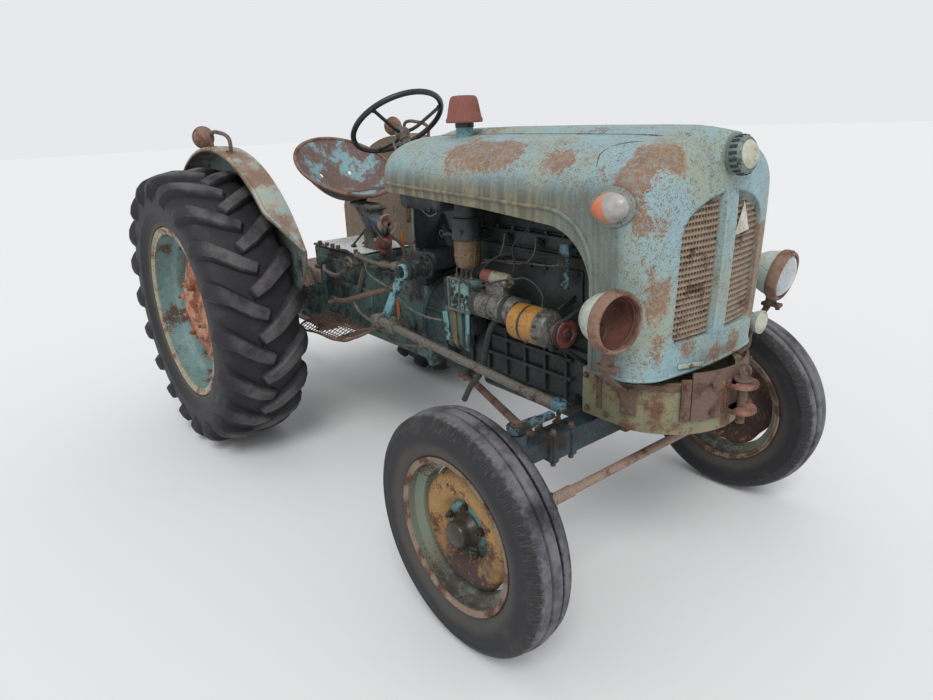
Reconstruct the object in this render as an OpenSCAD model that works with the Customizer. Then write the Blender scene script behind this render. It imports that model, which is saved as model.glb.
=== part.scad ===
// Small vintage farm tractor, as it stands parked. +X is forward, +Y is left, +Z is up.
// The origin is on the ground at the middle of the tractor's length and width.

/* [Chassis] */
// Distance between the front and rear axles
wheelbase = 2100; // [2000:5:2200]
// Height of the transmission's and engine's middle line over the ground
drive_z = 700; // [690:1:720]
// Half width of the gearbox casting
gearbox_w2 = 165; // [140:1:180]
// Half width of the cylinder block
block_w2 = 135; // [120:1:150]
// Length of the cylinder block
block_l = 780; // [740:5:800]

/* [Rear wheels] */
// Distance between the middles of the rear tyres
rear_track = 1440; // [1420:5:1500]
// Radius of a rear tyre over its lugs
rear_tyre_r = 700; // [690:1:710]
// Width of a rear tyre
rear_tyre_w = 400; // [380:5:400]
// Height of a tread lug
lug_h = 34; // [20:1:40]
// Tread lugs on each side of a rear tyre
lug_count = 20; // [16:1:22]
// Radius of a rear rim over its flanges
rear_rim_r = 431; // [420:1:440]
// Half width of a rear rim
rear_rim_w2 = 166; // [150:1:170]
// How far the hub's face lies inside the outer flange
rear_hub_inset = 74; // [50:1:90]

/* [Front wheels] */
// Distance between the middles of the front tyres
front_track = 1466; // [1450:2:1500]
// Radius of a front tyre
front_tyre_r = 394; // [385:1:400]
// Width of a front tyre
front_tyre_w = 160; // [140:1:165]
// Radius of a front rim over its flanges
front_rim_r = 254; // [245:1:260]
// Half width of a front rim
front_rim_w2 = 62; // [50:1:66]
// Half the distance between the kingpins
kingpin_y = 520; // [500:1:530]
// Radius of a kingpin
kingpin_r = 18; // [14:1:22]
// Length of a tie rod arm, forward of the kingpin
tie_arm_l = 150; // [120:1:160]

/* [Bonnet] */
// Half width of the bonnet
bonnet_w2 = 330; // [315:1:340]
// Height of the bonnet's top over the ground
bonnet_top_z = 1536; // [1520:1:1550]
// Height of the bonnet's lower edge beside the engine
bonnet_edge_z = 1318; // [1300:1:1330]
// Height of the nose's lower edge
nose_low_z = 838; // [830:1:850]
// Reach of the nose forward of the front axle
nose_reach = 364; // [350:1:370]
// Length of the bonnet
bonnet_l = 1570; // [1550:5:1600]
// Thickness of the bonnet's sheet with its folded edges
sheet_t = 4; // [3:0.5:6]
// Raise of the spine along the bonnet's top
spine_h = 12; // [6:1:16]
// Rows of louvre bars in each grille opening
louvre_count = 30; // [20:1:34]

/* [Seat and controls] */
// Half width of the seat pan
seat_w2 = 250; // [220:1:260]
// Radius of the steering wheel's ring to the middle of its tube
steering_r = 216; // [200:1:225]
// Radius of the steering wheel's tube
steering_tube_r = 13; // [10:1:15]
// Tilt of the steering column from the vertical
column_tilt = 36; // [30:1:40]

/* [Mudguards] */
// Radius of a mudguard's top over the rear axle
guard_r = 785; // [775:1:800]
// How far a mudguard's inner plate stands from the rear tyre's inner side
guard_gap = 20; // [15:1:30]
// Width of a mudguard's top
guard_w = 120; // [100:1:130]

/* [Hitches] */
// Radius of the front hitch pin
hitch_pin_r = 14; // [10:1:18]
// Radius of the hole in the drawbar
drawbar_hole_r = 16; // [12:1:18]
// Radius of the power take-off shaft
pto_r = 17.5; // [15:0.5:20]

/* [Hidden] */
$fn = 48;

// Seats and running gaps
seat_gap = 0.3;
pin_gap = 0.06;

// The tractor reaches from the rear tyres to the tip of the front hitch
hitch_reach = 500;
x_rear = rear_tyre_r - (rear_tyre_r + wheelbase + hitch_reach) / 2;
x_front = x_rear + wheelbase;

// Paints and metals
blue = [0.45, 0.66, 0.66];
rust = [0.48, 0.27, 0.18];
dark = [0.13, 0.13, 0.13];
black_rubber = [0.12, 0.12, 0.13];
steel = [0.55, 0.55, 0.53];

// Engine, along the middle line
engine_front_x = x_front + 30;
engine_rear_x = engine_front_x - block_l;
sump_z = drive_z - 190;
axle_bay_x = x_front - 80;
axle_bay_z = drive_z - 50;
block_low_z = drive_z - 90;
head_z = drive_z + 440;
cover_z = head_z + 85;
bell_l = 170;
bell_r = 225;
gearbox_top_z = drive_z + 210;
gearbox_front_x = engine_rear_x - bell_l;
gearbox_rear_x = x_rear + 190;
rear_top_z = drive_z + 125;
cover_top_z = gearbox_top_z + 50;

rod_seat_z = drive_z - 185;

// Axles
rear_z = rear_tyre_r;
front_z = front_tyre_r;
beam_z = 565;
beam_h = 100;
beam_d = 84;
boss_low_z = 505;
boss_r = 33;
arm_z = 668;
boss_high_z = arm_z - 15;
tie_z = 472;
hub_shaft_r = 24;
rear_shaft_r = 34;
trumpet_r = 90;
guard_t = 4;
guard_inner_y = rear_track / 2 - rear_tyre_w / 2 - guard_gap;
trumpet_end_y = guard_inner_y - guard_t;
pivot_r = 20;
bolster_low_z = 650;
bolster_high_z = 815;
bolster_y = 250;
bolster_wall = 28;
bolster_front_x = x_front + 155;
bolster_front_r = bolster_y + 12;

// Steering
steer_arm = [30, 160];
pitman_y = -kingpin_y + steer_arm[1] + 32;
pitman_top = [x_front - 895, 1000];
pitman_low = [x_front - 1060, 770];
pitman_t = 18;
drag_gap = 4;
ball_r = 14;
tie_pin_r = 9;
column_x = x_rear + 765;
ring_z = 1573;
column_r = 20;
wheel_dish = 62;

// Bonnet
nose_x = x_front + nose_reach;
bonnet_rear_x = nose_x - bonnet_l;
arch_x = x_front - 300;
arch_r = 335;
arch_z = bonnet_edge_z - arch_r;
grille_in_y = 40;
grille_out_y = 222;
grille_low_z = 945;
grille_high_z = 1368;
louvre_t = 5;

// Mudguards
guard_outer_y = guard_inner_y + guard_w;

module rod(a, b, r) {
    d = b - a;
    l = norm(d);
    translate(a) rotate([0, acos(d[2] / l), atan2(d[1], d[0])]) cylinder(r = r, h = l);
}

module block(low, high) {
    translate(low) cube(high - low);
}

// Cylinder across the tractor, from y0 to y1
module across(x, z, y0, y1, r) {
    translate([x, y0, z]) rotate([-90, 0, 0]) cylinder(r = r, h = y1 - y0);
}

// Cylinder along the tractor, from x0 to x1
module along(y, z, x0, x1, r) {
    translate([x0, y, z]) rotate([0, 90, 0]) cylinder(r = r, h = x1 - x0);
}

module both_sides() {
    children();
    mirror([0, 1, 0]) children();
}

// Turns a profile of [radius, distance out] round a wheel's axle; side is -1 on the right
module turned(x, z, y, side) {
    translate([x, y, z]) rotate([90, 0, 0]) mirror([0, 0, side > 0 ? 1 : 0])
        rotate_extrude($fn = 64) children();
}

// Engine

module engine_block() color(dark) {
    difference() {
        union() {
            block([engine_rear_x, -block_w2, block_low_z], [engine_front_x, block_w2, head_z]);
            block([engine_rear_x, -block_w2 - 25, block_low_z], [engine_front_x - 40, block_w2 + 25, drive_z + 120]);
        }
        block([axle_bay_x, -300, block_low_z - 1], [engine_front_x + 1, 300, axle_bay_z]);
    }
    block([engine_rear_x + 90, -110, sump_z], [axle_bay_x, 110, block_low_z]);
    for (i = [0 : 5])
        block([engine_rear_x + 100 + i * 105, -block_w2 - 37, block_low_z + 20],
              [engine_rear_x + 112 + i * 105, block_w2 + 37, drive_z + 100]);
}

module cylinder_head() color(dark) {
    block([engine_rear_x + 20, -120, head_z], [engine_front_x - 20, 120, head_z + 55]);
    translate([engine_rear_x + 50, 0, head_z + 55]) rotate([90, 0, 90])
        linear_extrude(block_l - 100) intersection() {
            scale(1) circle(r = 92);
            translate([-90, 0]) square([180, 80]);
        }
}

module bell_housing() color(blue) {
    along(0, drive_z + 50, gearbox_front_x, engine_rear_x, bell_r);
    block([gearbox_front_x + 20, -110, rod_seat_z], [engine_rear_x - 20, 110, drive_z - 100]);
}

module gearbox() color(blue) {
    block([gearbox_rear_x, -gearbox_w2, drive_z - 150], [gearbox_front_x, gearbox_w2, gearbox_top_z]);
    block([gearbox_rear_x - 100, -gearbox_w2 + 10, rear_top_z], [gearbox_rear_x + 385, gearbox_w2 - 10, cover_top_z]);
    for (x = [gearbox_rear_x, gearbox_front_x - 25])
        block([x, -gearbox_w2 - 20, drive_z - 165], [x + 25, gearbox_w2 + 20, gearbox_top_z]);
}

module axle_housing() color(blue) {
    block([x_rear - 190, -gearbox_w2 - 25, drive_z - 190], [gearbox_rear_x, gearbox_w2 + 25, rear_top_z]);
    both_sides() {
        across(x_rear, rear_z, gearbox_w2, trumpet_end_y - 10, trumpet_r);
        across(x_rear, rear_z, gearbox_w2 + 20, gearbox_w2 + 50, 150);
        across(x_rear, rear_z, trumpet_end_y - 30, trumpet_end_y, 110);
    }
}

module drawbar() color(rust) difference() {
    union() {
        block([x_rear - 640, -40, 385], [x_rear - 100, 40, 410]);
        block([x_rear - 190, -60, 410], [x_rear - 120, 60, drive_z - 190]);
        translate([x_rear - 640, 0, 385]) cylinder(r = 40, h = 25);
    }
    translate([x_rear - 640, 0, 380]) cylinder(r = drawbar_hole_r, h = 40);
}

module pto_shaft() color(steel) {
    along(0, drive_z - 40, x_rear - 280, x_rear - 190 - seat_gap, pto_r);
}

// Front frame and axle

module bolster_outline(inset) {
    translate([engine_front_x + inset, -bolster_y + inset])
        square([bolster_front_x - engine_front_x - inset, 2 * (bolster_y - inset)]);
    intersection() {
        translate([bolster_front_x, 0]) circle(r = bolster_front_r - inset, $fn = 96);
        translate([bolster_front_x, -bolster_y + inset]) square([300, 2 * (bolster_y - inset)]);
    }
}

module front_bolster() color(rust) {
    difference() {
        translate([0, 0, bolster_low_z]) linear_extrude(bolster_high_z - bolster_low_z) bolster_outline(0);
        translate([0, 0, bolster_low_z + 20]) linear_extrude(300) bolster_outline(bolster_wall);
        translate([0, 0, bolster_low_z - 1]) linear_extrude(300) bolster_outline(80);
        block([engine_front_x - 1, -85, bolster_low_z - 1],
              [engine_front_x + bolster_wall + 1, 85, bolster_high_z + 1]);
        block([engine_front_x + 10, -85, bolster_low_z - 1], [engine_front_x + 81, 85, bolster_low_z + 21]);
    }
    block([x_front + beam_d / 2 + 2, -115, beam_z - 45], [x_front + beam_d / 2 + 36, 115, bolster_low_z + 5]);
    along(0, beam_z, x_front - beam_d / 2 - 36, x_front + beam_d / 2 + 10, pivot_r);
    block([x_front - beam_d / 2 - 36, -70, beam_z - 45], [x_front - beam_d / 2 - 2, 70, axle_bay_z]);
}

module front_hitch() color(rust) difference() {
    union() {
        for (z = [712, 795]) {
            block([x_front + 390, -70, z], [x_front + 460, 70, z + 18]);
            translate([x_front + 452, 0, z]) cylinder(r = 48, h = 18);
        }
        block([x_front + 390, -60, 712], [x_front + 425, 60, 813]);
        translate([x_front + 455, 0, 670]) cylinder(r = hitch_pin_r, h = 170);
        translate([x_front + 455, 0, 832]) cylinder(r = 30, h = 8);
    }
    translate([bolster_front_x, 0, 600]) cylinder(r = bolster_front_r + seat_gap, h = 300, $fn = 96);
}

module axle_beam() color(dark) difference() {
    union() {
        block([x_front - beam_d / 2, -410, beam_z - beam_h / 2], [x_front + beam_d / 2, 410, beam_z + beam_h / 2 - 5]);
        both_sides() {
            block([x_front - 30, 400, beam_z - 34], [x_front + 30, kingpin_y, beam_z + 34]);
            translate([x_front, kingpin_y, boss_low_z]) cylinder(r = boss_r, h = boss_high_z - boss_low_z);
        }
    }
    both_sides() translate([x_front, kingpin_y, boss_low_z - 1])
        cylinder(r = kingpin_r + pin_gap, h = boss_high_z - boss_low_z + 2);
    along(0, beam_z, x_front - beam_d, x_front + beam_d, pivot_r + pin_gap);
}

module radius_rods() color(dark) {
    both_sides() {
        block([x_front - beam_d / 2 - 34, 370, beam_z - 20], [x_front - beam_d / 2, 405, beam_z + 20]);
        rod([x_front - beam_d / 2 - 20, 388, beam_z], [gearbox_front_x + 85, 60, rod_seat_z - 24], 16);
    }
    block([gearbox_front_x + 60, -90, rod_seat_z - 38], [gearbox_front_x + 110, 90, rod_seat_z]);
}

// Bonnet

// Half width and height over the lower edge, by the share of the rear dome's length from its tip
function dome(u) = sqrt(1 - (1 - u) * (1 - u));

module bonnet_slice(x, w2, low_z, high_z) {
    r = min(w2 - 1, (high_z - bonnet_edge_z) * 0.95);
    steps = 10;
    translate([x, 0, 0]) rotate([90, 0, 90]) linear_extrude(1)
        polygon(concat([[w2, low_z]],
            [for (i = [0 : 2 * steps])
                let (a = i * 90 / steps, c = cos(a), s = sin(a))
                [w2 * sign(c) * pow(abs(c), 0.66), bonnet_edge_z + 30 + (high_z - bonnet_edge_z - 30) * pow(s, 0.8)]],
            [[-w2, low_z]]));
}

module bonnet_plan(z, front_x, w2, r) {
    translate([0, 0, z]) linear_extrude(1) hull() {
        for (s = [-1, 1])
            translate([front_x - 18 - r, s * (w2 - r)]) circle(r = r, $fn = 32);
        translate([front_x - 60, 0]) circle(r = 60, $fn = 32);
    }
}

module bonnet_form(t) {
    dome_l = 330;
    hull() {
        for (u = [0.02, 0.12, 0.3, 0.55, 1])
            bonnet_slice(bonnet_rear_x + t + (dome_l - t) * u, (bonnet_w2 - t) * dome(u) * (0.965 + 0.035 * u),
                         nose_low_z, bonnet_edge_z + 30 + (bonnet_top_z - t - bonnet_edge_z - 38) * dome(u));
        bonnet_slice(x_front - 200, bonnet_w2 - t, nose_low_z, bonnet_top_z - t);
        bonnet_slice(x_front + 170, bonnet_w2 - t, nose_low_z, bonnet_top_z - 6 - t);
        bonnet_plan(nose_low_z, nose_x - 22 - t, bonnet_w2 - 8 - t, 130);
        bonnet_plan(1200, nose_x - 4 - t, bonnet_w2 - t, 120);
        bonnet_plan(1400, nose_x - t, bonnet_w2 - 6 - t, 120);
        bonnet_plan(1460, nose_x - 14 - t, bonnet_w2 - 40 - t, 120);
        bonnet_plan(1500, nose_x - 50 - t, bonnet_w2 - 130 - t, 90);
    }
}

module bonnet_side_cut() {
    translate([0, 500, 0]) rotate([90, 0, 0]) linear_extrude(1000) difference() {
        translate([bonnet_rear_x - 100, nose_low_z - 50])
            square([arch_x + arch_r - bonnet_rear_x + 100, bonnet_edge_z - nose_low_z + 50]);
        difference() {
            translate([arch_x, arch_z]) square([arch_r + 1, arch_r + 1]);
            translate([arch_x, arch_z]) circle(r = arch_r, $fn = 96);
        }
    }
}

module grille_hole() {
    r = 34;
    hull() for (y = [grille_in_y + 8, grille_out_y - r], z = [grille_low_z + r, grille_high_z - r])
        translate([x_front + 150, y, z]) rotate([0, 90, 0])
            cylinder(r = y < grille_in_y + 10 ? 8 : r, h = 300, $fn = 24);
}

module bonnet_spine() hull() {
    translate([bonnet_rear_x + 260, 0, bonnet_top_z - 12]) sphere(r = 12, $fn = 16);
    for (x = [x_front - 100, nose_x - 95], s = [-1, 1])
        translate([x, s * 52, bonnet_top_z + spine_h - 16]) sphere(r = 12, $fn = 16);
}

module bonnet() color(blue) {
    difference() {
        union() {
            bonnet_form(0);
            bonnet_spine();
        }
        bonnet_form(sheet_t);
        translate([0, 0, nose_low_z - 20]) block([bonnet_rear_x, -400, 0], [nose_x, 400, 24]);
        bonnet_side_cut();
        both_sides() grille_hole();
        column_rod(column_r + 9);
    }
}

module grille() color(rust) {
    pitch = (grille_high_z - grille_low_z - 20) / louvre_count;
    back_x = nose_x - 58;
    intersection() {
        bonnet_form(sheet_t + seat_gap);
        both_sides() {
            for (i = [0 : louvre_count])
                block([back_x, 24, grille_low_z + 8 + i * pitch],
                      [back_x + 8, grille_out_y + 14, grille_low_z + 8 + i * pitch + louvre_t]);
            for (y = [20, grille_out_y + 12])
                block([back_x - 2, y, grille_low_z - 5], [nose_x, y + 10, grille_high_z + 5]);
            block([back_x - 5, 128, grille_low_z - 5], [back_x, 134, grille_high_z + 5]);
        }
    }
}

// A post that stands on low and is cut 0.3 mm under the bonnet's sheet
module bonnet_post(low, high) {
    intersection() {
        bonnet_form(sheet_t + seat_gap);
        block(low, high);
    }
}

module radiator() color(dark) {
    block([x_front + 190, -235, bolster_high_z], [x_front + 260, 235, 1400]);
    bonnet_post([x_front + 200, -40, 1390], [x_front + 250, 40, bonnet_top_z + 50]);
}

module fuel_tank() color(dark) {
    block([x_rear + 1060, -230, 1235], [engine_rear_x, 230, 1400]);
    difference() {
        block([x_rear + 1060, -160, gearbox_top_z], [x_rear + 1072, 160, 1236]);
        column_rod(column_r + 12);
    }
    bonnet_post([x_rear + 1150, -40, 1390], [x_rear + 1200, 40, bonnet_top_z + 50]);
}

// Lamps

module lamp_bowl(side) {
    translate([x_front + 300, side * 440, 1035]) rotate([0, 90, side * 6]) rotate_extrude($fn = 48)
        polygon([[0, -75], [35, -68], [62, -48], [80, -15], [88, 20], [94, 30], [94, 58], [84, 62],
                 [84, 50], [80, 20], [72, -12], [56, -42], [32, -60], [0, -67]]);
}

module lamp_bracket(side) {
    foot = [x_front + 212, bolster_y + 6, 760];
    elbow = [x_front + 270, 430, 905];
    mirror([0, side > 0 ? 0 : 1, 0]) {
        block(foot - [17, 6, 58], foot + [17, 6, 52]);
        rod(foot + [0, 2, 10], elbow, 9);
        translate(elbow) sphere(r = 13);
        rod(elbow, [x_front + 290, 440, 962], 12);
    }
}

module headlamp_right() color(rust) {
    lamp_bowl(-1);
    lamp_bracket(-1);
}

module headlamp_left() color(blue) {
    lamp_bowl(1);
    translate([x_front + 300, 440, 1035]) rotate([0, 90, 6]) translate([0, 0, 40]) cylinder(r = 88, h = 12);
    lamp_bracket(1);
}

module side_lamp() color(steel) {
    along(360, 885, x_front + 270, x_front + 308, 38);
    rod([x_front + 276, 360, 875], [x_front + 262, 352, 780], 8);
    rod([x_front + 262, 352, 780], [x_front + 160, bolster_y + 10, 755], 8);
    block([x_front + 142, bolster_y, 730], [x_front + 178, bolster_y + 14, 780]);
    translate([x_front + 262, 352, 780]) sphere(r = 9);
}

module indicators() color([0.85, 0.5, 0.3]) both_sides() {
    translate([x_front + 205, bonnet_w2 + 0.5, 1352]) rotate([-90, 0, 0]) cylinder(r1 = 42, r2 = 26, h = 34);
}

module nose_lamp() color([0.8, 0.78, 0.68]) difference() {
    translate([nose_x - 50, 0, 1464]) rotate([0, 82, 0]) cylinder(r = 44, h = 84);
    bonnet_form(-seat_gap);
}

module grab_handles() color(rust) both_sides() {
    top_r = guard_r + 85;
    translate([x_rear, guard_outer_y - 40, rear_z]) {
        for (a = [76, 91]) rotate([0, -a, 0]) {
            translate([guard_r + 4.5, 0, 0]) rotate([0, 90, 0]) cylinder(r = 11, h = 80.5);
            translate([top_r, 0, 0]) sphere(r = 12);
        }
        rod([top_r * cos(76), 0, top_r * sin(76)], [top_r * cos(91), 0, top_r * sin(91)], 11);
    }
}

module air_intake() color(rust) difference() {
    translate([x_rear + 1410, -126, bonnet_top_z - 60]) {
        cylinder(r = 33, h = 112);
        translate([0, 0, 108]) cylinder(r1 = 69, r2 = 46, h = 86);
        translate([0, 0, 98]) cylinder(r = 69, h = 12);
    }
    bonnet_form(-seat_gap);
}

// What the open engine bay shows on the right

module oil_filter() color(dark) {
    translate([x_front - 590, -215, 1040]) {
        cylinder(r = 50, h = 70);
        translate([0, 0, 72]) cylinder(r = 56, h = 130);
        translate([0, 0, 70]) cylinder(r = 60, h = 10);
    }
    block([x_front - 615, -215, head_z + 8], [x_front - 565, -120, head_z + 48]);
}

module injection_pump() color(blue) {
    block([engine_rear_x + 4, -250, 700], [engine_rear_x + 160, -block_w2 - 37, 1000]);
}

module starter_motor() color(steel) {
    along(-235, 925, x_front - 520, x_front - 290, 54);
    block([x_front - 500, -235, 900], [x_front - 330, -block_w2, 940]);
}

module dynamo() color([0.75, 0.5, 0.2]) {
    along(-245, 905, x_front - 285, x_front - 70, 66);
    block([x_front - 250, -245, 860], [x_front - 100, -block_w2, 900]);
}

module fan_pulleys() color(dark) {
    along(-245, 905, x_front - 70, x_front - 60, 15);
    along(-245, 905, x_front - 68, x_front - 44, 52);
    along(0, 1050, engine_front_x, engine_front_x + 50, 60);
    along(0, 730, engine_front_x, engine_front_x + 50, 70);
    along(0, 1050, engine_front_x + 50, engine_front_x + 68, 170);
}

module exhaust_pipe() color(dark) {
    across(x_front - 420, 845, -230, -block_w2, 13);
    translate([x_front - 420, -230, 845]) sphere(r = 14);
    rod([x_front - 420, -230, 845], [x_front - 650, -215, 470], 13);
}

module step_plates() color(rust) both_sides() {
    block([x_rear + 430, 200, 640], [x_rear + 900, 380, 646]);
    block([x_rear + 600, gearbox_w2, 610], [x_rear + 640, 380, 640]);
}

module levers() color(rust) {
    for (l = [[-250, 60, -330, 90, 260], [-350, -60, -400, -120, 180]]) {
        foot = [gearbox_front_x + l[0], l[1], gearbox_top_z];
        translate(foot) cylinder(r = 24, h = 26);
        translate(foot + [0, 0, 30]) sphere(r = 18);
        rod(foot + [0, 0, 30], [gearbox_front_x + l[2], l[3], gearbox_top_z + l[4]], 9);
    }
}

// Driver's place

seat_x = x_rear + 250;
seat_low_z = 1190;
seat_spring_z = 1115;

module seat_hollow(t) {
    hull() {
        translate([seat_x, 0, 1358 + t]) rotate([0, 30, 0]) cylinder(r = seat_w2 + 24 - t, h = 2, $fn = 48);
        translate([seat_x + 110, 0, seat_low_z + t]) cylinder(r = 120 - t, h = 2, $fn = 48);
    }
}

module seat_pan() color(blue) difference() {
    seat_hollow(0);
    seat_hollow(3);
}

module seat_bracket() color(steel) {
    block([x_rear + 420, -50, cover_top_z], [x_rear + 560, 50, cover_top_z + 24]);
    block([x_rear + 440, -12, cover_top_z], [x_rear + 520, 12, seat_spring_z]);
    rod([x_rear + 490, 0, seat_spring_z - 30], [seat_x + 130, 0, seat_low_z - 15], 16);
    translate([seat_x + 130, 0, seat_low_z - 17]) cylinder(r = 45, h = 17);
    along(0, seat_spring_z, x_rear + 520, x_rear + 665, 45);
    along(0, seat_spring_z, x_rear + 660, x_rear + 700, 49);
    translate([x_rear + 490, 0, seat_spring_z - 30]) sphere(r = 20);
    along(0, seat_spring_z, x_rear + 470, x_rear + 530, 22);
}

module tool_box() color([0.5, 0.36, 0.26]) {
    block([x_rear + 640, 90, 1090], [x_rear + 770, 210, 1240]);
    block([x_rear + 690, 105, gearbox_top_z], [x_rear + 720, 145, 1090]);
}

module mudguard(side) {
    band = [[guard_r - guard_t, guard_inner_y - guard_t], [guard_r, guard_inner_y - guard_t],
            [guard_r + 5, guard_outer_y - 10], [guard_r - 6, guard_outer_y], [guard_r - 10, guard_outer_y],
            [guard_r, guard_outer_y - 12]];
    // Corners of the inner plate and of the front taper's cut, in shares of the mudguard's radius
    plate = [[-0.917, 0.05], [0.688, 0.05], [0.752, 0.173], [0.857, 0.312], [0.9, 0.438], [0.9, 1.15], [-0.917, 1.15]];
    taper_in = 0.9 * guard_r;
    taper_out = 0.743 * guard_r;
    translate([x_rear, 0, rear_z]) mirror([0, side > 0 ? 0 : 1, 0]) {
        difference() {
            rotate([90, 0, 0]) mirror([0, 0, 1]) rotate([0, 0, 26]) rotate_extrude(angle = 130, $fn = 96) polygon(band);
            linear_extrude(guard_r + 100)
                polygon([[taper_out, guard_outer_y + 1], [taper_in, guard_inner_y], [guard_r - 25, guard_inner_y],
                         [guard_r - 25, guard_outer_y + 80], [taper_out, guard_outer_y + 80]]);
        }
        translate([0, guard_inner_y, 0]) rotate([90, 0, 0]) linear_extrude(guard_t) intersection() {
            circle(r = guard_r - 1, $fn = 96);
            polygon([for (p = plate) p * guard_r]);
        }
    }
}

module mudguard_right() color(blue) mudguard(-1);

module mudguard_left() color(blue) mudguard(1);

module tail_lamps() color(rust) both_sides() {
    translate([x_rear, guard_inner_y + 70, rear_z]) rotate([0, -98, 0]) {
        translate([guard_r + 4, 0, 0]) rotate([0, 90, 0]) cylinder(r = 9, h = 30);
        translate([guard_r + 62, 0, 0]) sphere(r = 48);
    }
}

// Steering

column_axis = [sin(column_tilt), 0, -cos(column_tilt)];
column_hub = [column_x, 0, ring_z] + wheel_dish * column_axis;

module column_rod(r) rod(column_hub + (30 + seat_gap) * column_axis, column_hub + 590 * column_axis, r);

module steering_box() color(blue) {
    column_rod(column_r);
    block([x_rear + 1095, pitman_y + 130, gearbox_top_z], [gearbox_front_x - 2, 60, pitman_top[1] + 60]);
    block([gearbox_front_x - 3, pitman_y + 130, pitman_top[1] - 18], [pitman_top[0] + 45, 60, pitman_top[1] + 60]);
    across(pitman_top[0], pitman_top[1], pitman_y + pitman_t + 0.5, pitman_y + 140, 38);
}

module steering_wheel() color(dark) {
    translate([column_x, 0, ring_z]) rotate([0, -column_tilt, 0]) {
        rotate_extrude($fn = 96) translate([steering_r, 0]) circle(r = steering_tube_r, $fn = 24);
        translate([0, 0, -wheel_dish - 30]) cylinder(r = 28, h = 40);
        for (a = [60, 180, 300]) rotate([0, 0, a])
            rod([20, 0, -wheel_dish], [steering_r - 6, 0, -2], 8);
    }
}

module pitman_arm() color(blue) {
    across(pitman_top[0], pitman_top[1], pitman_y, pitman_y + pitman_t, 32);
    across(pitman_low[0], pitman_low[1], pitman_y, pitman_y + pitman_t, 24);
    hull() {
        across(pitman_top[0], pitman_top[1], pitman_y + 2, pitman_y + pitman_t - 2, 20);
        across(pitman_low[0], pitman_low[1], pitman_y + 2, pitman_y + pitman_t - 2, 16);
    }
}

drag_front = [x_front + steer_arm[0], -kingpin_y + steer_arm[1], arm_z + 34];
drag_rear = [pitman_low[0], drag_front[1], pitman_low[1]];

module drag_link() color(steel) difference() {
    union() {
        rod(drag_front, drag_rear, 17);
        translate(drag_front - [0, 0, 20]) cylinder(r = 24, h = 42);
        across(drag_rear[0], drag_rear[2], drag_rear[1] - 22, pitman_y - drag_gap, 22);
    }
    translate(drag_front) sphere(r = ball_r + seat_gap);
    translate(drag_front - [0, 0, 24]) cylinder(r = ball_r - 3, h = 24);
}

module tie_rod() color(rust) difference() {
    union() {
        rod([x_front + tie_arm_l, -kingpin_y, tie_z], [x_front + tie_arm_l, kingpin_y, tie_z], 16);
        both_sides() translate([x_front + tie_arm_l, kingpin_y, tie_z - 22 + seat_gap]) cylinder(r = 22, h = 44);
    }
    both_sides() translate([x_front + tie_arm_l, kingpin_y, tie_z - 24]) cylinder(r = tie_pin_r + pin_gap, h = 35);
}

module knuckle(side) {
    translate([x_front, side * kingpin_y, 0]) {
        translate([0, 0, 340]) cylinder(r = kingpin_r, h = arm_z + 14 - 340);
        translate([0, 0, 345]) cylinder(r = 34, h = boss_low_z - 1 - 345);
        across(0, front_z, side > 0 ? 0 : -front_track / 2 + kingpin_y - 20,
               side > 0 ? front_track / 2 - kingpin_y + 20 : 0, hub_shaft_r);
        block([0, -14, tie_z - 40], [tie_arm_l, 14, tie_z - 22]);
        translate([tie_arm_l, 0, tie_z - 40]) cylinder(r = 24, h = 18);
        translate([tie_arm_l, 0, tie_z - 30]) cylinder(r = tie_pin_r, h = 38);
    }
}

module knuckle_right() color(blue) {
    knuckle(-1);
    translate([x_front, -kingpin_y, arm_z - 14]) {
        cylinder(r = 32, h = 28);
        rod([0, 0, 14], [steer_arm[0], steer_arm[1], 14], 12);
        translate([steer_arm[0], steer_arm[1], 2]) cylinder(r = 22, h = 20);
        translate([steer_arm[0], steer_arm[1], 10]) cylinder(r = ball_r - 6, h = 38);
        translate([steer_arm[0], steer_arm[1], 48]) sphere(r = ball_r);
    }
}

module knuckle_left() color(blue) {
    knuckle(1);
    translate([x_front, kingpin_y, arm_z - 14]) cylinder(r = 32, h = 28);
}

// Wheels

module front_wheel(side) {
    turned(x_front, front_z, side * front_track / 2, side) polygon([
        [hub_shaft_r + pin_gap, -70], [55, -70], [55, -20], [90, 0], [150, 22], [205, -10],
        [236, -10], [236, -front_rim_w2], [front_rim_r, -front_rim_w2], [front_rim_r, -front_rim_w2 + 5],
        [241, -front_rim_w2 + 5], [241, front_rim_w2 - 5], [front_rim_r, front_rim_w2 - 5],
        [front_rim_r, front_rim_w2], [236, front_rim_w2], [236, -4], [205, -4], [150, 28],
        [88, 8], [55, 26], [48, 58], [hub_shaft_r + pin_gap, 58]]);
    turned(x_front, front_z, side * front_track / 2, side)
        polygon([[0, 58], [42, 58], [38, 72], [0, 80]]);
}

// Ring with flat sides about the tractor's cross axis, from a profile of radius and distance across.
// One of its corners is at the bottom.
module ring(profile, sides) {
    m = len(profile);
    polyhedron([for (i = [0 : sides - 1], p = profile)
                    [p[0] * cos(i * 360 / sides), p[1], p[0] * sin(i * 360 / sides)]],
               [for (i = [0 : sides - 1], j = [0 : m - 1]) let (n = (i + 1) % sides, k = (j + 1) % m)
                    [i * m + j, n * m + j, n * m + k, i * m + k]], convexity = 4);
}

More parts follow.
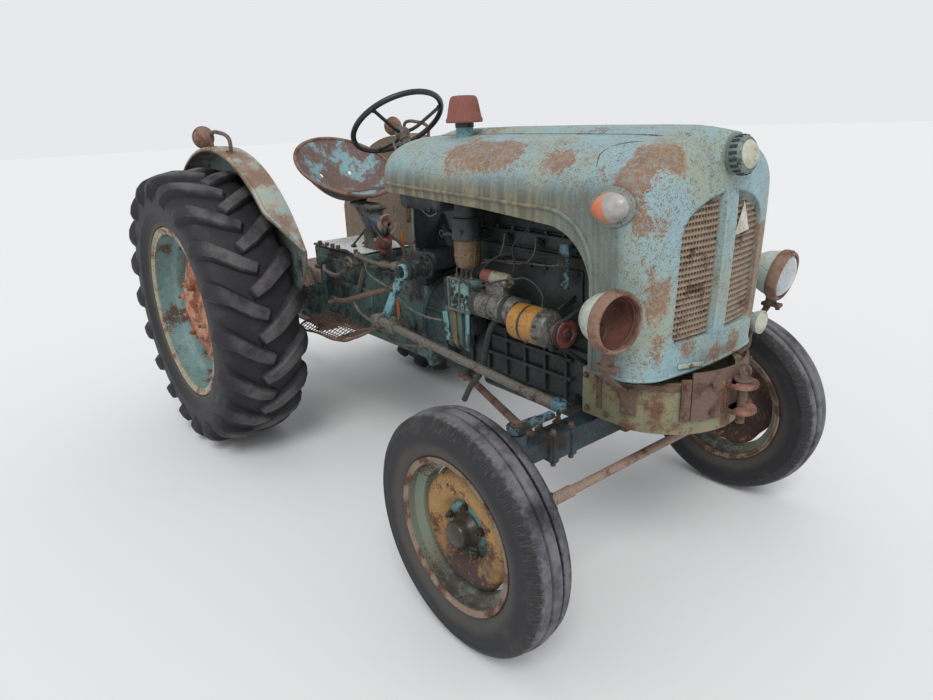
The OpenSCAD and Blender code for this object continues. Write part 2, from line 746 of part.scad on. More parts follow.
// A front tyre's cross-section
front_sides = 32;
front_base = front_rim_w2 - 5 - seat_gap;
front_w2 = front_tyre_w / 2;
front_bore_r = (front_rim_r - 13 + seat_gap) / cos(180 / front_sides);
front_profile = [[front_bore_r, -front_base], [front_rim_r + 3, -front_base], [front_rim_r + 40, -front_w2 + 1],
                 [front_tyre_r - 40, -front_w2 + 4], [front_tyre_r - 13, -front_w2 + 20],
                 [front_tyre_r, -front_w2 + 48], [front_tyre_r, front_w2 - 48],
                 [front_tyre_r - 13, front_w2 - 20], [front_tyre_r - 40, front_w2 - 4],
                 [front_rim_r + 40, front_w2 - 1], [front_rim_r + 3, front_base], [front_bore_r, front_base]];

module front_tyre(side) translate([x_front, side * front_track / 2, front_z]) ring(front_profile, front_sides);

module rear_wheel(side) {
    hub_y = rear_rim_w2 - rear_hub_inset;
    shaft_y = trumpet_end_y + 0.5 - rear_track / 2;
    turned(x_rear, rear_z, side * rear_track / 2, side) polygon([
        [0, shaft_y], [rear_shaft_r, shaft_y], [rear_shaft_r, hub_y - 130], [110, hub_y - 130],
        [110, hub_y - 30], [200, hub_y - 30], [300, hub_y - 70],
        [370, 0], [380, -60], [398, -70], [398, -rear_rim_w2], [rear_rim_r, -rear_rim_w2],
        [rear_rim_r, -rear_rim_w2 + 7], [405, -rear_rim_w2 + 7], [405, -60], [386, -50], [386, 50],
        [405, 60], [405, rear_rim_w2 - 7], [rear_rim_r, rear_rim_w2 - 7], [rear_rim_r, rear_rim_w2],
        [398, rear_rim_w2], [398, 66], [376, 54], [364, 4], [298, hub_y - 62], [198, hub_y - 22],
        [165, hub_y - 22], [165, hub_y], [60, hub_y], [55, hub_y + 20], [0, hub_y + 20]]);
}

// A rear tyre's cross-section: radius, distance out from the middle
carcass_w2 = rear_tyre_w / 2;
carcass_base = rear_rim_w2 - 7 - seat_gap;
carcass_crown = rear_tyre_r - lug_h;
carcass_sides = lug_count;
carcass_profile = [[(405 + seat_gap) / cos(180 / carcass_sides), -carcass_base], [445, -carcass_base], [530, -carcass_w2],
                   [carcass_crown - 30, -carcass_w2 + 22], [carcass_crown, 0],
                   [carcass_crown - 30, carcass_w2 - 22], [530, carcass_w2], [445, carcass_base],
                   [(405 + seat_gap) / cos(180 / carcass_sides), carcass_base]];

// Stations of a tread lug: distance out from the middle, angle ahead, half width, top under the tyre's radius
lug_stations = [[5, 0, 20, 0], [carcass_w2 - 3, 12, 30, 14]];

// One corner of a lug: side is -1 or 1 along the tread
function lug_corner(st, r, side) =
    let (a = st[1] + side * st[2] / rear_tyre_r * 57.3) [r * sin(a), st[0], -r * cos(a)];

module lug() {
    root_r = rear_tyre_r - lug_h - 22;
    points = [for (st = lug_stations) for (p = [[root_r - 2 * st[3], -1], [root_r - 2 * st[3], 1],
                                              [rear_tyre_r - st[3], 1], [rear_tyre_r - st[3], -1]])
                  lug_corner(st, p[0], p[1])];
    walls = [for (i = [0 : 3]) let (j = (i + 1) % 4) [i, 4 + i, 4 + j, j]];
    polyhedron(points, concat([[0, 1, 2, 3]], walls, [[7, 6, 5, 4]]), convexity = 3);
}

module rear_tyre(side) {
    pitch = 360 / lug_count;
    lead = lug_stations[0][2] / rear_tyre_r * 57.3;
    translate([x_rear, side * rear_track / 2, rear_z]) rotate([0, lead, 0]) {
        ring(carcass_profile, carcass_sides);
        for (s = [0, 1], i = [0 : lug_count - 1])
            rotate([0, -(i + s / 2) * pitch, 0]) mirror([0, s, 0]) lug();
    }
}

module front_wheel_right() color(rust) front_wheel(-1);
module front_wheel_left() color(rust) front_wheel(1);
module front_tyre_right() color(black_rubber) front_tyre(-1);
module front_tyre_left() color(black_rubber) front_tyre(1);
module rear_wheel_right() color(blue) rear_wheel(-1);
module rear_wheel_left() color(blue) rear_wheel(1);
module rear_tyre_right() color(black_rubber) rear_tyre(-1);
module rear_tyre_left() color(black_rubber) rear_tyre(1);

engine_block();
cylinder_head();
bell_housing();
gearbox();
axle_housing();
drawbar();
pto_shaft();
front_bolster();
front_hitch();
axle_beam();
radius_rods();
bonnet();
grille();
radiator();
fuel_tank();
steering_box();
seat_pan();
seat_bracket();
tool_box();
mudguard_right();
mudguard_left();
tail_lamps();
headlamp_right();
headlamp_left();
side_lamp();
indicators();
nose_lamp();
grab_handles();
air_intake();
oil_filter();
injection_pump();
starter_motor();
dynamo();
fan_pulleys();
exhaust_pipe();
step_plates();
levers();
steering_wheel();
pitman_arm();
drag_link();
tie_rod();
knuckle_right();
knuckle_left();
front_wheel_right();
front_tyre_right();
front_wheel_left();
front_tyre_left();
rear_wheel_right();
rear_tyre_right();
rear_wheel_left();
rear_tyre_left();
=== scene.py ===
# %% [markdown]
# # A small vintage farm tractor
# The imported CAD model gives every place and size. This lesson dresses it part by part: each new piece is
# made at its real place in metres, with +X forward, +Y to the driver's left and +Z up, and then rides on
# the CAD body that carries it, so the wheels still roll and the steering still turns.

# %% Load the frame
import math
import random

import bpy
from mathutils import Matrix, Vector


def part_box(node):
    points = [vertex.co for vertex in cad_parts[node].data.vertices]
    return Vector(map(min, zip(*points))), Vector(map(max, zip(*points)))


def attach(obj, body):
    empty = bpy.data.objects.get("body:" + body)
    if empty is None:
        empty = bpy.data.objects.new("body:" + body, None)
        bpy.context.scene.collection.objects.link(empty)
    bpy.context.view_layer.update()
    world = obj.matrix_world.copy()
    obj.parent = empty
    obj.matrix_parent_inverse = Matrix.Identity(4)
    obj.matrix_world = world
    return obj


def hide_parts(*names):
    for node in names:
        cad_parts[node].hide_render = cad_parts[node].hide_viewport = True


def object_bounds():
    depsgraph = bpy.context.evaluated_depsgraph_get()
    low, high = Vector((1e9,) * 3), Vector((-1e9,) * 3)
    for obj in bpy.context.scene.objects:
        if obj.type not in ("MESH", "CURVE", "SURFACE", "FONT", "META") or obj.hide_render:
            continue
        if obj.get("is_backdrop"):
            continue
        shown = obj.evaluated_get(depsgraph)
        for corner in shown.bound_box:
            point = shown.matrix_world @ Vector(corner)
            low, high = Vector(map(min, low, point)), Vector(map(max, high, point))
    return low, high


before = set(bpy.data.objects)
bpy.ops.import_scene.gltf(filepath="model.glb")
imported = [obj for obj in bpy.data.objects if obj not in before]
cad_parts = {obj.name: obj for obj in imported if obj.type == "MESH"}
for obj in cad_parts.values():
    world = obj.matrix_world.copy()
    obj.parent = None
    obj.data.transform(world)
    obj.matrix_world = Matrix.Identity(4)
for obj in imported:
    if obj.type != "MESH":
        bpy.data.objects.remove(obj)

bpy.ops.object.select_all(action="DESELECT")
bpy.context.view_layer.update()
random.seed(7)

# %% [markdown]
# ## Places taken from the frame
# A wheel's axle is the middle of its tyre's box. Reading it there means that a change in the CAD model
# moves the dressed wheel too.

# %% Wheel centres
def middle(node):
    low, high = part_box(node)
    return (low + high) / 2


REAR_AXLE = middle("rear_tyre_right")
FRONT_AXLE = middle("front_tyre_right")
REAR_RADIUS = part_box("rear_tyre_right")[1].z / 2
FRONT_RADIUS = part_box("front_tyre_right")[1].z / 2
RX = REAR_AXLE.x
FX = FRONT_AXLE.x
print("rear wheel", REAR_RADIUS, "front wheel", FRONT_RADIUS)

# %% [markdown]
# ## The camera
# The camera stands where the photographer stood: by the right front corner at eye height, with a wide
# lens, looking a little down and leaning slightly to one side.

# %% Camera
CAMERA_PLACE = Vector((2.613, -1.856, 1.633))
LOOK_YAW, LOOK_DOWN, LEAN = (math.radians(a) for a in (141.82, 19.40, -2.46))
ahead = Vector((math.cos(LOOK_YAW) * math.cos(LOOK_DOWN), math.sin(LOOK_YAW) * math.cos(LOOK_DOWN),
                -math.sin(LOOK_DOWN)))
level = Vector((math.sin(LOOK_YAW), -math.cos(LOOK_YAW), 0))
upward = level.cross(ahead)
right = math.cos(LEAN) * level + math.sin(LEAN) * upward
up = -math.sin(LEAN) * level + math.cos(LEAN) * upward
bpy.ops.object.camera_add(location=CAMERA_PLACE)
camera = bpy.context.object
camera.matrix_world = Matrix.Translation(CAMERA_PLACE) @ Matrix((right, up, -ahead)).transposed().to_4x4()
camera.data.sensor_width = 36
camera.data.lens = 26.73
camera.data.clip_start = 0.05
bpy.context.scene.camera = camera

# %% [markdown]
# ## Floor and light
# The day was overcast, so the light is nearly all sky: an even world with one wide soft sun from the
# front right. The camera sees a pale sky colour, while the object is lit by the same colour at a plain level.

# %% Sky, sun and floor
SKY = (0.80, 0.82, 0.84, 1)
world = bpy.data.worlds.new("overcast")
bpy.context.scene.world = world
world.use_nodes = True
sky_nodes, sky_links = world.node_tree.nodes, world.node_tree.links
sky = sky_nodes["Background"]
sky.inputs["Color"].default_value = (0.86, 0.88, 0.90, 1)
sky.inputs["Strength"].default_value = 0.85
seen = sky_nodes.new("ShaderNodeBackground")
seen.inputs["Color"].default_value = SKY
which = sky_nodes.new("ShaderNodeLightPath")
either = sky_nodes.new("ShaderNodeMixShader")
sky_links.new(which.outputs["Is Camera Ray"], either.inputs[0])
sky_links.new(sky.outputs[0], either.inputs[1])
sky_links.new(seen.outputs[0], either.inputs[2])
sky_links.new(either.outputs[0], sky_nodes["World Output"].inputs["Surface"])

bpy.ops.object.light_add(type="SUN", location=(3, -3, 5))
sun = bpy.context.object
sun.data.energy = 1.3
sun.data.angle = math.radians(25)
sun.rotation_euler = (math.radians(38), math.radians(12), math.radians(35))
bpy.context.scene.view_settings.view_transform = "Standard"

bpy.ops.mesh.primitive_circle_add(vertices=96, radius=40, fill_type="NGON")
floor = bpy.context.object
floor.name = "floor"
floor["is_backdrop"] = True

# %% [markdown]
# ## Tools for shaping
# Every piece below starts from a primitive at its own size and place. These few helpers keep one object
# selected, put its place into its mesh, and round its edges, which catch the light on a real casting.

# %% Helpers for one piece
def only(obj):
    """Leaves one object selected and active."""
    bpy.ops.object.select_all(action="DESELECT")
    obj.select_set(True)
    bpy.context.view_layer.objects.active = obj
    return obj


def settle(obj):
    """Puts the object's place, turn and size into its mesh."""
    only(obj)
    bpy.ops.object.transform_apply(location=True, rotation=True, scale=True)
    return obj


def apply_modifier(obj, kind, **values):
    only(obj)
    modifier = obj.modifiers.new(kind.title(), kind)
    for key, value in values.items():
        setattr(modifier, key, value)
    bpy.ops.object.modifier_apply(modifier=modifier.name)
    return obj


def soften(obj, width, segments=2, angle=35):
    """Rounds the edges sharper than angle."""
    return apply_modifier(obj, "BEVEL", width=width, segments=segments, limit_method="ANGLE",
                          angle_limit=math.radians(angle), harden_normals=False)


def smooth(obj, angle=40):
    only(obj)
    bpy.ops.object.shade_smooth_by_angle(angle=math.radians(angle))
    return obj


def face_outwards(obj, merge=0.0):
    """Joins points that are closer than merge and turns all faces outwards."""
    only(obj)
    bpy.ops.object.mode_set(mode="EDIT")
    bpy.ops.mesh.select_all(action="SELECT")
    if merge:
        bpy.ops.mesh.remove_doubles(threshold=merge)
    bpy.ops.mesh.normals_make_consistent(inside=False)
    bpy.ops.object.mode_set(mode="OBJECT")
    return obj


def from_faces(name, points, faces):
    """A new object made of points and faces."""
    mesh = bpy.data.meshes.new(name)
    mesh.from_pydata(points, [], faces)
    obj = bpy.data.objects.new(name, mesh)
    bpy.context.collection.objects.link(obj)
    return obj


def beside(place, across):
    return place + Vector((0, across, 0))


def above(place, rise):
    return place + Vector((0, 0, rise))


def side_name(side):
    return "left" if side > 0 else "right"


def full_turn(steps):
    """Angles once round, the first one repeated at the end."""
    return [i / steps * 2 * math.pi for i in range(steps + 1)]


def block(low, high, edge=0.004, segments=2):
    """A box between two corners with rounded edges."""
    low, high = Vector(low), Vector(high)
    bpy.ops.mesh.primitive_cube_add(size=1, location=(low + high) / 2)
    obj = bpy.context.object
    obj.scale = high - low
    settle(obj)
    return soften(obj, edge, segments) if edge else obj


def side_block(side, low, high, edge=0.004, segments=2):
    """A box on one side of the middle, with y counted outwards."""
    right, left = sorted((side * low[1], side * high[1]))
    return block((low[0], right, low[2]), (high[0], left, high[2]), edge, segments)


def drum(a, b, radius, edge=0.0, sides=32, end_radius=None):
    """A cylinder or cone from point a to point b, with rounded rims."""
    a, b = Vector(a), Vector(b)
    if end_radius is None:
        bpy.ops.mesh.primitive_cylinder_add(vertices=sides, radius=radius, depth=(b - a).length)
    else:
        bpy.ops.mesh.primitive_cone_add(vertices=sides, radius1=radius, radius2=end_radius,
                                        depth=(b - a).length)
    obj = bpy.context.object
    obj.rotation_mode = "QUATERNION"
    obj.rotation_quaternion = (b - a).to_track_quat("Z", "Y")
    obj.location = (a + b) / 2
    settle(obj)
    return soften(obj, edge) if edge else obj


def ball(centre, radius, squash=(1, 1, 1), sides=24):
    bpy.ops.mesh.primitive_uv_sphere_add(segments=sides, ring_count=sides // 2, radius=radius,
                                         location=centre)
    obj = bpy.context.object
    obj.scale = squash
    return settle(obj)


def pipe(points, radius, sides=8, curved=True):
    """A bent tube through the points: a curve with a round section, then a mesh."""
    curve = bpy.data.curves.new("pipe", "CURVE")
    curve.dimensions = "3D"
    curve.bevel_depth = radius
    curve.bevel_resolution = max(sides // 4, 1)
    curve.use_fill_caps = True
    curve.resolution_u = 6
    spline = curve.splines.new("BEZIER" if curved else "POLY")
    if curved:
        spline.bezier_points.add(len(points) - 1)
        for knot, point in zip(spline.bezier_points, points):
            knot.co = point
            knot.handle_left_type = knot.handle_right_type = "AUTO"
    else:
        spline.points.add(len(points) - 1)
        for knot, point in zip(spline.points, points):
            knot.co = (*point, 1)
    obj = bpy.data.objects.new("pipe", curve)
    bpy.context.collection.objects.link(obj)
    only(obj)
    bpy.ops.object.convert(target="MESH")
    return bpy.context.object


def joined(parts):
    """Joins several shapes to one."""
    bpy.ops.object.select_all(action="DESELECT")
    for part in parts:
        part.select_set(True)
    bpy.context.view_layer.objects.active = parts[0]
    if len(parts) > 1:
        bpy.ops.object.join()
    return bpy.context.object


def copy_of(obj, matrix):
    """A copy with its own mesh, moved by a matrix."""
    twin = obj.copy()
    twin.data = obj.data.copy()
    bpy.context.collection.objects.link(twin)
    twin.data.transform(matrix)
    if matrix.determinant() < 0:
        twin.data.flip_normals()
    return twin


def about(centre, axis, degrees):
    """The turn about an axis through a centre."""
    centre = Vector(centre)
    turn = Matrix.Rotation(math.radians(degrees), 4, axis)
    return Matrix.Translation(centre) @ turn @ Matrix.Translation(-centre)


def turned(profile, centre, steps=96, axis=(0, 1, 0)):
    """Turns a profile of (radius, distance along the axis) about an axis: one vertex, drawn out point by
    point, then spun."""
    bpy.ops.mesh.primitive_plane_add(size=1)
    obj = bpy.context.object
    bpy.ops.object.mode_set(mode="EDIT")
    bpy.ops.mesh.select_all(action="SELECT")
    bpy.ops.mesh.merge(type="CENTER")
    radius, along = profile[0]
    bpy.ops.transform.translate(value=(radius, 0, along))
    for radius_2, along_2 in profile[1:]:
        bpy.ops.mesh.extrude_vertices_move(
            TRANSFORM_OT_translate={"value": (radius_2 - radius, 0, along_2 - along)})
        radius, along = radius_2, along_2
    bpy.ops.mesh.select_all(action="SELECT")
    bpy.ops.mesh.spin(steps=steps, angle=2 * math.pi, center=(0, 0, 0), axis=(0, 0, 1))
    bpy.ops.mesh.select_all(action="SELECT")
    bpy.ops.mesh.remove_doubles(threshold=0.00005)
    bpy.ops.mesh.normals_make_consistent(inside=False)
    bpy.ops.object.mode_set(mode="OBJECT")
    obj.rotation_mode = "QUATERNION"
    obj.rotation_quaternion = Vector(axis).to_track_quat("Z", "Y")
    obj.location = centre
    settle(obj)
    return smooth(obj, 32)


def hexagon(place, axis, across=0.018, height=0.010):
    """A bolt head on a round washer, standing out from place along axis."""
    place, axis = Vector(place), Vector(axis).normalized()
    washer = drum(place, place + axis * 0.002, across * 0.68, sides=16)
    head = drum(place + axis * 0.002, place + axis * height, across / 2, edge=0.0012, sides=6)
    return joined([washer, head])


# %% Bars, sheets and rows of bolts
def flat_bar(a, b, wide, thick, facing=(0, 1, 0), edge=0.0015):
    """A bar from a to b; its flat side looks along facing."""
    a, b = Vector(a), Vector(b)
    along = (b - a).normalized()
    across = along.cross(Vector(facing)).normalized()
    out = along.cross(across)
    bpy.ops.mesh.primitive_cube_add(size=1)
    obj = bpy.context.object
    turn = Matrix((across * wide, out * thick, along * (b - a).length)).transposed().to_4x4()
    obj.data.transform(Matrix.Translation((a + b) / 2) @ turn)
    return soften(obj, edge, 1) if edge else obj


def laid_sheet(rows, thickness=0.003, closed=False):
    """A grid whose points are laid through rows of places, then given thickness."""
    bpy.ops.mesh.primitive_grid_add(x_subdivisions=len(rows[0]) - 1, y_subdivisions=len(rows) - 1, size=1)
    obj = bpy.context.object
    for vertex in obj.data.vertices:
        i = round((vertex.co.x + 0.5) * (len(rows[0]) - 1))
        j = round((vertex.co.y + 0.5) * (len(rows) - 1))
        vertex.co = rows[j][i]
    if closed:
        face_outwards(obj, 0.0002)
    if thickness:
        apply_modifier(obj, "SOLIDIFY", thickness=thickness, offset=0, use_even_offset=False)
    return obj


def bolt_row(start, end, count, axis, across=0.016, height=0.010):
    start, end = Vector(start), Vector(end)
    return joined([hexagon(start.lerp(end, i / max(count - 1, 1)), axis, across, height)
                   for i in range(count)])


def bolt_ring(centre, axis, radius, count, across=0.016, height=0.010, first=0.0):
    """Bolts round an axis that runs along x or y."""
    centre = Vector(centre)
    heads = []
    for i in range(count):
        a = first + i * 2 * math.pi / count
        if abs(axis[0]) > 0.5:
            away = Vector((0, math.cos(a), math.sin(a)))
        else:
            away = Vector((math.cos(a), 0, math.sin(a)))
        heads.append(hexagon(centre + away * radius, axis, across, height))
    return joined(heads)


# %% Helpers that hand a piece over
def paint(obj, *materials):
    obj.data.materials.clear()
    for material in materials:
        obj.data.materials.append(material)
    return obj


def paint_all(shapes, material):
    for shape in shapes:
        paint(shape, material)


def piece(name, parts, body, material, slot, *nodes, angle=40):
    """Joins parts to one named piece that rides on a body and stands for CAD nodes."""
    for part in parts:
        if not part.data.materials:
            paint(part, material)
    obj = joined(parts)
    obj.name = name
    obj.data.name = name
    smooth(obj, angle)
    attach(obj, body)
    if nodes:
        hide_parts(*nodes)
    print(name, len(obj.data.polygons), "faces")
    return obj

# %% [markdown]
# ## Old paint, rust and grime
# One shader group holds what every surface here shares: paint that has gone chalky, rust that breaks
# through in patches with speckled borders, and dust or oil that lies over both. Each material sets its own
# colours and amounts. The group gives only a colour, a roughness and a height.

# %% The weathering group
def math_node(tree, operation, a, b=None, c=None, clamp=False):
    node = tree.nodes.new("ShaderNodeMath")
    node.operation = operation
    node.use_clamp = clamp
    for socket, value in zip(node.inputs, (a, b, c)):
        if value is None:
            continue
        if hasattr(value, "links"):
            tree.links.new(value, socket)
        else:
            socket.default_value = value
    return node.outputs[0]


def times(tree, a, b):
    return math_node(tree, "MULTIPLY", a, b)


def plus(tree, a, b):
    return math_node(tree, "ADD", a, b)


def minus(tree, a, b):
    return math_node(tree, "SUBTRACT", a, b)


def mix_colour(tree, factor, a, b):
    node = tree.nodes.new("ShaderNodeMix")
    node.data_type = "RGBA"
    for socket, value in zip((node.inputs[0], node.inputs[6], node.inputs[7]), (factor, a, b)):
        if hasattr(value, "links"):
            tree.links.new(value, socket)
        else:
            socket.default_value = value
    return node.outputs[2]


def noise(tree, place, scale, detail=4, roughness=0.6, stretch=None):
    if stretch:
        mapping = tree.nodes.new("ShaderNodeMapping")
        mapping.inputs["Scale"].default_value = stretch
        tree.links.new(place, mapping.inputs["Vector"])
        place = mapping.outputs[0]
    node = tree.nodes.new("ShaderNodeTexNoise")
    node.inputs["Detail"].default_value = detail
    node.inputs["Roughness"].default_value = roughness
    if hasattr(scale, "links"):
        tree.links.new(scale, node.inputs["Scale"])
    else:
        node.inputs["Scale"].default_value = scale
    tree.links.new(place, node.inputs["Vector"])
    return node.outputs["Fac"]


def step_up(tree, value, start, end):
    """0 below start, 1 above end, smooth between."""
    node = tree.nodes.new("ShaderNodeMapRange")
    node.interpolation_type = "SMOOTHSTEP"
    for key, number in (("Value", value), ("From Min", start), ("From Max", end)):
        if hasattr(number, "links"):
            tree.links.new(number, node.inputs[key])
        else:
            node.inputs[key].default_value = number
    return node.outputs["Result"]


def group(name, inputs, outputs):
    tree = bpy.data.node_groups.new(name, "ShaderNodeTree")
    for key, kind, value in inputs:
        socket = tree.interface.new_socket(name=key, in_out="INPUT", socket_type="NodeSocket" + kind)
        if value is not None:
            socket.default_value = value
    for key, kind in outputs:
        tree.interface.new_socket(name=key, in_out="OUTPUT", socket_type="NodeSocket" + kind)
    start = tree.nodes.new("NodeGroupInput")
    end = tree.nodes.new("NodeGroupOutput")
    return tree, start.outputs, end.inputs


WHITE = (1, 1, 1, 1)
weather, given, out = group("weathering",
                            [("Paint", "Color", WHITE), ("Faded", "Color", WHITE), ("Rust", "Color", WHITE),
                             ("Dark Rust", "Color", WHITE), ("Dirt", "Color", WHITE),
                             ("Rust Cover", "Float", 0.4), ("Dirt Cover", "Float", 0.3),
                             ("Scale", "Float", 4.0), ("Streaks", "Float", 0.3), ("Patch", "Float", 0.0),
                             ("Grime", "Float", 0.0), ("Paint Roughness", "Float", 0.5)],
                            [("Color", "Color"), ("Roughness", "Float"), ("Height", "Float")])
place = weather.nodes.new("ShaderNodeTexCoord").outputs["Object"]
large = noise(weather, place, given["Scale"], 3, 0.55)
middle_scale = times(weather, given["Scale"], 5.0)
small = noise(weather, place, middle_scale, 5, 0.7)
speck = noise(weather, place, 140, 2, 0.7)
grain = noise(weather, place, 420, 2, 0.6)
runs = noise(weather, place, 22, 3, 0.6, stretch=(1, 1, 0.06))
level_of = plus(weather, times(weather, large, 0.58), times(weather, small, 0.27))
level_of = plus(weather, level_of, times(weather, speck, 0.15))
level_of = plus(weather, level_of, times(weather, given["Patch"], 0.3))
cover = minus(weather, 0.74, times(weather, given["Rust Cover"], 0.48))
rust_mask = step_up(weather, level_of, cover, plus(weather, cover, 0.075))
fade_mask = step_up(weather, small, 0.36, 0.66)
paint_colour = mix_colour(weather, fade_mask, given["Paint"], given["Faded"])
rust_colour = mix_colour(weather, step_up(weather, speck, 0.40, 0.62), given["Dark Rust"], given["Rust"])
with_rust = mix_colour(weather, rust_mask, paint_colour, rust_colour)
chips = step_up(weather, plus(weather, times(weather, speck, 0.6),
                                   times(weather, large, 0.4)), 0.565, 0.60)
with_chips = mix_colour(weather, times(weather, chips, 0.7), with_rust, given["Dark Rust"])
dirt_level = plus(weather, times(weather, small, 0.6), times(weather, large, 0.4))
dirt_edge = minus(weather, 0.78, times(weather, given["Dirt Cover"], 0.6))
dirt_mask = step_up(weather, dirt_level, dirt_edge, plus(weather, dirt_edge, 0.22))
streak_mask = times(weather, step_up(weather, runs, 0.44, 0.72), given["Streaks"])
placed_dirt = times(weather, given["Grime"], step_up(weather, dirt_level, 0.30, 0.55))
all_dirt = math_node(weather, "MAXIMUM", times(weather, dirt_mask, 0.85), streak_mask)
all_dirt = math_node(weather, "MAXIMUM", all_dirt, placed_dirt, clamp=True)
weather.links.new(mix_colour(weather, all_dirt, with_chips, given["Dirt"]), out["Color"])
dull = math_node(weather, "MAXIMUM", rust_mask, times(weather, all_dirt, 0.8))
rough = plus(weather, given["Paint Roughness"],
                  times(weather, dull, minus(weather, 0.9, given["Paint Roughness"])))
weather.links.new(rough, out["Roughness"])
flake = times(weather, minus(weather, 1.0, rust_mask), 0.35)
pits = times(weather, times(weather, speck, rust_mask), 0.9)
height = plus(weather, plus(weather, flake, pits), times(weather, grain, 0.12))
weather.links.new(height, out["Height"])


# %% A material from the group
def colour(r, g, b):
    return (r, g, b, 1)


def surface(name, roughness=0.5, metallic=0.0, base=(0.8, 0.8, 0.8)):
    material = bpy.data.materials.new(name)
    material.use_nodes = True
    shader = material.node_tree.nodes["Principled BSDF"]
    shader.inputs["Base Color"].default_value = colour(*base)
    shader.inputs["Roughness"].default_value = roughness
    shader.inputs["Metallic"].default_value = metallic
    return material, material.node_tree, shader


def bump(tree, shader, height, distance=0.002, strength=0.6):
    node = tree.nodes.new("ShaderNodeBump")
    node.inputs["Distance"].default_value = distance
    node.inputs["Strength"].default_value = strength
    tree.links.new(height, node.inputs["Height"])
    tree.links.new(node.outputs[0], shader.inputs["Normal"])


def weathered(name, paint_colour, faded, rust, dark_rust, dirt, rust_cover=0.4, dirt_cover=0.3, scale=4.0,
              streaks=0.2, paint_roughness=0.5, depth=0.0016, patches=(), grime=()):
    material, tree, shader = surface(name)
    node = tree.nodes.new("ShaderNodeGroup")
    node.node_tree = weather
    for key, value in (("Paint", paint_colour), ("Faded", faded), ("Rust", rust), ("Dark Rust", dark_rust),
                       ("Dirt", dirt)):
        node.inputs[key].default_value = colour(*value)
    for key, value in (("Rust Cover", rust_cover), ("Dirt Cover", dirt_cover), ("Scale", scale),
                       ("Streaks", streaks), ("Paint Roughness", paint_roughness)):
        node.inputs[key].default_value = value
    if patches:
        tree.links.new(patch_field(tree, patches), node.inputs["Patch"])
    if grime:
        tree.links.new(patch_field(tree, grime), node.inputs["Grime"])
    tree.links.new(node.outputs["Color"], shader.inputs["Base Color"])
    tree.links.new(node.outputs["Roughness"], shader.inputs["Roughness"])
    bump(tree, shader, node.outputs["Height"], depth)
    return material


def patch_field(tree, patches):
    """Adds to the rust inside each patch and takes away from it inside a negative one. A patch is a centre,
    a radius and an amount."""
    spot = tree.nodes.new("ShaderNodeTexCoord").outputs["Object"]
    total = None
    for centre, radius, amount in patches:
        away = tree.nodes.new("ShaderNodeVectorMath")
        away.operation = "DISTANCE"
        tree.links.new(spot, away.inputs[0])
        away.inputs[1].default_value = centre
        near = step_up(tree, math_node(tree, "DIVIDE", away.outputs["Value"], radius), 1.6, 0.2)
        part = times(tree, near, amount)
        total = part if total is None else plus(tree, total, part)
    return total

# %% [markdown]
# ## The finishes
# Colours are written as a painter would note them, in red, green and blue of 0 to 255, and turned into the
# linear values that the shader counts in.

# %% Colours
def tone(r, g, b):
    return tuple(((v / 255 + 0.055) / 1.055) ** 2.4 if v > 10 else v / 3295 for v in (r, g, b))


DEEP_RUST = tone(118, 82, 60)
GRIME = tone(74, 76, 70)
OIL = tone(30, 31, 33)
DUST = tone(122, 114, 98)

# %% [markdown]
# The panels carry the same chalky blue, but rust has eaten each one differently, so the bonnet, the
# guards and the castings get their own amounts and patches.

# %% Body finishes
# Rust patches on the bonnet: centre, radius, amount
BONNET_RUST = [((1.404, -0.261, 1.45), 0.062, 1.0), ((1.380, -0.303, 1.412), 0.050, 1.0),
               ((1.454, -0.192, 1.434), 0.040, 0.9), ((1.435, -0.207, 1.458), 0.050, 1.0),
               ((1.417, -0.274, 1.388), 0.045, 0.9), ((1.431, -0.316, 1.341), 0.036, 0.8),
               ((1.433, -0.316, 1.295), 0.032, 0.7), ((1.475, -0.277, 1.300), 0.040, 0.7),
               ((1.450, -0.303, 1.199), 0.034, 0.6), ((1.477, -0.265, 1.122), 0.056, 0.85),
               ((1.471, -0.271, 1.046), 0.046, 0.8), ((1.473, -0.257, 0.965), 0.036, 0.75),
               ((1.472, -0.251, 0.903), 0.032, 0.75), ((0.620, -0.260, 1.465), 0.110, 0.9),
               ((0.786, -0.270, 1.482), 0.110, 0.95), ((0.880, -0.268, 1.484), 0.070, 0.6),
               ((1.085, -0.296, 1.459), 0.060, 0.85), ((1.150, -0.279, 1.475), 0.050, 0.8),
               ((1.291, -0.307, 1.443), 0.032, 0.6), ((1.372, -0.223, 1.498), 0.032, 0.6),
               ((1.420, -0.171, 1.495), 0.042, 0.7), ((1.492, -0.130, 0.918), 0.050, 0.8),
               ((1.496, 0.006, 0.877), 0.050, 0.9), ((1.492, 0.109, 0.887), 0.052, 0.9),
               ((1.495, 0.211, 1.228), 0.042, 1.1), ((1.490, 0.222, 1.140), 0.046, 1.1),
               ((1.487, 0.225, 1.050), 0.050, 1.1), ((1.480, 0.226, 0.970), 0.042, 1.1),
               ((0.560, -0.040, 1.530), 0.120, 0.6), ((1.020, -0.040, 1.545), 0.160, 0.45),
               ((0.800, 0.270, 1.480), 0.120, 0.6), ((1.400, 0.260, 1.450), 0.070, 0.7),
               ((1.330, 0.00, 1.560), 0.120, 0.4), ((0.100, 0.200, 1.450), 0.100, 0.4)]


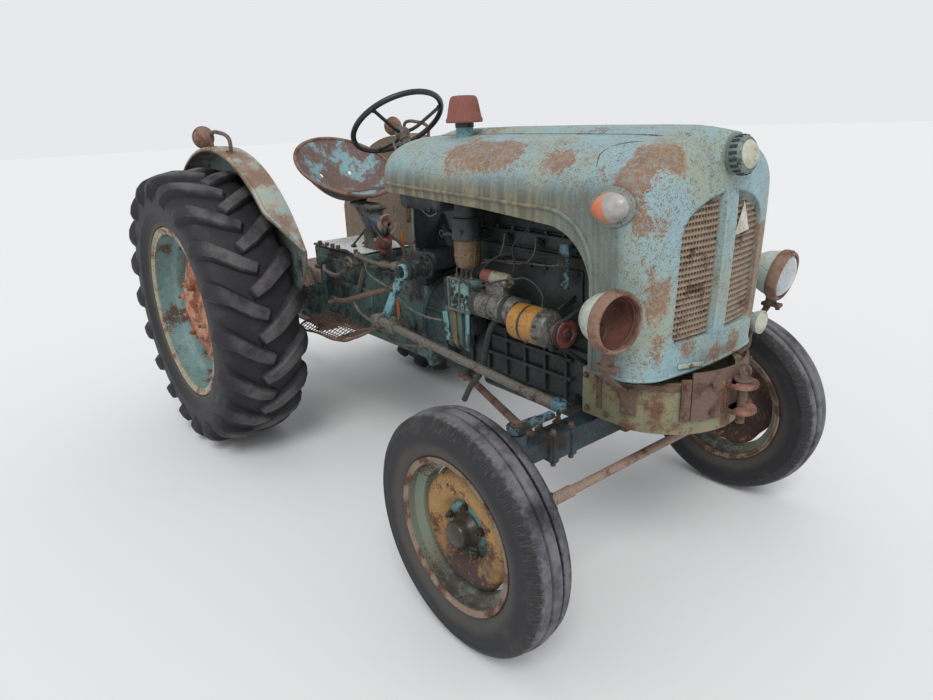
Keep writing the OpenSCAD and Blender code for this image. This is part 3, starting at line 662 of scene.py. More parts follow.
def bonnet_finish():
    """Pale blue with sandy patches and fine specks above; grey and olive runs low on the walls."""
    material, tree, shader = surface("chalky blue bonnet paint", 0.6)
    place = tree.nodes.new("ShaderNodeTexCoord").outputs["Object"]
    split = tree.nodes.new("ShaderNodeSeparateXYZ")
    tree.links.new(place, split.inputs[0])
    x, z = split.outputs["X"], split.outputs["Z"]
    slow, mid = noise(tree, place, 3.4, 4, 0.6), noise(tree, place, 17, 5, 0.7)
    fine, dots = noise(tree, place, 75, 4, 0.75), noise(tree, place, 240, 3, 0.7)
    runs = noise(tree, place, 30, 4, 0.65, stretch=(1, 1, 0.07))

    def shifted(value, source, amount):
        return plus(tree, value, times(tree, minus(tree, source, 0.5), amount))

    paint_now = mix_colour(tree, step_up(tree, shifted(slow, fine, 0.3), 0.38, 0.62),
                           colour(*tone(142, 172, 178)), colour(*tone(150, 160, 146)))
    low_wall = times(tree, step_up(tree, shifted(z, slow, 0.16), 1.45, 1.34),
                         step_up(tree, shifted(x, mid, 0.10), 1.425, 1.340))
    wall = mix_colour(tree, step_up(tree, runs, 0.36, 0.64), colour(*tone(112, 122, 112)),
                      colour(*tone(82, 86, 78)))
    now = mix_colour(tree, times(tree, low_wall, 0.86), paint_now, wall)
    hem = times(tree, step_up(tree, shifted(z, runs, 0.10), 1.405, 1.335),
                step_up(tree, shifted(x, mid, 0.2), 1.26, 0.95))
    hem_colour = mix_colour(tree, step_up(tree, runs, 0.40, 0.60), colour(*tone(138, 128, 98)),
                            colour(*tone(96, 94, 76)))
    now = mix_colour(tree, times(tree, hem, 0.80), now, hem_colour)
    field = math_node(tree, "MINIMUM", patch_field(tree, BONNET_RUST), 1.15)
    sandy = shifted(shifted(field, mid, 1.3), fine, 1.2)
    sandy = step_up(tree, shifted(sandy, dots, 0.9), 0.42, 0.84)
    sand_colour = mix_colour(tree, step_up(tree, shifted(dots, fine, 0.5), 0.36, 0.66),
                             colour(*tone(118, 86, 64)), colour(*tone(168, 128, 98)))
    ragged = step_up(tree, shifted(fine, dots, 0.7), 0.38, 0.56)
    ragged = plus(tree, 0.50, times(tree, ragged, 0.46))
    now = mix_colour(tree, times(tree, sandy, ragged), now, sand_colour)
    specks = step_up(tree, shifted(shifted(dots, mid, 0.35), fine, 0.45), 0.545, 0.61)
    now = mix_colour(tree, times(tree, specks, 0.80), now, colour(*tone(112, 88, 70)))
    tree.links.new(now, shader.inputs["Base Color"])
    rough = plus(tree, 0.56, times(tree, sandy, 0.28))
    tree.links.new(rough, shader.inputs["Roughness"])
    rise = plus(tree, times(tree, dots, 0.5), times(tree, specks, -0.5))
    bump(tree, shader, rise, 0.0011, 0.6)
    return material


bonnet_paint = bonnet_finish()
panel_blue = weathered("blue panel paint", tone(112, 154, 160), tone(92, 146, 156), tone(104, 84, 66),
                       tone(58, 50, 44), tone(60, 62, 58), rust_cover=0.46, dirt_cover=0.48, scale=7,
                       streaks=0.25)
seat_paint = weathered("worn seat paint", tone(112, 160, 172), tone(136, 160, 158), tone(130, 108, 102),
                       tone(98, 80, 76), DUST, rust_cover=0.66, dirt_cover=0.12, scale=8, streaks=0.0,
                       paint_roughness=0.45)
guard_paint = weathered("mudguard paint", tone(146, 168, 164), tone(172, 162, 138), tone(158, 130, 112),
                        tone(122, 98, 84), GRIME, rust_cover=0.60, dirt_cover=0.30, scale=5, streaks=0.1,
                        paint_roughness=0.6)
guard_inside = weathered("mudguard inner side", tone(104, 124, 122), tone(126, 138, 130), tone(86, 66, 54),
                         tone(44, 38, 36), tone(40, 40, 38), rust_cover=0.42, dirt_cover=0.42, scale=9,
                         streaks=0.3)
rim_paint = weathered("rear rim paint", tone(96, 138, 142), tone(132, 152, 144), tone(118, 88, 66),
                      tone(62, 48, 42), DUST, rust_cover=0.46, dirt_cover=0.42, scale=7, streaks=0.1)
rim_edge = weathered("rim edge", tone(164, 158, 136), tone(136, 132, 112), tone(132, 92, 68), DEEP_RUST, DUST,
                     rust_cover=0.46, dirt_cover=0.3, scale=11, streaks=0.0, paint_roughness=0.6)
disc_rust = weathered("rusty wheel disc", tone(168, 112, 84), tone(186, 150, 130), tone(158, 92, 60),
                      tone(112, 66, 44), tone(84, 66, 56), rust_cover=0.5, dirt_cover=0.25, scale=8,
                      streaks=0.1, paint_roughness=0.7)
front_flange = weathered("front rim flange", tone(126, 106, 92), tone(138, 120, 104), tone(112, 80, 62),
                         tone(74, 50, 40), tone(88, 74, 60), rust_cover=0.55, dirt_cover=0.3, scale=16,
                         streaks=0.0, paint_roughness=0.75)
front_well = weathered("front rim well", tone(106, 124, 112), tone(122, 118, 92), tone(112, 82, 58),
                       tone(66, 50, 44), tone(62, 54, 50), rust_cover=0.40, dirt_cover=0.25, scale=7,
                       streaks=0.0, grime=[((1.15, -0.733, 0.17), 0.17, 1.0),
                                           ((1.15, 0.733, 0.17), 0.17, 1.0)])
front_disc = weathered("front disc ochre", tone(168, 124, 66), tone(140, 116, 78), tone(128, 86, 54),
                       tone(70, 48, 38), tone(66, 50, 46), rust_cover=0.44, dirt_cover=0.3, scale=12,
                       streaks=0.0, paint_roughness=0.6,
                       grime=[((1.17, -0.733, 0.21), 0.17, 1.4), ((1.17, 0.733, 0.30), 0.30, 1.4)])
hub_oil = weathered("oily hub", tone(46, 42, 38), tone(66, 58, 44), tone(88, 60, 44), tone(40, 30, 26), OIL,
                    rust_cover=0.4, dirt_cover=0.5, scale=16, streaks=0.0, paint_roughness=0.32)
flange_paint = weathered("hub flange paint", tone(86, 138, 138), tone(78, 112, 108), tone(74, 54, 44),
                         tone(38, 30, 28), OIL, rust_cover=0.50, dirt_cover=0.35, scale=13, streaks=0.0,
                         grime=[((1.15, -0.72, 0.30), 0.12, 1.3), ((1.15, 0.72, 0.30), 0.12, 1.3)])
rusty_steel = weathered("rusty bare steel", tone(112, 90, 78), tone(98, 82, 72), tone(122, 90, 70),
                        tone(72, 56, 48), tone(66, 58, 52), rust_cover=0.5, dirt_cover=0.35, scale=18,
                        streaks=0.0, paint_roughness=0.75)
cast_blue = weathered("oily blue casting", tone(46, 70, 72), tone(62, 88, 88), tone(76, 60, 48),
                      tone(40, 34, 32), tone(30, 32, 32), rust_cover=0.42, dirt_cover=0.70, scale=9,
                      streaks=0.1)
cast_dark = weathered("dark oily casting", tone(36, 42, 42), tone(56, 64, 62), tone(78, 64, 52),
                      tone(36, 30, 28), tone(24, 25, 26), rust_cover=0.34, dirt_cover=0.5, scale=11,
                      streaks=0.0, paint_roughness=0.55)
bolster_paint = weathered("bolster paint", tone(138, 128, 92), tone(122, 136, 116), tone(132, 96, 70),
                          tone(92, 68, 54), GRIME, rust_cover=0.56, dirt_cover=0.25, scale=8, streaks=0.15,
                          paint_roughness=0.65)
dull_steel = weathered("dull steel", tone(106, 100, 90), tone(88, 86, 80), tone(104, 82, 66),
                       tone(62, 52, 46), tone(60, 58, 54), rust_cover=0.42, dirt_cover=0.35, scale=14,
                       streaks=0.0, paint_roughness=0.42)
cream_enamel = weathered("cream lamp enamel", tone(190, 192, 176), tone(160, 176, 170), tone(140, 96, 66),
                         DEEP_RUST, tone(110, 106, 92), rust_cover=0.36, dirt_cover=0.25, scale=12,
                         streaks=0.2, paint_roughness=0.4)
lamp_rim_rust = weathered("rusty lamp rim", tone(138, 108, 92), tone(122, 98, 84), tone(134, 98, 78),
                          tone(90, 66, 54), tone(90, 72, 60), rust_cover=0.55, dirt_cover=0.2, scale=16,
                          streaks=0.0, paint_roughness=0.7)
lamp_inside = weathered("rust inside the lamp", tone(98, 62, 52), tone(110, 70, 56), tone(118, 76, 58),
                        tone(60, 40, 36), tone(52, 34, 32), rust_cover=0.4, dirt_cover=0.35, scale=12,
                        streaks=0.1, paint_roughness=0.6)
louvre_tan = weathered("louvre bars", tone(158, 138, 120), tone(136, 120, 104), tone(134, 102, 78),
                       tone(84, 64, 52), tone(86, 76, 66), rust_cover=0.42, dirt_cover=0.3, scale=16,
                       streaks=0.2, paint_roughness=0.6)
black_wheel = weathered("black steering wheel", tone(30, 31, 33), tone(40, 41, 42), tone(46, 44, 42),
                        tone(26, 26, 26), tone(60, 58, 54), rust_cover=0.2, dirt_cover=0.15, scale=14,
                        streaks=0.0, paint_roughness=0.38, depth=0.0006)
print(len(bpy.data.materials), "materials")

# %% [markdown]
# ## Rubber
# A worn farm tyre is nearly black on its walls, and the ground has rubbed its tread to a lighter grey. The
# group measures how far a point lies from the axle, so the tread's top, the dusty ring beside the rim and
# the fine cracks that run out from the axle each fall where they belong.

# %% The rubber group
rubber, given, out = group("worn_rubber",
                           [("Axle", "Vector", (0, 0, 0)), ("Tread Start", "Float", 0.66),
                            ("Tread End", "Float", 0.70), ("Rim", "Float", 0.43),
                            ("Crack Radius", "Float", 0.37), ("Cracks", "Float", 0.0),
                            ("Black", "Color", WHITE), ("Worn Tread", "Color", WHITE),
                            ("Dust", "Color", WHITE)],
                           [("Color", "Color"), ("Roughness", "Float"), ("Height", "Float")])
place = rubber.nodes.new("ShaderNodeTexCoord").outputs["Object"]
from_axle = rubber.nodes.new("ShaderNodeVectorMath")
from_axle.operation = "SUBTRACT"
rubber.links.new(place, from_axle.inputs[0])
rubber.links.new(given["Axle"], from_axle.inputs[1])
split = rubber.nodes.new("ShaderNodeSeparateXYZ")
rubber.links.new(from_axle.outputs[0], split.inputs[0])
reach = math_node(rubber, "SQRT", plus(rubber, math_node(rubber, "POWER", math_node(
    rubber, "ABSOLUTE", split.outputs["X"]), 2), math_node(rubber, "POWER", math_node(
        rubber, "ABSOLUTE", split.outputs["Z"]), 2)))
bearing = math_node(rubber, "ARCTAN2", split.outputs["Z"], split.outputs["X"])
coarse = noise(rubber, place, 9, 4, 0.65)
fine = noise(rubber, place, 70, 4, 0.7)
tread = step_up(rubber, plus(rubber, reach, times(rubber, math_node(
    rubber, "SUBTRACT", fine, 0.5), 0.02)), given["Tread Start"], given["Tread End"])
tread = times(rubber, tread, step_up(rubber, coarse, 0.25, 0.62))
tread_colour = mix_colour(rubber, tread, given["Black"], given["Worn Tread"])
ring_dust = step_up(rubber, plus(rubber, reach, times(rubber, math_node(
    rubber, "SUBTRACT", coarse, 0.5), 0.05)), plus(rubber, given["Rim"], 0.055),
    plus(rubber, given["Rim"], 0.015))
low_dust = step_up(rubber, plus(rubber, times(rubber, coarse, 0.7),
                                     times(rubber, fine, 0.3)), 0.50, 0.72)
dusty = math_node(rubber, "ADD", times(rubber, ring_dust, 0.38),
                  times(rubber, low_dust, 0.25), clamp=True)
with_dust = mix_colour(rubber, dusty, tread_colour, given["Dust"])
polar = rubber.nodes.new("ShaderNodeCombineXYZ")
rubber.links.new(times(rubber, bearing, 42), polar.inputs[0])
rubber.links.new(times(rubber, reach, 9), polar.inputs[1])
lines = noise(rubber, polar.outputs[0], 1.6, 2, 0.5)
hair = step_up(rubber, math_node(rubber, "ABSOLUTE", minus(rubber, lines, 0.5)), 0.022, 0.006)
band = math_node(rubber, "ABSOLUTE", minus(rubber, reach, given["Crack Radius"]))
cracks = times(rubber, times(rubber, hair, step_up(rubber, band, 0.026, 0.012)),
                   given["Cracks"])
rubber.links.new(mix_colour(rubber, times(rubber, cracks, 0.6), with_dust, given["Dust"]), out["Color"])
rubber.links.new(plus(rubber, 0.62, times(rubber, dusty, 0.3)), out["Roughness"])
rubber_grain = plus(rubber, times(rubber, fine, 0.5), times(rubber, coarse, 0.8))
rubber.links.new(minus(rubber, rubber_grain, cracks), out["Height"])


def tyre_rubber(name, axle, tread_start, tread_end, rim, crack_radius, cracks, black, worn):
    material, tree, shader = surface(name)
    node = tree.nodes.new("ShaderNodeGroup")
    node.node_tree = rubber
    node.inputs["Axle"].default_value = axle
    for key, value in (("Tread Start", tread_start), ("Tread End", tread_end), ("Rim", rim),
                       ("Crack Radius", crack_radius), ("Cracks", cracks)):
        node.inputs[key].default_value = value
    for key, value in (("Black", black), ("Worn Tread", worn), ("Dust", tone(104, 100, 92))):
        node.inputs[key].default_value = colour(*value)
    tree.links.new(node.outputs["Color"], shader.inputs["Base Color"])
    tree.links.new(node.outputs["Roughness"], shader.inputs["Roughness"])
    shader.inputs["Specular IOR Level"].default_value = 0.35
    bump(tree, shader, node.outputs["Height"], 0.003, 0.5)
    return material


rear_rubber = tyre_rubber("rear tyre rubber", (RX, 0, REAR_RADIUS), 0.672, 0.696, 0.43, 0.6, 0.0,
                          tone(42, 41, 44), tone(92, 89, 90))
front_rubber = tyre_rubber("front tyre rubber", (FX, 0, FRONT_RADIUS), 0.381, 0.389, 0.262, 0.372, 1.0,
                           tone(40, 40, 43), tone(112, 111, 116))

# %% [markdown]
# ## Rear tyres
# A drive tyre bites with tall bars that meet in a chevron. The casing is one profile spun about the axle.
# One bar is shaped flat, as if cut from a slab, and then wrapped round the casing's curve, over the
# shoulder; the other thirty-nine are its copies.

# %% Rear casing
LUGS = 20
CASING = [(0.412, 0.150), (0.434, 0.154), (0.440, 0.168), (0.452, 0.172), (0.462, 0.171), (0.480, 0.184),
          (0.505, 0.194), (0.508, 0.197), (0.516, 0.197), (0.519, 0.197), (0.552, 0.200), (0.585, 0.198),
          (0.612, 0.190), (0.632, 0.178), (0.645, 0.160), (0.656, 0.110), (0.663, 0.050), (0.665, 0.0)]
casing_profile = [(r, -w) for r, w in CASING] + [(r, w) for r, w in reversed(CASING[:-1])] + [(0.412, -0.150)]


def on_casing(across, rise):
    """Where a point of a flat bar comes to lie: radius and distance out, for its way across and its rise."""
    line = [Vector((w, r)) for r, w in reversed(CASING[8:])]
    left = across
    for start, end in zip(line, line[1:]):
        step = (end - start).length
        if left <= step or end is line[-1]:
            along = (end - start) / step
            spot = start + along * left + Vector((-along.y, along.x)) * rise
            return spot.y, spot.x
        left -= step


# %% One tread bar
# Stations of a bar: way across, lead along the tread, half width, rise
BAR = [(-0.036, -0.030, 0.020, -0.004), (-0.020, -0.018, 0.027, 0.026), (0.045, 0.018, 0.030, 0.037),
       (0.100, 0.062, 0.032, 0.037), (0.150, 0.104, 0.035, 0.037), (0.185, 0.132, 0.038, 0.035),
       (0.212, 0.150, 0.039, 0.030), (0.232, 0.160, 0.036, 0.018), (0.250, 0.166, 0.030, 0.002)]


def tread_bar():
    """A slab drawn out through the stations, with a rounded top, and wrapped on the casing."""
    bpy.ops.mesh.primitive_grid_add(x_subdivisions=2 * (len(BAR) - 1), y_subdivisions=6, size=1)
    sheet = bpy.context.object
    # the section runs up one flank, over the top and down the other
    section = [(-1.45, -0.35), (-1.12, 0.55), (-0.86, 0.93), (0, 1.0), (0.86, 0.93), (1.12, 0.55),
               (1.45, -0.35)]
    for vertex in sheet.data.vertices:
        s = (vertex.co.x + 0.5) * (len(BAR) - 1)
        i = min(int(s), len(BAR) - 2)
        f = s - i
        across, lead, half, rise = (a + (b - a) * f for a, b in zip(BAR[i], BAR[i + 1]))
        side, high = section[round((vertex.co.y + 0.5) * 6)]
        vertex.co = (lead + side * half * 0.85, across - side * half * 0.45, high * rise)
    only(sheet)
    bpy.ops.object.mode_set(mode="EDIT")
    bpy.ops.mesh.select_all(action="DESELECT")
    bpy.ops.mesh.select_non_manifold()
    bpy.ops.mesh.edge_face_add()
    bpy.ops.mesh.select_all(action="SELECT")
    bpy.ops.mesh.normals_make_consistent(inside=False)
    bpy.ops.object.mode_set(mode="OBJECT")
    for vertex in sheet.data.vertices:
        lead, across, rise = vertex.co
        mirrored = across < 0
        radius, out_way = on_casing(abs(across), rise)
        turn = lead / 0.68
        vertex.co = (radius * math.sin(turn), -out_way if mirrored else out_way, -radius * math.cos(turn))
    return sheet


def rear_tyre(name, centre, body, node):
    parts = [turned(casing_profile, (0, 0, 0), 120)]
    bar = tread_bar()
    other = copy_of(bar, Matrix.Diagonal((1, -1, 1, 1)))
    pitch = 360 / LUGS
    for i in range(LUGS):
        parts.append(copy_of(bar, Matrix.Rotation(math.radians(-i * pitch), 4, "Y")))
        parts.append(copy_of(other, Matrix.Rotation(math.radians(-(i + 0.5) * pitch), 4, "Y")))
    for spare in (bar, other):
        bpy.data.objects.remove(spare)
    tyre = piece(name, parts, body, rear_rubber, "tyre_rubber", node, angle=42)
    tyre.data.transform(Matrix.Translation(centre))
    return tyre


rear_tyre("rear_tyre_right_worn", middle("rear_tyre_right"), "rear_wheel_right", "rear_tyre_right")
rear_tyre("rear_tyre_left_worn", middle("rear_tyre_left"), "rear_wheel_left", "rear_tyre_left")

# %% [markdown]
# ## Rear wheels
# A rolled steel rim with stepped bead seats carries a dished disc, and eight nuts hold the disc on the
# axle's hub. Each is one profile spun about the axle.

# %% Rear rim, disc and hub
def rear_wheel(side, body, node):
    centre = middle(node.replace("wheel", "tyre"))
    out_axis = Vector((0, side, 0))

    def ring(profile):
        return turned(profile, centre, 96, out_axis)

    rim = ring([(0.404, 0.152), (0.4035, 0.080), (0.398, 0.070), (0.386, 0.064), (0.384, 0.056),
                (0.384, -0.050), (0.386, -0.058), (0.398, -0.066), (0.404, -0.080), (0.404, -0.152),
                (0.397, -0.160), (0.3965, -0.072), (0.391, -0.062), (0.378, -0.052), (0.377, 0.050),
                (0.380, 0.058), (0.391, 0.067), (0.3965, 0.080), (0.3965, 0.154), (0.404, 0.152)])
    edges = []
    for way in (1, -1):
        edges.append(ring([(0.3975, way * 0.150), (0.404, way * 0.151), (0.418, way * 0.1515),
                           (0.424, way * 0.156), (0.431, way * 0.1575), (0.4345, way * 0.162),
                           (0.432, way * 0.168), (0.425, way * 0.1695), (0.417, way * 0.165),
                           (0.412, way * 0.1605), (0.3985, way * 0.160), (0.3975, way * 0.150)]))
    disc = ring([(0.378, 0.006), (0.366, 0.004), (0.348, 0.000), (0.330, 0.004), (0.296, 0.030),
                 (0.262, 0.050), (0.226, 0.064), (0.198, 0.070), (0.165, 0.072), (0.165, 0.064),
                 (0.198, 0.062), (0.226, 0.056), (0.260, 0.042), (0.294, 0.022), (0.330, -0.006),
                 (0.348, -0.010), (0.378, -0.004), (0.378, 0.006)])
    hub = ring([(0.176, 0.058), (0.176, 0.074), (0.168, 0.082), (0.165, 0.092), (0.158, 0.096),
                (0.112, 0.096), (0.104, 0.090), (0.092, 0.090), (0.084, 0.096), (0.066, 0.098),
                (0.060, 0.104), (0.056, 0.114), (0.046, 0.120), (0.020, 0.122), (0.0, 0.122)])
    drum_back = ring([(0.130, 0.056), (0.130, -0.020), (0.118, -0.034), (0.108, -0.040), (0.096, -0.060),
                      (0.060, -0.066), (0.040, -0.070), (0.034, -0.080), (0.034, -0.195), (0.0, -0.195)])
    nuts, studs = [], []
    for i in range(8):
        angle = math.radians(22.5 + i * 45)
        spot = centre + Vector((0.137 * math.cos(angle), side * 0.096, 0.137 * math.sin(angle)))
        nuts.append(hexagon(spot, out_axis, 0.031, 0.022))
        studs.append(drum(spot, spot + out_axis * 0.034, 0.0088, edge=0.0012, sides=16))
    for i in range(4):
        angle = math.radians(12 + i * 90)
        spot = centre + Vector((0.232 * math.cos(angle), side * 0.061, 0.232 * math.sin(angle)))
        nuts.append(hexagon(spot, out_axis, 0.022, 0.013))
    valve = [drum(centre + Vector((0.375 * math.cos(2.2), side * 0.045, 0.375 * math.sin(2.2))),
                  centre + Vector((0.345 * math.cos(2.2), side * 0.058, 0.345 * math.sin(2.2))), 0.0045,
                  0.001, 12)]
    long_stud = drum(centre + Vector((-0.172, side * 0.07, -0.03)),
                     centre + Vector((-0.172, side * 0.128, -0.03)), 0.008, 0.0015, 12)
    paint_all(edges, rim_edge)
    paint_all([disc, hub] + nuts, disc_rust)
    paint_all(studs + valve + [long_stud, drum_back], rusty_steel)
    return piece("rear_wheel_%s_dressed" % side_name(side),
                 [rim] + edges + [disc, hub, drum_back] + nuts + studs + valve + [long_stud],
                 body, rim_paint, "wheel_paint", node)


rear_wheel(-1, "rear_wheel_right", "rear_wheel_right")
rear_wheel(1, "rear_wheel_left", "rear_wheel_left")

# %% [markdown]
# ## Front tyres
# A steering tyre has no bars. It runs on broad smooth ribs round its edge, with one deep groove and a
# shallower one between them, which hold it straight in a furrow. One spun profile gives it all.

# %% Front tyres
SIDEWALL = [(0.243, 0.054), (0.256, 0.0565), (0.259, 0.060), (0.268, 0.066), (0.290, 0.0765),
            (0.312, 0.0800), (0.330, 0.0805), (0.350, 0.0775), (0.353, 0.0785), (0.356, 0.0775),
            (0.368, 0.0715), (0.3765, 0.0655)]
ROAD_RIBS = [(0.3785, -0.0625), (0.3845, -0.0560), (0.3885, -0.0420), (0.3900, -0.0290), (0.3895, -0.0230),
             (0.3860, -0.0205), (0.3845, -0.0185), (0.3880, -0.0165), (0.3920, -0.0150), (0.3940, -0.0080),
             (0.3940, 0.0060), (0.3930, 0.0140), (0.3870, 0.0175), (0.3760, 0.0195), (0.3740, 0.0225),
             (0.3755, 0.0255), (0.3870, 0.0280), (0.3900, 0.0320), (0.3880, 0.0430), (0.3840, 0.0560),
             (0.3780, 0.0625)]
FRONT_TYRE = [(r, -w) for r, w in SIDEWALL] + ROAD_RIBS + SIDEWALL[::-1] + [(0.243, -0.054)]


def front_tyre(side, body, node):
    tyre = turned([(r, -w) for r, w in FRONT_TYRE], middle(node), 128, Vector((0, side, 0)))
    return piece("%s_ribbed" % node, [tyre], body, front_rubber, "tyre_rubber", node, angle=30)


front_tyre(-1, "front_wheel_right", "front_tyre_right")
front_tyre(1, "front_wheel_left", "front_tyre_left")

# %% [markdown]
# ## Front wheels
# The front rim is a deep well with a rolled flange. Its dished disc is riveted in, and the cut edge of the
# disc waves in and out between the rivets, so the spun disc's rim is notched afterwards.

# %% Front rim, disc and hub
def front_wheel(side, body, node):
    centre = middle(node.replace("wheel", "tyre"))
    out_axis = Vector((0, side, 0))

    def ring(profile, steps=96):
        return turned(profile, centre, steps, out_axis)

    well = ring([(0.2405, 0.0555), (0.240, 0.030), (0.234, 0.022), (0.214, 0.012), (0.212, 0.006),
                 (0.212, -0.022), (0.216, -0.030), (0.236, -0.036), (0.240, -0.044), (0.2405, -0.0555),
                 (0.2355, -0.056), (0.2350, -0.042), (0.231, -0.038), (0.210, -0.030), (0.2065, -0.022),
                 (0.2065, 0.008), (0.209, 0.016), (0.229, 0.026), (0.2350, 0.034), (0.2355, 0.056),
                 (0.2405, 0.0555)])
    edges = []
    for way in (1, -1):
        edges.append(ring([(0.2355, way * 0.0550), (0.241, way * 0.0562), (0.249, way * 0.0566),
                           (0.253, way * 0.0575), (0.2568, way * 0.0605), (0.2562, way * 0.0645),
                           (0.2520, way * 0.0662), (0.2475, way * 0.0640), (0.2440, way * 0.0612),
                           (0.2368, way * 0.0602), (0.2355, way * 0.0550)]))
    disc = ring([(0.204, -0.004), (0.192, 0.010), (0.178, 0.020), (0.150, 0.026), (0.122, 0.022),
                 (0.106, 0.010), (0.096, -0.006), (0.086, -0.014), (0.052, -0.016), (0.052, -0.022),
                 (0.088, -0.020), (0.100, -0.012), (0.111, 0.004), (0.126, 0.016), (0.150, 0.020),
                 (0.175, 0.014), (0.188, 0.004), (0.198, -0.010), (0.204, -0.004)])
    for vertex in disc.data.vertices:
        flat = Vector((vertex.co.x - centre.x, 0, vertex.co.z - centre.z))
        if flat.length > 0.186:
            angle = math.atan2(flat.z, flat.x)
            wave = 0.5 + 0.5 * math.cos(6 * angle + 0.8)
            pull = 1 - 0.055 * (1 - wave) ** 2 * (flat.length - 0.186) / 0.018
            vertex.co.x = centre.x + flat.x * pull
            vertex.co.z = centre.z + flat.z * pull
    hub = ring([(0.070, -0.070), (0.070, -0.030), (0.084, -0.024), (0.084, -0.010), (0.078, -0.004),
                (0.060, 0.000), (0.054, 0.008), (0.047, 0.022), (0.045, 0.030), (0.044, 0.044),
                (0.040, 0.052), (0.030, 0.059), (0.012, 0.063), (0.0, 0.064)])
    flange = ring([(0.094, -0.014), (0.094, -0.006), (0.088, 0.001), (0.074, 0.002), (0.062, -0.004),
                   (0.062, -0.014), (0.094, -0.014)], 64)
    nuts = []
    for i in range(5):
        angle = math.radians(20 + i * 72)
        spot = centre + Vector((0.078 * math.cos(angle), side * 0.001, 0.078 * math.sin(angle)))
        nuts.append(hexagon(spot, out_axis, 0.024, 0.016))
        nuts.append(drum(spot, spot + out_axis * 0.026, 0.006, 0.001, 12))
    rivets = []
    for i in range(12):
        angle = math.radians(10 + i * 30)
        spot = centre + Vector((0.176 * math.cos(angle), side * 0.0175, 0.176 * math.sin(angle)))
        rivets.append(ball(spot, 0.0065, (1, 0.6, 1), 12))
    holes = []
    for angle in (1.95, 3.55, 5.1, 0.5):
        spot = centre + Vector((0.152 * math.cos(angle), side * 0.0262, 0.152 * math.sin(angle)))
        holes.append(drum(spot - out_axis * 0.004, spot + out_axis * 0.0004, 0.0065, 0, 16))
    valve = drum(centre + Vector((0.208 * math.cos(1.9), side * 0.014, 0.208 * math.sin(1.9))),
                 centre + Vector((0.192 * math.cos(1.9), side * 0.040, 0.192 * math.sin(1.9))), 0.0042,
                 0.001, 12)
    paint_all(edges, front_flange)
    paint_all([disc] + rivets, front_disc)
    paint_all([hub] + nuts + holes, hub_oil)
    paint(flange, flange_paint)
    paint(valve, dull_steel)
    return piece("front_wheel_%s_dressed" % side_name(side),
                 [well] + edges + [disc, hub, flange] + nuts + rivets + holes + [valve],
                 body, front_well, "wheel_paint", node)


front_wheel(-1, "front_wheel_right", "front_wheel_right")
front_wheel(1, "front_wheel_left", "front_wheel_left")

# %% [markdown]
# ## The bonnet
# The bonnet is one pressed sheet: nearly upright walls that round over to a low crown, a domed tail over
# the steering column and a blunt nose. Here it is a flat grid laid round the outline of the tractor's
# front and pulled in over the crown, as a sheet is pressed over a former. Then it gets its thickness,
# and the openings for the engine, the front arch, the grilles and the column are cut out.

# %% The bonnet's outline and crown
NOSE = FX + 0.364
TAIL = NOSE - 1.570
WALL = 0.330
SHOULDER = 1.348
SPINE_REAR, SPINE_FRONT = TAIL + 0.33, FX + 0.175


def crown_top(x):
    """Height of the crown's middle line, without the raised band."""
    points = [(-0.2, 1.500), (0.06, 1.514), (0.34, 1.526), (0.63, 1.532), (1.02, 1.534), (1.25, 1.533),
              (1.40, 1.527)]
    for (x0, z0), (x1, z1) in zip(points, points[1:]):
        if x <= x1:
            return z0 + (z1 - z0) * max(x - x0, 0) / (x1 - x0)
    return points[-1][1]


def half_outline():
    """Plan points from the middle of the tail to the middle of the nose, evenly spread."""
    rough = []
    for i in range(61):
        u = i / 60
        dome = math.sqrt(max(0, 1 - (1 - u) ** 2))
        rough.append(Vector((TAIL + 0.33 * u, WALL * dome * (0.965 + 0.035 * u))))
    corner = 0.12
    rough.append(Vector((NOSE - 0.018 - corner, WALL)))
    for i in range(1, 17):
        a = i / 16 * math.pi / 2
        rough.append(Vector((NOSE - 0.018 - corner + corner * math.sin(a),
                             WALL - corner + corner * math.cos(a))))
    for i in range(1, 13):
        y = (WALL - corner) * (1 - i / 12)
        rough.append(Vector((NOSE - 0.018 * (y / (WALL - corner)) ** 2, y)))
    lengths = [0]
    for a, b in zip(rough, rough[1:]):
        lengths.append(lengths[-1] + (b - a).length)
    even, count = [], 110
    j = 0
    for i in range(count + 1):
        goal = lengths[-1] * i / count
        while j < len(rough) - 2 and lengths[j + 1] < goal:
            j += 1
        f = (goal - lengths[j]) / max(lengths[j + 1] - lengths[j], 1e-9)
        even.append(rough[j].lerp(rough[j + 1], min(max(f, 0), 1)))
    return even


HALF_OUTLINE = half_outline()
WALL_LEVELS = [0.842, 0.90, 0.96, 1.02, 1.08, 1.14, 1.20, 1.26, 1.31, SHOULDER]
CROWN_STEPS = 15


def skin(point, level):
    """A point of the sheet over an outline point: level 0 to 9 up the wall, then over the crown."""
    x, y = point
    if level < len(WALL_LEVELS):
        z = WALL_LEVELS[level]
        front = min(max((x - 1.10) / 0.30, 0), 1)
        low = max((1.30 - z) / 0.46, 0)
        return Vector((x - 0.020 * front * low ** 1.6, y * (1 - 0.022 * front * low ** 1.5), z))
    a = (level - len(WALL_LEVELS) + 1) / CROWN_STEPS * math.pi / 2
    spine = min(max(x, SPINE_REAR), SPINE_FRONT)
    pull, lift = max(math.cos(a), 0) ** 0.66, math.sin(a) ** 0.8
    if a > math.pi / 2 - 1e-6:
        pull = 0
    return Vector((spine + (x - spine) * pull, y * pull, SHOULDER + (crown_top(spine) - SHOULDER) * lift))


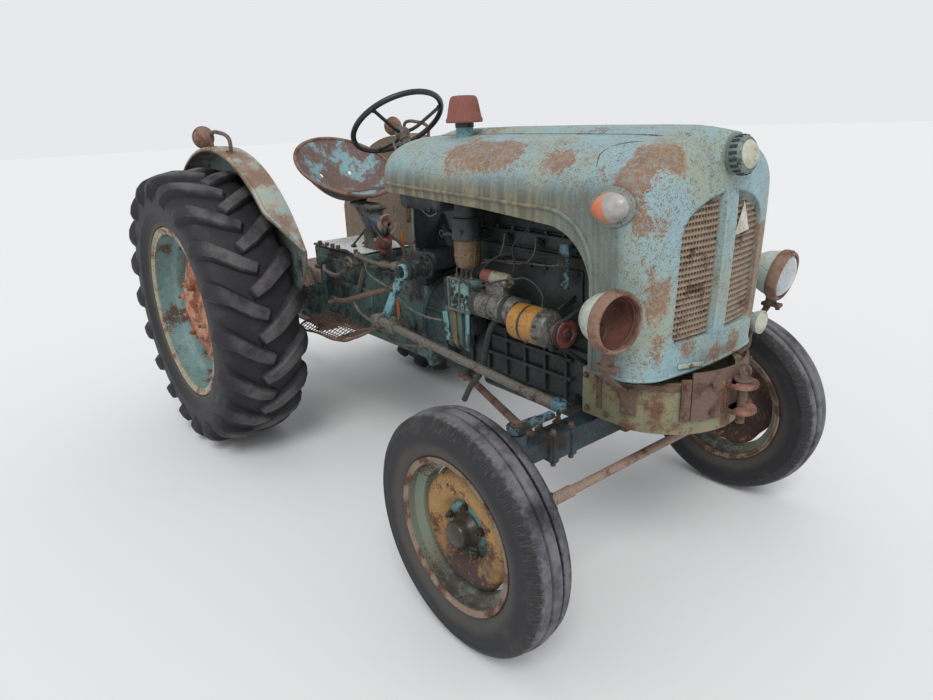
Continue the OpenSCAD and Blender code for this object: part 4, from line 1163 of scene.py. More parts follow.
def skin_at(x, y):
    """Height of the crown over a place in plan."""
    spine = min(max(x, SPINE_REAR), SPINE_FRONT)
    if abs(x - spine) < 1e-6:
        pull = abs(y) / WALL
    else:
        reach = (NOSE - 0.018 * min(1, (y / 0.21) ** 2) - SPINE_FRONT) if x > spine else SPINE_REAR - TAIL
        pull = math.hypot((x - spine) / reach, y / WALL)
    pull = min(pull, 1)
    a = math.acos(pull ** (1 / 0.66))
    return SHOULDER + (crown_top(spine) - SHOULDER) * math.sin(a) ** 0.8


def nose_at(y, z):
    """How far forward the nose's face is at a place across and up."""
    low = max((1.30 - z) / 0.46, 0)
    y = abs(y)
    x = NOSE - 0.018 * min(1, y / 0.21) ** 2
    if y > 0.21:
        x = NOSE - 0.138 + math.sqrt(max(0.12 ** 2 - (y - 0.21) ** 2, 0))
    if z > SHOULDER:
        lift = min((z - SHOULDER) / (crown_top(1.32) - SHOULDER), 1)
        a = math.asin(lift ** (1 / 0.8))
        x = SPINE_FRONT + (x - SPINE_FRONT) * math.cos(a) ** 0.66
    return x - 0.020 * low ** 1.6


# %% Press the sheet
LEVELS = len(WALL_LEVELS) + CROWN_STEPS
loop = [Vector((p.x, -p.y)) for p in HALF_OUTLINE] + [Vector((p.x, p.y)) for p in reversed(HALF_OUTLINE[:-1])]
bpy.ops.mesh.primitive_grid_add(x_subdivisions=len(loop) - 1, y_subdivisions=LEVELS - 1, size=1)
bonnet = bpy.context.object
for vertex in bonnet.data.vertices:
    i = round((vertex.co.x + 0.5) * (len(loop) - 1))
    level = round((vertex.co.y + 0.5) * (LEVELS - 1))
    vertex.co = skin(loop[i], level)
face_outwards(bonnet, 0.0004)
apply_modifier(bonnet, "SOLIDIFY", thickness=0.004, offset=-1, use_even_offset=False)
print("pressed sheet", len(bonnet.data.polygons), "faces")


# %% [markdown]
# ### Cutting the openings
# Each opening is a flat outline drawn out to a solid and taken away from the sheet. The outline is filled
# and extruded in edit mode.

# %% A cutter from an outline
def prism(outline, direction, edge=0.0):
    """Fills a closed outline of points and draws it out along a direction."""
    obj = from_faces("prism", [tuple(p) for p in outline], [tuple(range(len(outline)))])
    only(obj)
    bpy.ops.object.mode_set(mode="EDIT")
    bpy.ops.mesh.select_all(action="SELECT")
    bpy.ops.mesh.extrude_region_move(TRANSFORM_OT_translate={"value": tuple(direction)})
    bpy.ops.mesh.select_all(action="SELECT")
    bpy.ops.mesh.normals_make_consistent(inside=False)
    bpy.ops.object.mode_set(mode="OBJECT")
    return soften(obj, edge) if edge else obj


def cut(obj, cutter):
    apply_modifier(obj, "BOOLEAN", object=cutter, operation="DIFFERENCE", solver="EXACT")
    bpy.data.objects.remove(cutter)
    return obj


ARCH_X, ARCH_Z, ARCH_R = FX - 0.062, 1.092, 0.187
arch = [(TAIL - 0.1, 0.78), (TAIL - 0.1, 1.318), (0.30, 1.318), (0.78, 1.301), (1.00, 1.286)]
arch += [(ARCH_X + ARCH_R * math.sin(math.radians(a)), ARCH_Z + ARCH_R * math.cos(math.radians(a)))
         for a in range(0, 91, 5)]
arch += [(ARCH_X + ARCH_R, 0.78)]
cut(bonnet, prism([(x, -0.5, z) for x, z in arch], (0, 1.0, 0)))

# the grille opening: its top slants up towards the middle, and its lower outer corner is round
GRILLE = [(0.031, 0.944), (0.171, 0.944)]
GRILLE += [(0.171 + 0.036 * math.sin(math.radians(a)), 0.980 - 0.036 * math.cos(math.radians(a)))
           for a in (15, 30, 45, 60, 75)]
GRILLE += [(0.207, 0.980), (0.2055, 1.262), (0.199, 1.292), (0.182, 1.318), (0.145, 1.344), (0.098, 1.362),
           (0.031, 1.376)]
for side in (-1, 1):
    cut(bonnet, prism([(FX + 0.20, side * y, z) for y, z in GRILLE], (0.25, 0, 0)))
axis = Vector((math.sin(math.radians(36)), 0, -math.cos(math.radians(36))))
column_hub = Vector((RX + 0.765, 0, 1.573)) + axis * 0.062
cut(bonnet, drum(column_hub - axis * 0.1, column_hub + axis * 0.32, 0.028, sides=24))
print("cut sheet", len(bonnet.data.polygons), "faces")

# %% [markdown]
# ### Folded edges and the raised band
# The sheet's lower edge is rolled round a wire, which stiffens it and shows as a bead along the side and
# round the arch. On top, a raised band runs forward and turns into the socket of the nose lamp.

# %% Beads, grille lips and the band
trim = []
for side in (-1, 1):
    bead = []
    tail_points = [p for p in HALF_OUTLINE if p.x < 1.04]
    for p in tail_points[::2]:
        bead.append((p.x, side * p.y * 1.001, 1.354 - 0.026 * max(p.x - 0.2, 0) / 0.9))
    for a in range(4, 91, 6):
        x = 1.098 + 0.183 * math.sin(math.radians(a))
        z = 1.150 + 0.178 * math.cos(math.radians(a))
        bead.append((x, side * WALL * 1.001, z))
    bead += [(1.281, side * (WALL - 0.002), z) for z in (1.06, 0.96, 0.88, 0.848)]
    trim.append(pipe(bead, 0.0075, 12))
lower = [skin(p, 0) for p in HALF_OUTLINE if p.x > ARCH_X + ARCH_R]
lower_loop = [(p.x, -p.y, p.z + 0.004) for p in lower] + [(p.x, p.y, p.z + 0.004) for p in reversed(lower)]
trim.append(pipe(lower_loop, 0.0065, 8, curved=False))


def lip(side):
    """The opening's edge turned inwards: a wall that follows the nose in front and is straight behind."""
    vertices, faces = [], []
    count = len(GRILLE)
    centre = Vector((0.13, 1.15))
    for y, z in GRILLE:
        inner = Vector((y, z)) + (centre - Vector((y, z))).normalized() * 0.003
        front, deep = nose_at(y, z), nose_at(y, z) - 0.022
        vertices += [(front + 0.0012, side * y, z), (front - 0.0018, side * inner.x, inner.y),
                     (deep, side * inner.x, inner.y), (deep, side * y, z)]
    for i in range(count):
        j = (i + 1) % count
        for k in range(4):
            faces.append((4 * i + k, 4 * i + (k + 1) % 4, 4 * j + (k + 1) % 4, 4 * j + k))
    return face_outwards(from_faces("lip", vertices, faces))


trim += [lip(-1), lip(1)]
# The seam from the cheek over the nose's corner, on the left side
SEAM = [(1.268, 0.300, 1.453), (1.259, 0.285, 1.470), (1.250, 0.261, 1.489), (1.258, 0.233, 1.503),
        (1.282, 0.205, 1.513), (1.319, 0.184, 1.517), (1.363, 0.173, 1.516), (1.410, 0.138, 1.510),
        (1.452, 0.096, 1.495), (1.476, 0.067, 1.477), (1.497, 0.044, 1.447)]
for side in (-1, 1):
    seam = pipe([(x - 0.0015, side * (y - 0.0005), z - 0.0012) for x, y, z in SEAM], 0.0022, 6)
    trim.append(paint(seam, cast_dark))
# A thin dark line along each foot of the raised band: painted shade, standing for the shadow where the band
# steps up from the crown.
for side in (-1, 1):
    band_shadow_line = []
    for x in [0.26 + 0.06 * i for i in range(19)]:
        swell = min(max((x - 1.22) / 0.22, 0), 1)
        y = 0.056 + 0.012 * min(x, 1) - 0.006 * swell + 0.028 + 0.012 * swell
        band_shadow_line.append((x, side * y, skin_at(min(x, 1.47), y) + 0.0005))
    trim.append(paint(pipe(band_shadow_line, 0.0018, 6), guard_inside))
latch = flat_bar((1.488, -0.170, 0.871), (1.502, -0.060, 0.858), 0.014, 0.006, (1, -0.3, 0), 0.002)
trim += [paint(latch, cream_enamel), paint(ball((1.497, -0.118, 0.864), 0.008, (1, 1, 1), 12), rusty_steel)]


def raised_band():
    """Sections across the band from the tail to the lamp, joined in a row."""
    sections = []
    for x in (0.20, 0.24, 0.30, 0.42, 0.60, 0.80, 1.00, 1.15, 1.25, 1.32, 1.37, 1.42, 1.46, 1.49, 1.512):
        start = min(max((x - 0.20) / 0.10, 0), 1)
        swell = min(max((x - 1.22) / 0.22, 0), 1)
        half = 0.056 + 0.012 * min(x, 1) - 0.006 * swell
        rise = 0.020 * start + 0.001 + 0.004 * swell
        top = crown_top(min(x, 1.30)) + rise - 0.022 * max((x - 1.34) / 0.172, 0) ** 1.6
        row = []
        for k in range(17):
            t = k / 16 * 2 - 1
            # wide foot, steep flank, nearly flat top
            y = t * (half + 0.028 * abs(t) ** 6 + 0.012 * swell * abs(t) ** 3)
            foot = skin_at(min(x, 1.47), abs(y)) - 0.004
            if x > 1.40:
                foot = min(foot, 1.440 - 0.03 * (x - 1.40) / 0.11)
            z = foot + (top - foot) * (1 - abs(t) ** (8 - 3 * swell))
            row.append((x, y, z))
        sections.append(row)
    vertices = [p for row in sections for p in row]
    width = 17
    vertices += [(row[0][0], y, min(row[0][2], row[-1][2]) - 0.03) for row in sections
                 for y in (row[0][1], row[-1][1])]
    base = width * len(sections)
    faces = []
    for s in range(len(sections) - 1):
        for k in range(width - 1):
            faces.append((s * width + k, s * width + k + 1, (s + 1) * width + k + 1, (s + 1) * width + k))
        a, b = base + 2 * s, base + 2 * (s + 1)
        faces.append((s * width, (s + 1) * width, b, a))
        faces.append((s * width + width - 1, a + 1, b + 1, (s + 1) * width + width - 1))
        faces.append((a, b, b + 1, a + 1))
    for s in (0, len(sections) - 1):
        faces.append(tuple(s * width + k for k in range(width)) + (base + 2 * s + 1, base + 2 * s))
    return face_outwards(from_faces("band", vertices, faces))


# the bar between the grilles, slightly proud of the nose and hollowed along its middle
bar = []
for z in [0.930 + i * 0.0235 for i in range(20)]:
    for y, proud in ((-0.033, -0.012), (-0.030, 0.006), (-0.021, 0.008), (-0.014, 0.004), (0, 0.003),
                     (0.014, 0.004), (0.021, 0.008), (0.030, 0.006), (0.033, -0.012)):
        taper = min((z - 0.925) / 0.02, (1.382 - z) / 0.02, 1)
        bar.append((nose_at(y, z) + proud * taper, y, z))
strip = face_outwards(from_faces("bar", bar, [(9 * i + k, 9 * i + k + 1, 9 * i + k + 10, 9 * i + k + 9)
                                              for i in range(19) for k in range(8)]))
if strip.data.polygons[0].normal.x < 0 and strip.data.polygons[70].normal.x < 0:
    strip.data.flip_normals()
apply_modifier(strip, "SOLIDIFY", thickness=0.003, offset=-1)

for part in trim:
    if not part.data.materials:
        paint(part, bonnet_paint)
piece("bonnet_sheet", [bonnet, raised_band(), strip] + trim, "chassis", bonnet_paint, "body_paint",
      "bonnet", angle=38)

# %% Glass
def glass(name, tint, roughness, amount=0.9):
    material, tree, shader = surface(name, roughness, 0.0, tint)
    shader.inputs["Transmission Weight"].default_value = amount
    shader.inputs["IOR"].default_value = 1.45
    place = tree.nodes.new("ShaderNodeTexCoord").outputs["Object"]
    haze = step_up(tree, noise(tree, place, 24, 4, 0.7), 0.35, 0.75)
    tree.links.new(plus(tree, roughness, times(tree, haze, 0.25)), shader.inputs["Roughness"])
    tree.links.new(mix_colour(tree, times(tree, haze, 0.35), colour(*tint), colour(*tone(150, 150, 140))),
                   shader.inputs["Base Color"])
    return material


def moulded(name, main, faded, roughness=0.35):
    """Old plastic: two tones in slow clouds and a fine haze."""
    material, tree, shader = surface(name, roughness)
    place = tree.nodes.new("ShaderNodeTexCoord").outputs["Object"]
    clouds = step_up(tree, noise(tree, place, 30, 4, 0.65), 0.35, 0.68)
    tree.links.new(mix_colour(tree, clouds, colour(*main), colour(*faded)), shader.inputs["Base Color"])
    tree.links.new(plus(tree, roughness, times(tree, clouds, 0.2)), shader.inputs["Roughness"])
    bump(tree, shader, noise(tree, place, 260, 2, 0.5), 0.0005, 0.5)
    return material

# %% [markdown]
# ### Grilles
# Behind each opening stand about twenty pressed bars, and every bar has a row of small square holes under
# it. Each bar is laid along the curve of the nose, and the gaps between its teeth are the holes. A dark sheet
# close behind the bars is painted shade: it makes the holes and the gaps read as the shade inside the grille.
# A darker blue brow, painted shade under the opening's top edge, leads from the sheet down to the top bar,
# and a plain white card sticks in the left grille.

# %% Louvres
def grille_top(y):
    """Height of the opening's upper edge at a place across."""
    edge = GRILLE[8:]
    for (y0, z0), (y1, z1) in zip(edge, edge[1:]):
        if y >= y1:
            return z0 + (z1 - z0) * (y0 - y) / max(y0 - y1, 1e-6)
    return edge[-1][1]


def louvre(side, z):
    """A bar bent to a shallow hook that follows the nose across the opening."""
    section = [(-0.006, 0.0000), (0.000, 0.0010), (0.0045, 0.0030), (0.0045, 0.0075), (0.000, 0.0098),
               (-0.006, 0.0102)]
    ends = [y for y in [0.026 + 0.0092 * i for i in range(21)] if z < grille_top(y) - 0.018]
    rows = [[Vector((nose_at(y, z) - 0.017 + out, side * y, z + up)) for out, up in section] for y in ends]
    return laid_sheet(rows, 0.0012)


def comb(side, z):
    """The upright teeth between one bar's holes."""
    teeth = []
    y = 0.034
    while y < 0.206 and z < grille_top(y) - 0.018:
        teeth.append(block((nose_at(y, z) - 0.026, side * y - 0.0026, z - 0.0090),
                           (nose_at(y, z) - 0.0175, side * y + 0.0026, z + 0.001), 0))
        y += 0.0128
    return joined(teeth)


grille_parts = []
pitch = 0.0182
for side in (-1, 1):
    for i in range(23):
        for part in (louvre(side, 0.952 + i * pitch), comb(side, 0.952 + i * pitch)):
            grille_parts.append(paint(part, louvre_tan))
    # A dark sheet close behind the bars: painted shade, so the holes and the gaps between the bars read as
    # the shade inside the grille.
    grille_shade_sheet = [[Vector((nose_at(y, z) - 0.034, side * y, z))
               for y in [0.022 + 0.0096 * i for i in range(21)]]
              for z in (0.93, 1.02, 1.12, 1.22, 1.32, 1.372)]
    grille_parts.append(paint(laid_sheet(grille_shade_sheet, 0.002), cast_dark))
    # A darker blue sheet under the opening's top edge, leading down to the top bar: painted shade under the
    # overhang.
    brow_shade = [[Vector((nose_at(y, grille_top(y)) + out, side * y, grille_top(y) + up))
             for y in [0.030 + 0.0085 * i for i in range(18)]]
            for out, up in ((0.000, 0.001), (-0.008, -0.006), (-0.018, -0.022))]
    grille_parts.append(paint(laid_sheet(brow_shade, 0.002), guard_inside))
white_card = moulded("white card", tone(206, 204, 194), tone(170, 160, 142), 0.6)
card = prism([(nose_at(y, z) - 0.009, y, z) for y, z in ((0.094, 1.332), (0.051, 1.236), (0.139, 1.243))],
             (0.0015, 0, 0))
grille_parts.append(paint(card, white_card))
piece("grille_bars", grille_parts, "chassis", louvre_tan, "bare_rusty_steel", "grille")

# %% [markdown]
# ## Lamps
# The headlamps are deep enamelled bowls on bent steel arms. The right one has lost its glass and
# reflector and shows its rusty inside; the left one still has its domed lens.

# %% Lenses
clear_lens = glass("clear lamp lens", (0.82, 0.86, 0.88), 0.12, 0.55)
cream_lens = moulded("cream ribbed lens", tone(196, 194, 176), tone(168, 166, 148), 0.3)
orange_lens = moulded("orange lens", tone(206, 112, 74), tone(190, 140, 112), 0.3)
grey_lens = moulded("clear lens gone grey", tone(176, 172, 166), tone(150, 148, 146), 0.25)
ring_metal = weathered("grey lamp ring", tone(136, 138, 132), tone(112, 118, 114), tone(96, 86, 76),
                       tone(60, 56, 52), tone(78, 78, 72), rust_cover=0.36, dirt_cover=0.30, scale=18,
                       streaks=0.0, paint_roughness=0.38)
reflector = surface("lamp reflector", 0.3, 0.8, (0.6, 0.62, 0.64))[0]

# %% Headlamps
LAMP_X, LAMP_Y, LAMP_Z = FX + 0.300, 0.440, 1.035
LAMP_SHARE = 0.93


def lathe(profile, centre, steps, along):
    """A turned profile at the lamp's share of its written size."""
    return turned([(radius * LAMP_SHARE, place * LAMP_SHARE) for radius, place in profile], centre, steps,
                  along)


def headlamp(side):
    # the left lamp stands a little further in and lower, and looks down
    inset, lift, nod = (0.008, 0.012, 10) if side > 0 else (0.0, 0.034, 0)
    centre = Vector((LAMP_X - 0.020, side * (LAMP_Y - inset), LAMP_Z + lift))
    turn = Matrix.Rotation(math.radians(side * 6), 3, "Z") @ Matrix.Rotation(math.radians(nod), 3, "Y")
    forward = turn @ Vector((1, 0, 0))
    bowl = lathe([(0.0, -0.076), (0.020, -0.0745), (0.040, -0.067), (0.058, -0.052), (0.072, -0.030),
                  (0.081, -0.004), (0.086, 0.020), (0.0875, 0.032), (0.0835, 0.032), (0.077, -0.002),
                  (0.068, -0.028), (0.054, -0.048), (0.037, -0.061), (0.018, -0.068), (0.0, -0.069)],
                 centre, 64, forward)
    rim = lathe([(0.083, 0.022), (0.0895, 0.020), (0.0945, 0.026), (0.0960, 0.036), (0.0955, 0.050),
                 (0.0920, 0.060), (0.0865, 0.064), (0.0815, 0.062), (0.0800, 0.056), (0.0820, 0.046),
                 (0.083, 0.022)], centre, 64, forward)
    parts = [bowl, paint(rim, lamp_rim_rust)]
    if side < 0:
        inside = lathe([(0.082, 0.030), (0.0755, -0.001), (0.066, -0.026), (0.052, -0.045), (0.036, -0.057),
                         (0.018, -0.064), (0.0, -0.065), (0.0, -0.0655)], centre, 48, forward)
        inside.data.flip_normals()
        socket = lathe([(0.0, -0.066), (0.016, -0.062), (0.016, -0.048), (0.010, -0.044), (0.0, -0.044)],
                       centre, 24, forward)
        seat = lathe([(0.0785, 0.034), (0.0835, 0.036), (0.0835, 0.042), (0.0785, 0.044), (0.0765, 0.039),
                       (0.0785, 0.034)], centre, 48, forward)
        paint_all((inside, socket, seat), lamp_inside)
        wire = pipe([centre + forward * -0.05 + Vector((0, 0, -0.01)), centre + Vector((-0.01, 0.012, -0.03)),
                     centre + forward * 0.012 + Vector((0, -0.02, -0.05))], 0.0022, 6)
        parts += [inside, socket, seat, paint(wire, rusty_steel)]
    else:
        lens = lathe([(0.0, 0.082), (0.024, 0.080), (0.048, 0.0745), (0.068, 0.065), (0.081, 0.054),
                      (0.081, 0.050), (0.066, 0.060), (0.046, 0.070), (0.022, 0.0755), (0.0, 0.077)],
                     centre, 64, forward)
        mirror = lathe([(0.0, -0.040), (0.030, -0.030), (0.056, -0.004), (0.074, 0.030), (0.081, 0.050),
                        (0.083, 0.048), (0.075, 0.020), (0.060, -0.012), (0.034, -0.036), (0.0, -0.046)],
                       centre, 48, forward)
        parts += [paint(lens, clear_lens), paint(mirror, reflector)]
    clip = block(centre + turn @ Vector((0.028, -0.009, 0.080)),
                 centre + turn @ Vector((0.056, 0.009, 0.092)), 0.002)
    parts.append(paint(clip, rusty_steel))
    # a flat arm bent up from the bolster, with a clamp under the bowl
    y = side * 0.250
    way = [Vector((FX + 0.212, side * 0.256, 0.745)), Vector((FX + 0.214, side * 0.262, 0.790)),
           Vector((FX + 0.240, side * 0.330, 0.828)), Vector((FX + 0.268, side * 0.418, 0.890)),
           Vector((FX + 0.280, side * 0.438, 0.925)), Vector((LAMP_X - 0.008, side * 0.436, 0.982))]
    bars = [flat_bar(a, b, 0.026, 0.008, (0.35, side, -0.5), 0.002) for a, b in zip(way, way[1:])]
    arm = joined(bars + [ball(spot, 0.0085, (1, 1, 1), 12) for spot in way[1:-1]])
    foot = block((FX + 0.196, min(y + side * 0.002, y + side * 0.012), 0.704),
                 (FX + 0.229, max(y + side * 0.002, y + side * 0.012), 0.810), 0.004)
    collar = drum((LAMP_X - 0.012, side * 0.438, 0.936), (LAMP_X - 0.006, side * 0.436, 0.984), 0.019,
                  0.003, 20)
    fork = block((LAMP_X - 0.042, side * 0.440 - 0.014, 0.925),
                 (LAMP_X + 0.026, side * 0.440 + 0.014, 0.938), 0.003)
    bolts = [hexagon((LAMP_X - 0.030, side * 0.440, 0.925), (0, 0, -1), 0.016, 0.010),
             hexagon((LAMP_X + 0.014, side * 0.440, 0.925), (0, 0, -1), 0.016, 0.010),
             hexagon((FX + 0.212, y + side * 0.012, 0.722), (0, side, 0), 0.016, 0.010),
             hexagon((FX + 0.212, y + side * 0.012, 0.790), (0, side, 0), 0.016, 0.010)]
    fittings = [arm, foot, collar, fork] + bolts
    paint_all(fittings, rusty_steel)
    name = side_name(side)
    piece("headlamp_%s_bowl" % name, parts + fittings, "chassis", cream_enamel, "lamp_shell",
          "headlamp_%s" % name)


headlamp(-1)
headlamp(1)

# %% [markdown]
# ### Small lamps
# A small side lamp hangs under the left headlamp. On each cheek of the nose sits a teardrop indicator,
# orange behind and clear in front, in a double ring. The nose lamp looks forward from the raised band.

# %% Side lamp, indicators and nose lamp
side_centre = Vector((FX + 0.286, 0.360, 0.885))
shell = turned([(0.0, -0.022), (0.020, -0.020), (0.034, -0.008), (0.040, 0.008), (0.041, 0.018),
                (0.037, 0.019), (0.035, 0.008), (0.030, -0.004), (0.0, -0.014)], side_centre, 40, (1, 0, 0))
lens = turned([(0.0, 0.030), (0.016, 0.028), (0.030, 0.022), (0.038, 0.014), (0.030, 0.012), (0.0, 0.018)],
              side_centre, 40, (1, 0, 0))
stem = pipe([side_centre + Vector((-0.012, 0, -0.01)), (FX + 0.268, 0.356, 0.830), (FX + 0.262, 0.352, 0.785),
             (FX + 0.215, 0.305, 0.765), (FX + 0.162, 0.262, 0.755)], 0.0075, 8)
plate = block((FX + 0.143, 0.250, 0.730), (FX + 0.177, 0.263, 0.778), 0.003)
piece("side_lamp_cream", [shell, paint(lens, cream_lens), paint(stem, rusty_steel), paint(plate, rusty_steel),
                          paint(hexagon((FX + 0.160, 0.263, 0.742), (0, 1, 0), 0.015, 0.009), rusty_steel)],
      "chassis", cream_enamel, "lamp_shell", "side_lamp")


def teardrop(cx, cz, length, height, depth, side, squash=1.0):
    """A dome with a round rear and a drawn-out front, on the bonnet's side."""
    bpy.ops.mesh.primitive_uv_sphere_add(segments=40, ring_count=20, radius=1)
    obj = bpy.context.object
    for vertex in obj.data.vertices:
        x, y, z = vertex.co
        front = 1 - 0.28 * max(-x, 0) ** 2
        vertex.co = (cx + x * length / 2, side * (WALL + 0.002 + max(y, -0.12) * depth * squash),
                     cz + z * height / 2 * front + 0.006 * x)
    if side < 0:
        obj.data.flip_normals()
    return smooth(obj, 60)


for side in (-1, 1):
    cx, cz = FX + 0.202, 1.352
    outer = teardrop(cx, cz, 0.164, 0.116, 0.010, side)
    inner = teardrop(cx, cz, 0.150, 0.102, 0.020, side)
    dome = teardrop(cx, cz, 0.136, 0.088, 0.044, side)
    half = dome.copy()
    half.data = dome.data.copy()
    bpy.context.collection.objects.link(half)
    for obj, keep_front in ((dome, True), (half, False)):
        only(obj)
        bpy.ops.object.mode_set(mode="EDIT")
        bpy.ops.mesh.select_all(action="SELECT")
        bpy.ops.mesh.bisect(plane_co=(cx + 0.004, 0, cz), plane_no=(1, 0, 0.25), clear_inner=keep_front,
                            clear_outer=not keep_front, use_fill=True)
        bpy.ops.mesh.select_all(action="SELECT")
        bpy.ops.mesh.normals_make_consistent(inside=False)
        bpy.ops.object.mode_set(mode="OBJECT")
    name = side_name(side)
    nodes = ("indicators",) if side > 0 else ()
    piece("indicator_%s" % name, [paint(outer, ring_metal), paint(inner, ring_metal), paint(dome, grey_lens),
                                  paint(half, orange_lens)],
          "chassis", orange_lens, "lamp_lens", *nodes, angle=50)

lamp_axis = Vector((math.sin(math.radians(82)), 0, math.cos(math.radians(82)))).normalized()
nose_centre = Vector((1.547, 0, 1.474))
bezel = turned([(0.0, -0.050), (0.050, -0.050), (0.0535, -0.020), (0.054, -0.004), (0.051, 0.006),
                (0.045, 0.012), (0.041, 0.010), (0.040, 0.000), (0.0, 0.0)], nose_centre, 48, lamp_axis)
fins = []
for i in range(18):
    fin = block((-0.020, -0.0045, 0.0500), (0.002, 0.0045, 0.0562), 0.001)
    fin.data.transform(Matrix.Translation(nose_centre) @ Matrix.Rotation(math.radians(-8), 4, "Y")
                       @ Matrix.Rotation(math.radians(i * 20), 4, "X"))
    fins.append(fin)
lens = turned([(0.0, 0.0275), (0.018, 0.0265), (0.031, 0.022), (0.040, 0.012), (0.041, 0.002),
               (0.0, 0.004)], nose_centre, 48, lamp_axis)
eye = turned([(0.012, 0.0262), (0.014, 0.0290), (0.018, 0.0288), (0.020, 0.0250), (0.012, 0.0262)],
             nose_centre, 32, lamp_axis)
piece("nose_lamp_round",
      [paint(bezel, guard_inside)] + fins + [paint(lens, cream_lens), paint(eye, cream_lens)], "chassis",
      cast_dark, "lamp_shell", "nose_lamp")

# %% [markdown]
# ## Driver's end: finishes
# The fittings behind the bonnet have their own finishes, most of them a pale blue that has chipped down to
# dark oil.

# %% More finishes
speckled_blue = weathered("chipped pale blue", tone(128, 172, 178), tone(100, 144, 152), tone(66, 62, 58),
                          tone(30, 31, 33), tone(58, 62, 62), rust_cover=0.44, dirt_cover=0.22, scale=17,
                          streaks=0.0)
teal_case = weathered("oily teal casing", tone(66, 100, 98), tone(98, 112, 104), tone(88, 76, 66),
                      tone(44, 42, 40), tone(44, 46, 44), rust_cover=0.50, dirt_cover=0.60, scale=8,
                      streaks=0.15)
flaked_blue = weathered("flaking blue over oil", tone(88, 128, 138), tone(70, 100, 108), tone(60, 56, 50),
                        tone(32, 32, 32), tone(42, 44, 42), rust_cover=0.58, dirt_cover=0.40, scale=16,
                        streaks=0.0)
pink_dust = weathered("pink dusty rust", tone(158, 132, 118), tone(134, 118, 106), tone(134, 98, 84),
                      tone(84, 62, 54), tone(112, 100, 88), rust_cover=0.40, dirt_cover=0.35, scale=11,
                      streaks=0.0, paint_roughness=0.8)
white_sheet = weathered("white sheet", tone(226, 228, 228), tone(206, 208, 204), tone(150, 140, 124),
                        tone(96, 88, 76), tone(150, 148, 140), rust_cover=0.10, dirt_cover=0.12, scale=9,
                        streaks=0.0)
tan_bowl = weathered("tan oily bowl", tone(124, 98, 70), tone(100, 84, 64), tone(92, 64, 42),
                     tone(48, 38, 30), OIL, rust_cover=0.36, dirt_cover=0.34, scale=16, streaks=0.2,
                     paint_roughness=0.45)
yellow_band = weathered("yellow enamel", tone(184, 132, 58), tone(152, 108, 50), tone(104, 78, 50),
                        tone(56, 46, 36), OIL, rust_cover=0.36, dirt_cover=0.42, scale=20, streaks=0.0,
                        paint_roughness=0.4)
maroon = weathered("maroon paint", tone(108, 60, 52), tone(128, 78, 66), tone(90, 64, 50), tone(46, 34, 32),
                   GRIME, rust_cover=0.32, dirt_cover=0.28, scale=18, streaks=0.0)
orange_paint = weathered("orange paint", tone(184, 104, 46), tone(160, 96, 56), tone(120, 76, 46),
                         DEEP_RUST, GRIME, rust_cover=0.24, dirt_cover=0.24, scale=20, streaks=0.0)
coil_blue = weathered("blue-black coil", tone(52, 66, 78), tone(74, 88, 98), tone(66, 62, 58),
                      tone(30, 30, 32), OIL, rust_cover=0.25, dirt_cover=0.3, scale=22, streaks=0.0,
                      paint_roughness=0.4)
bright_metal = weathered("scuffed silver casting", tone(112, 110, 104), tone(72, 70, 66), tone(80, 72, 64),
                         tone(46, 43, 40), tone(44, 43, 41), rust_cover=0.42, dirt_cover=0.52, scale=15,
                         streaks=0.0, paint_roughness=0.34)
dull_cream = weathered("dull cream canister", tone(150, 144, 122), tone(124, 120, 102), tone(104, 84, 66),
                       tone(60, 50, 44), tone(72, 68, 58), rust_cover=0.44, dirt_cover=0.45, scale=20,
                       streaks=0.0, paint_roughness=0.45)
belt_rubber = weathered("belt rubber", tone(34, 34, 36), tone(48, 48, 50), tone(58, 54, 50),
                        tone(28, 28, 28), GRIME, rust_cover=0.2, dirt_cover=0.2, scale=30, streaks=0.0,
                        paint_roughness=0.75, depth=0.0006)
tank_dark = weathered("dark tank paint", tone(52, 52, 58), tone(74, 76, 78), tone(84, 66, 56),
                      tone(40, 34, 32), tone(38, 36, 36), rust_cover=0.30, dirt_cover=0.3, scale=6,
                      streaks=0.2, paint_roughness=0.42)
red_paint = weathered("faded red jaws", tone(132, 82, 72), tone(146, 112, 100), tone(122, 86, 68),
                      tone(78, 56, 46), tone(96, 84, 74), rust_cover=0.58, dirt_cover=0.25, scale=16,
                      streaks=0.0, paint_roughness=0.7)


# %% Knobs
def knob(centre, radius=0.022):
    return ball(centre, radius, (1, 1, 1.1), 16)


# %% [markdown]
# ## Mudguards
# Each mudguard is a domed band with a rolled outer lip that tapers like a leaf to its front end, riveted to
# a flat inner plate. The plate has a fold near its front edge, as in the photo.

# %% Mudguards
GUARD_R, GUARD_IN, GUARD_OUT = 0.785, 0.4965, 0.620
GUARD_SECTION = [(0.0, -0.003), (0.02, 0.0), (0.15, 0.0035), (0.35, 0.006), (0.60, 0.0065), (0.78, 0.004),
                 (0.86, 0.000), (0.90, 0.004), (0.95, 0.0065), (0.985, 0.004), (1.0, -0.003), (0.99, -0.010)]


def guard_place(side, degrees, radius, across):
    a = math.radians(degrees)
    return Vector((RX + radius * math.cos(a), side * across, REAR_RADIUS + radius * math.sin(a)))


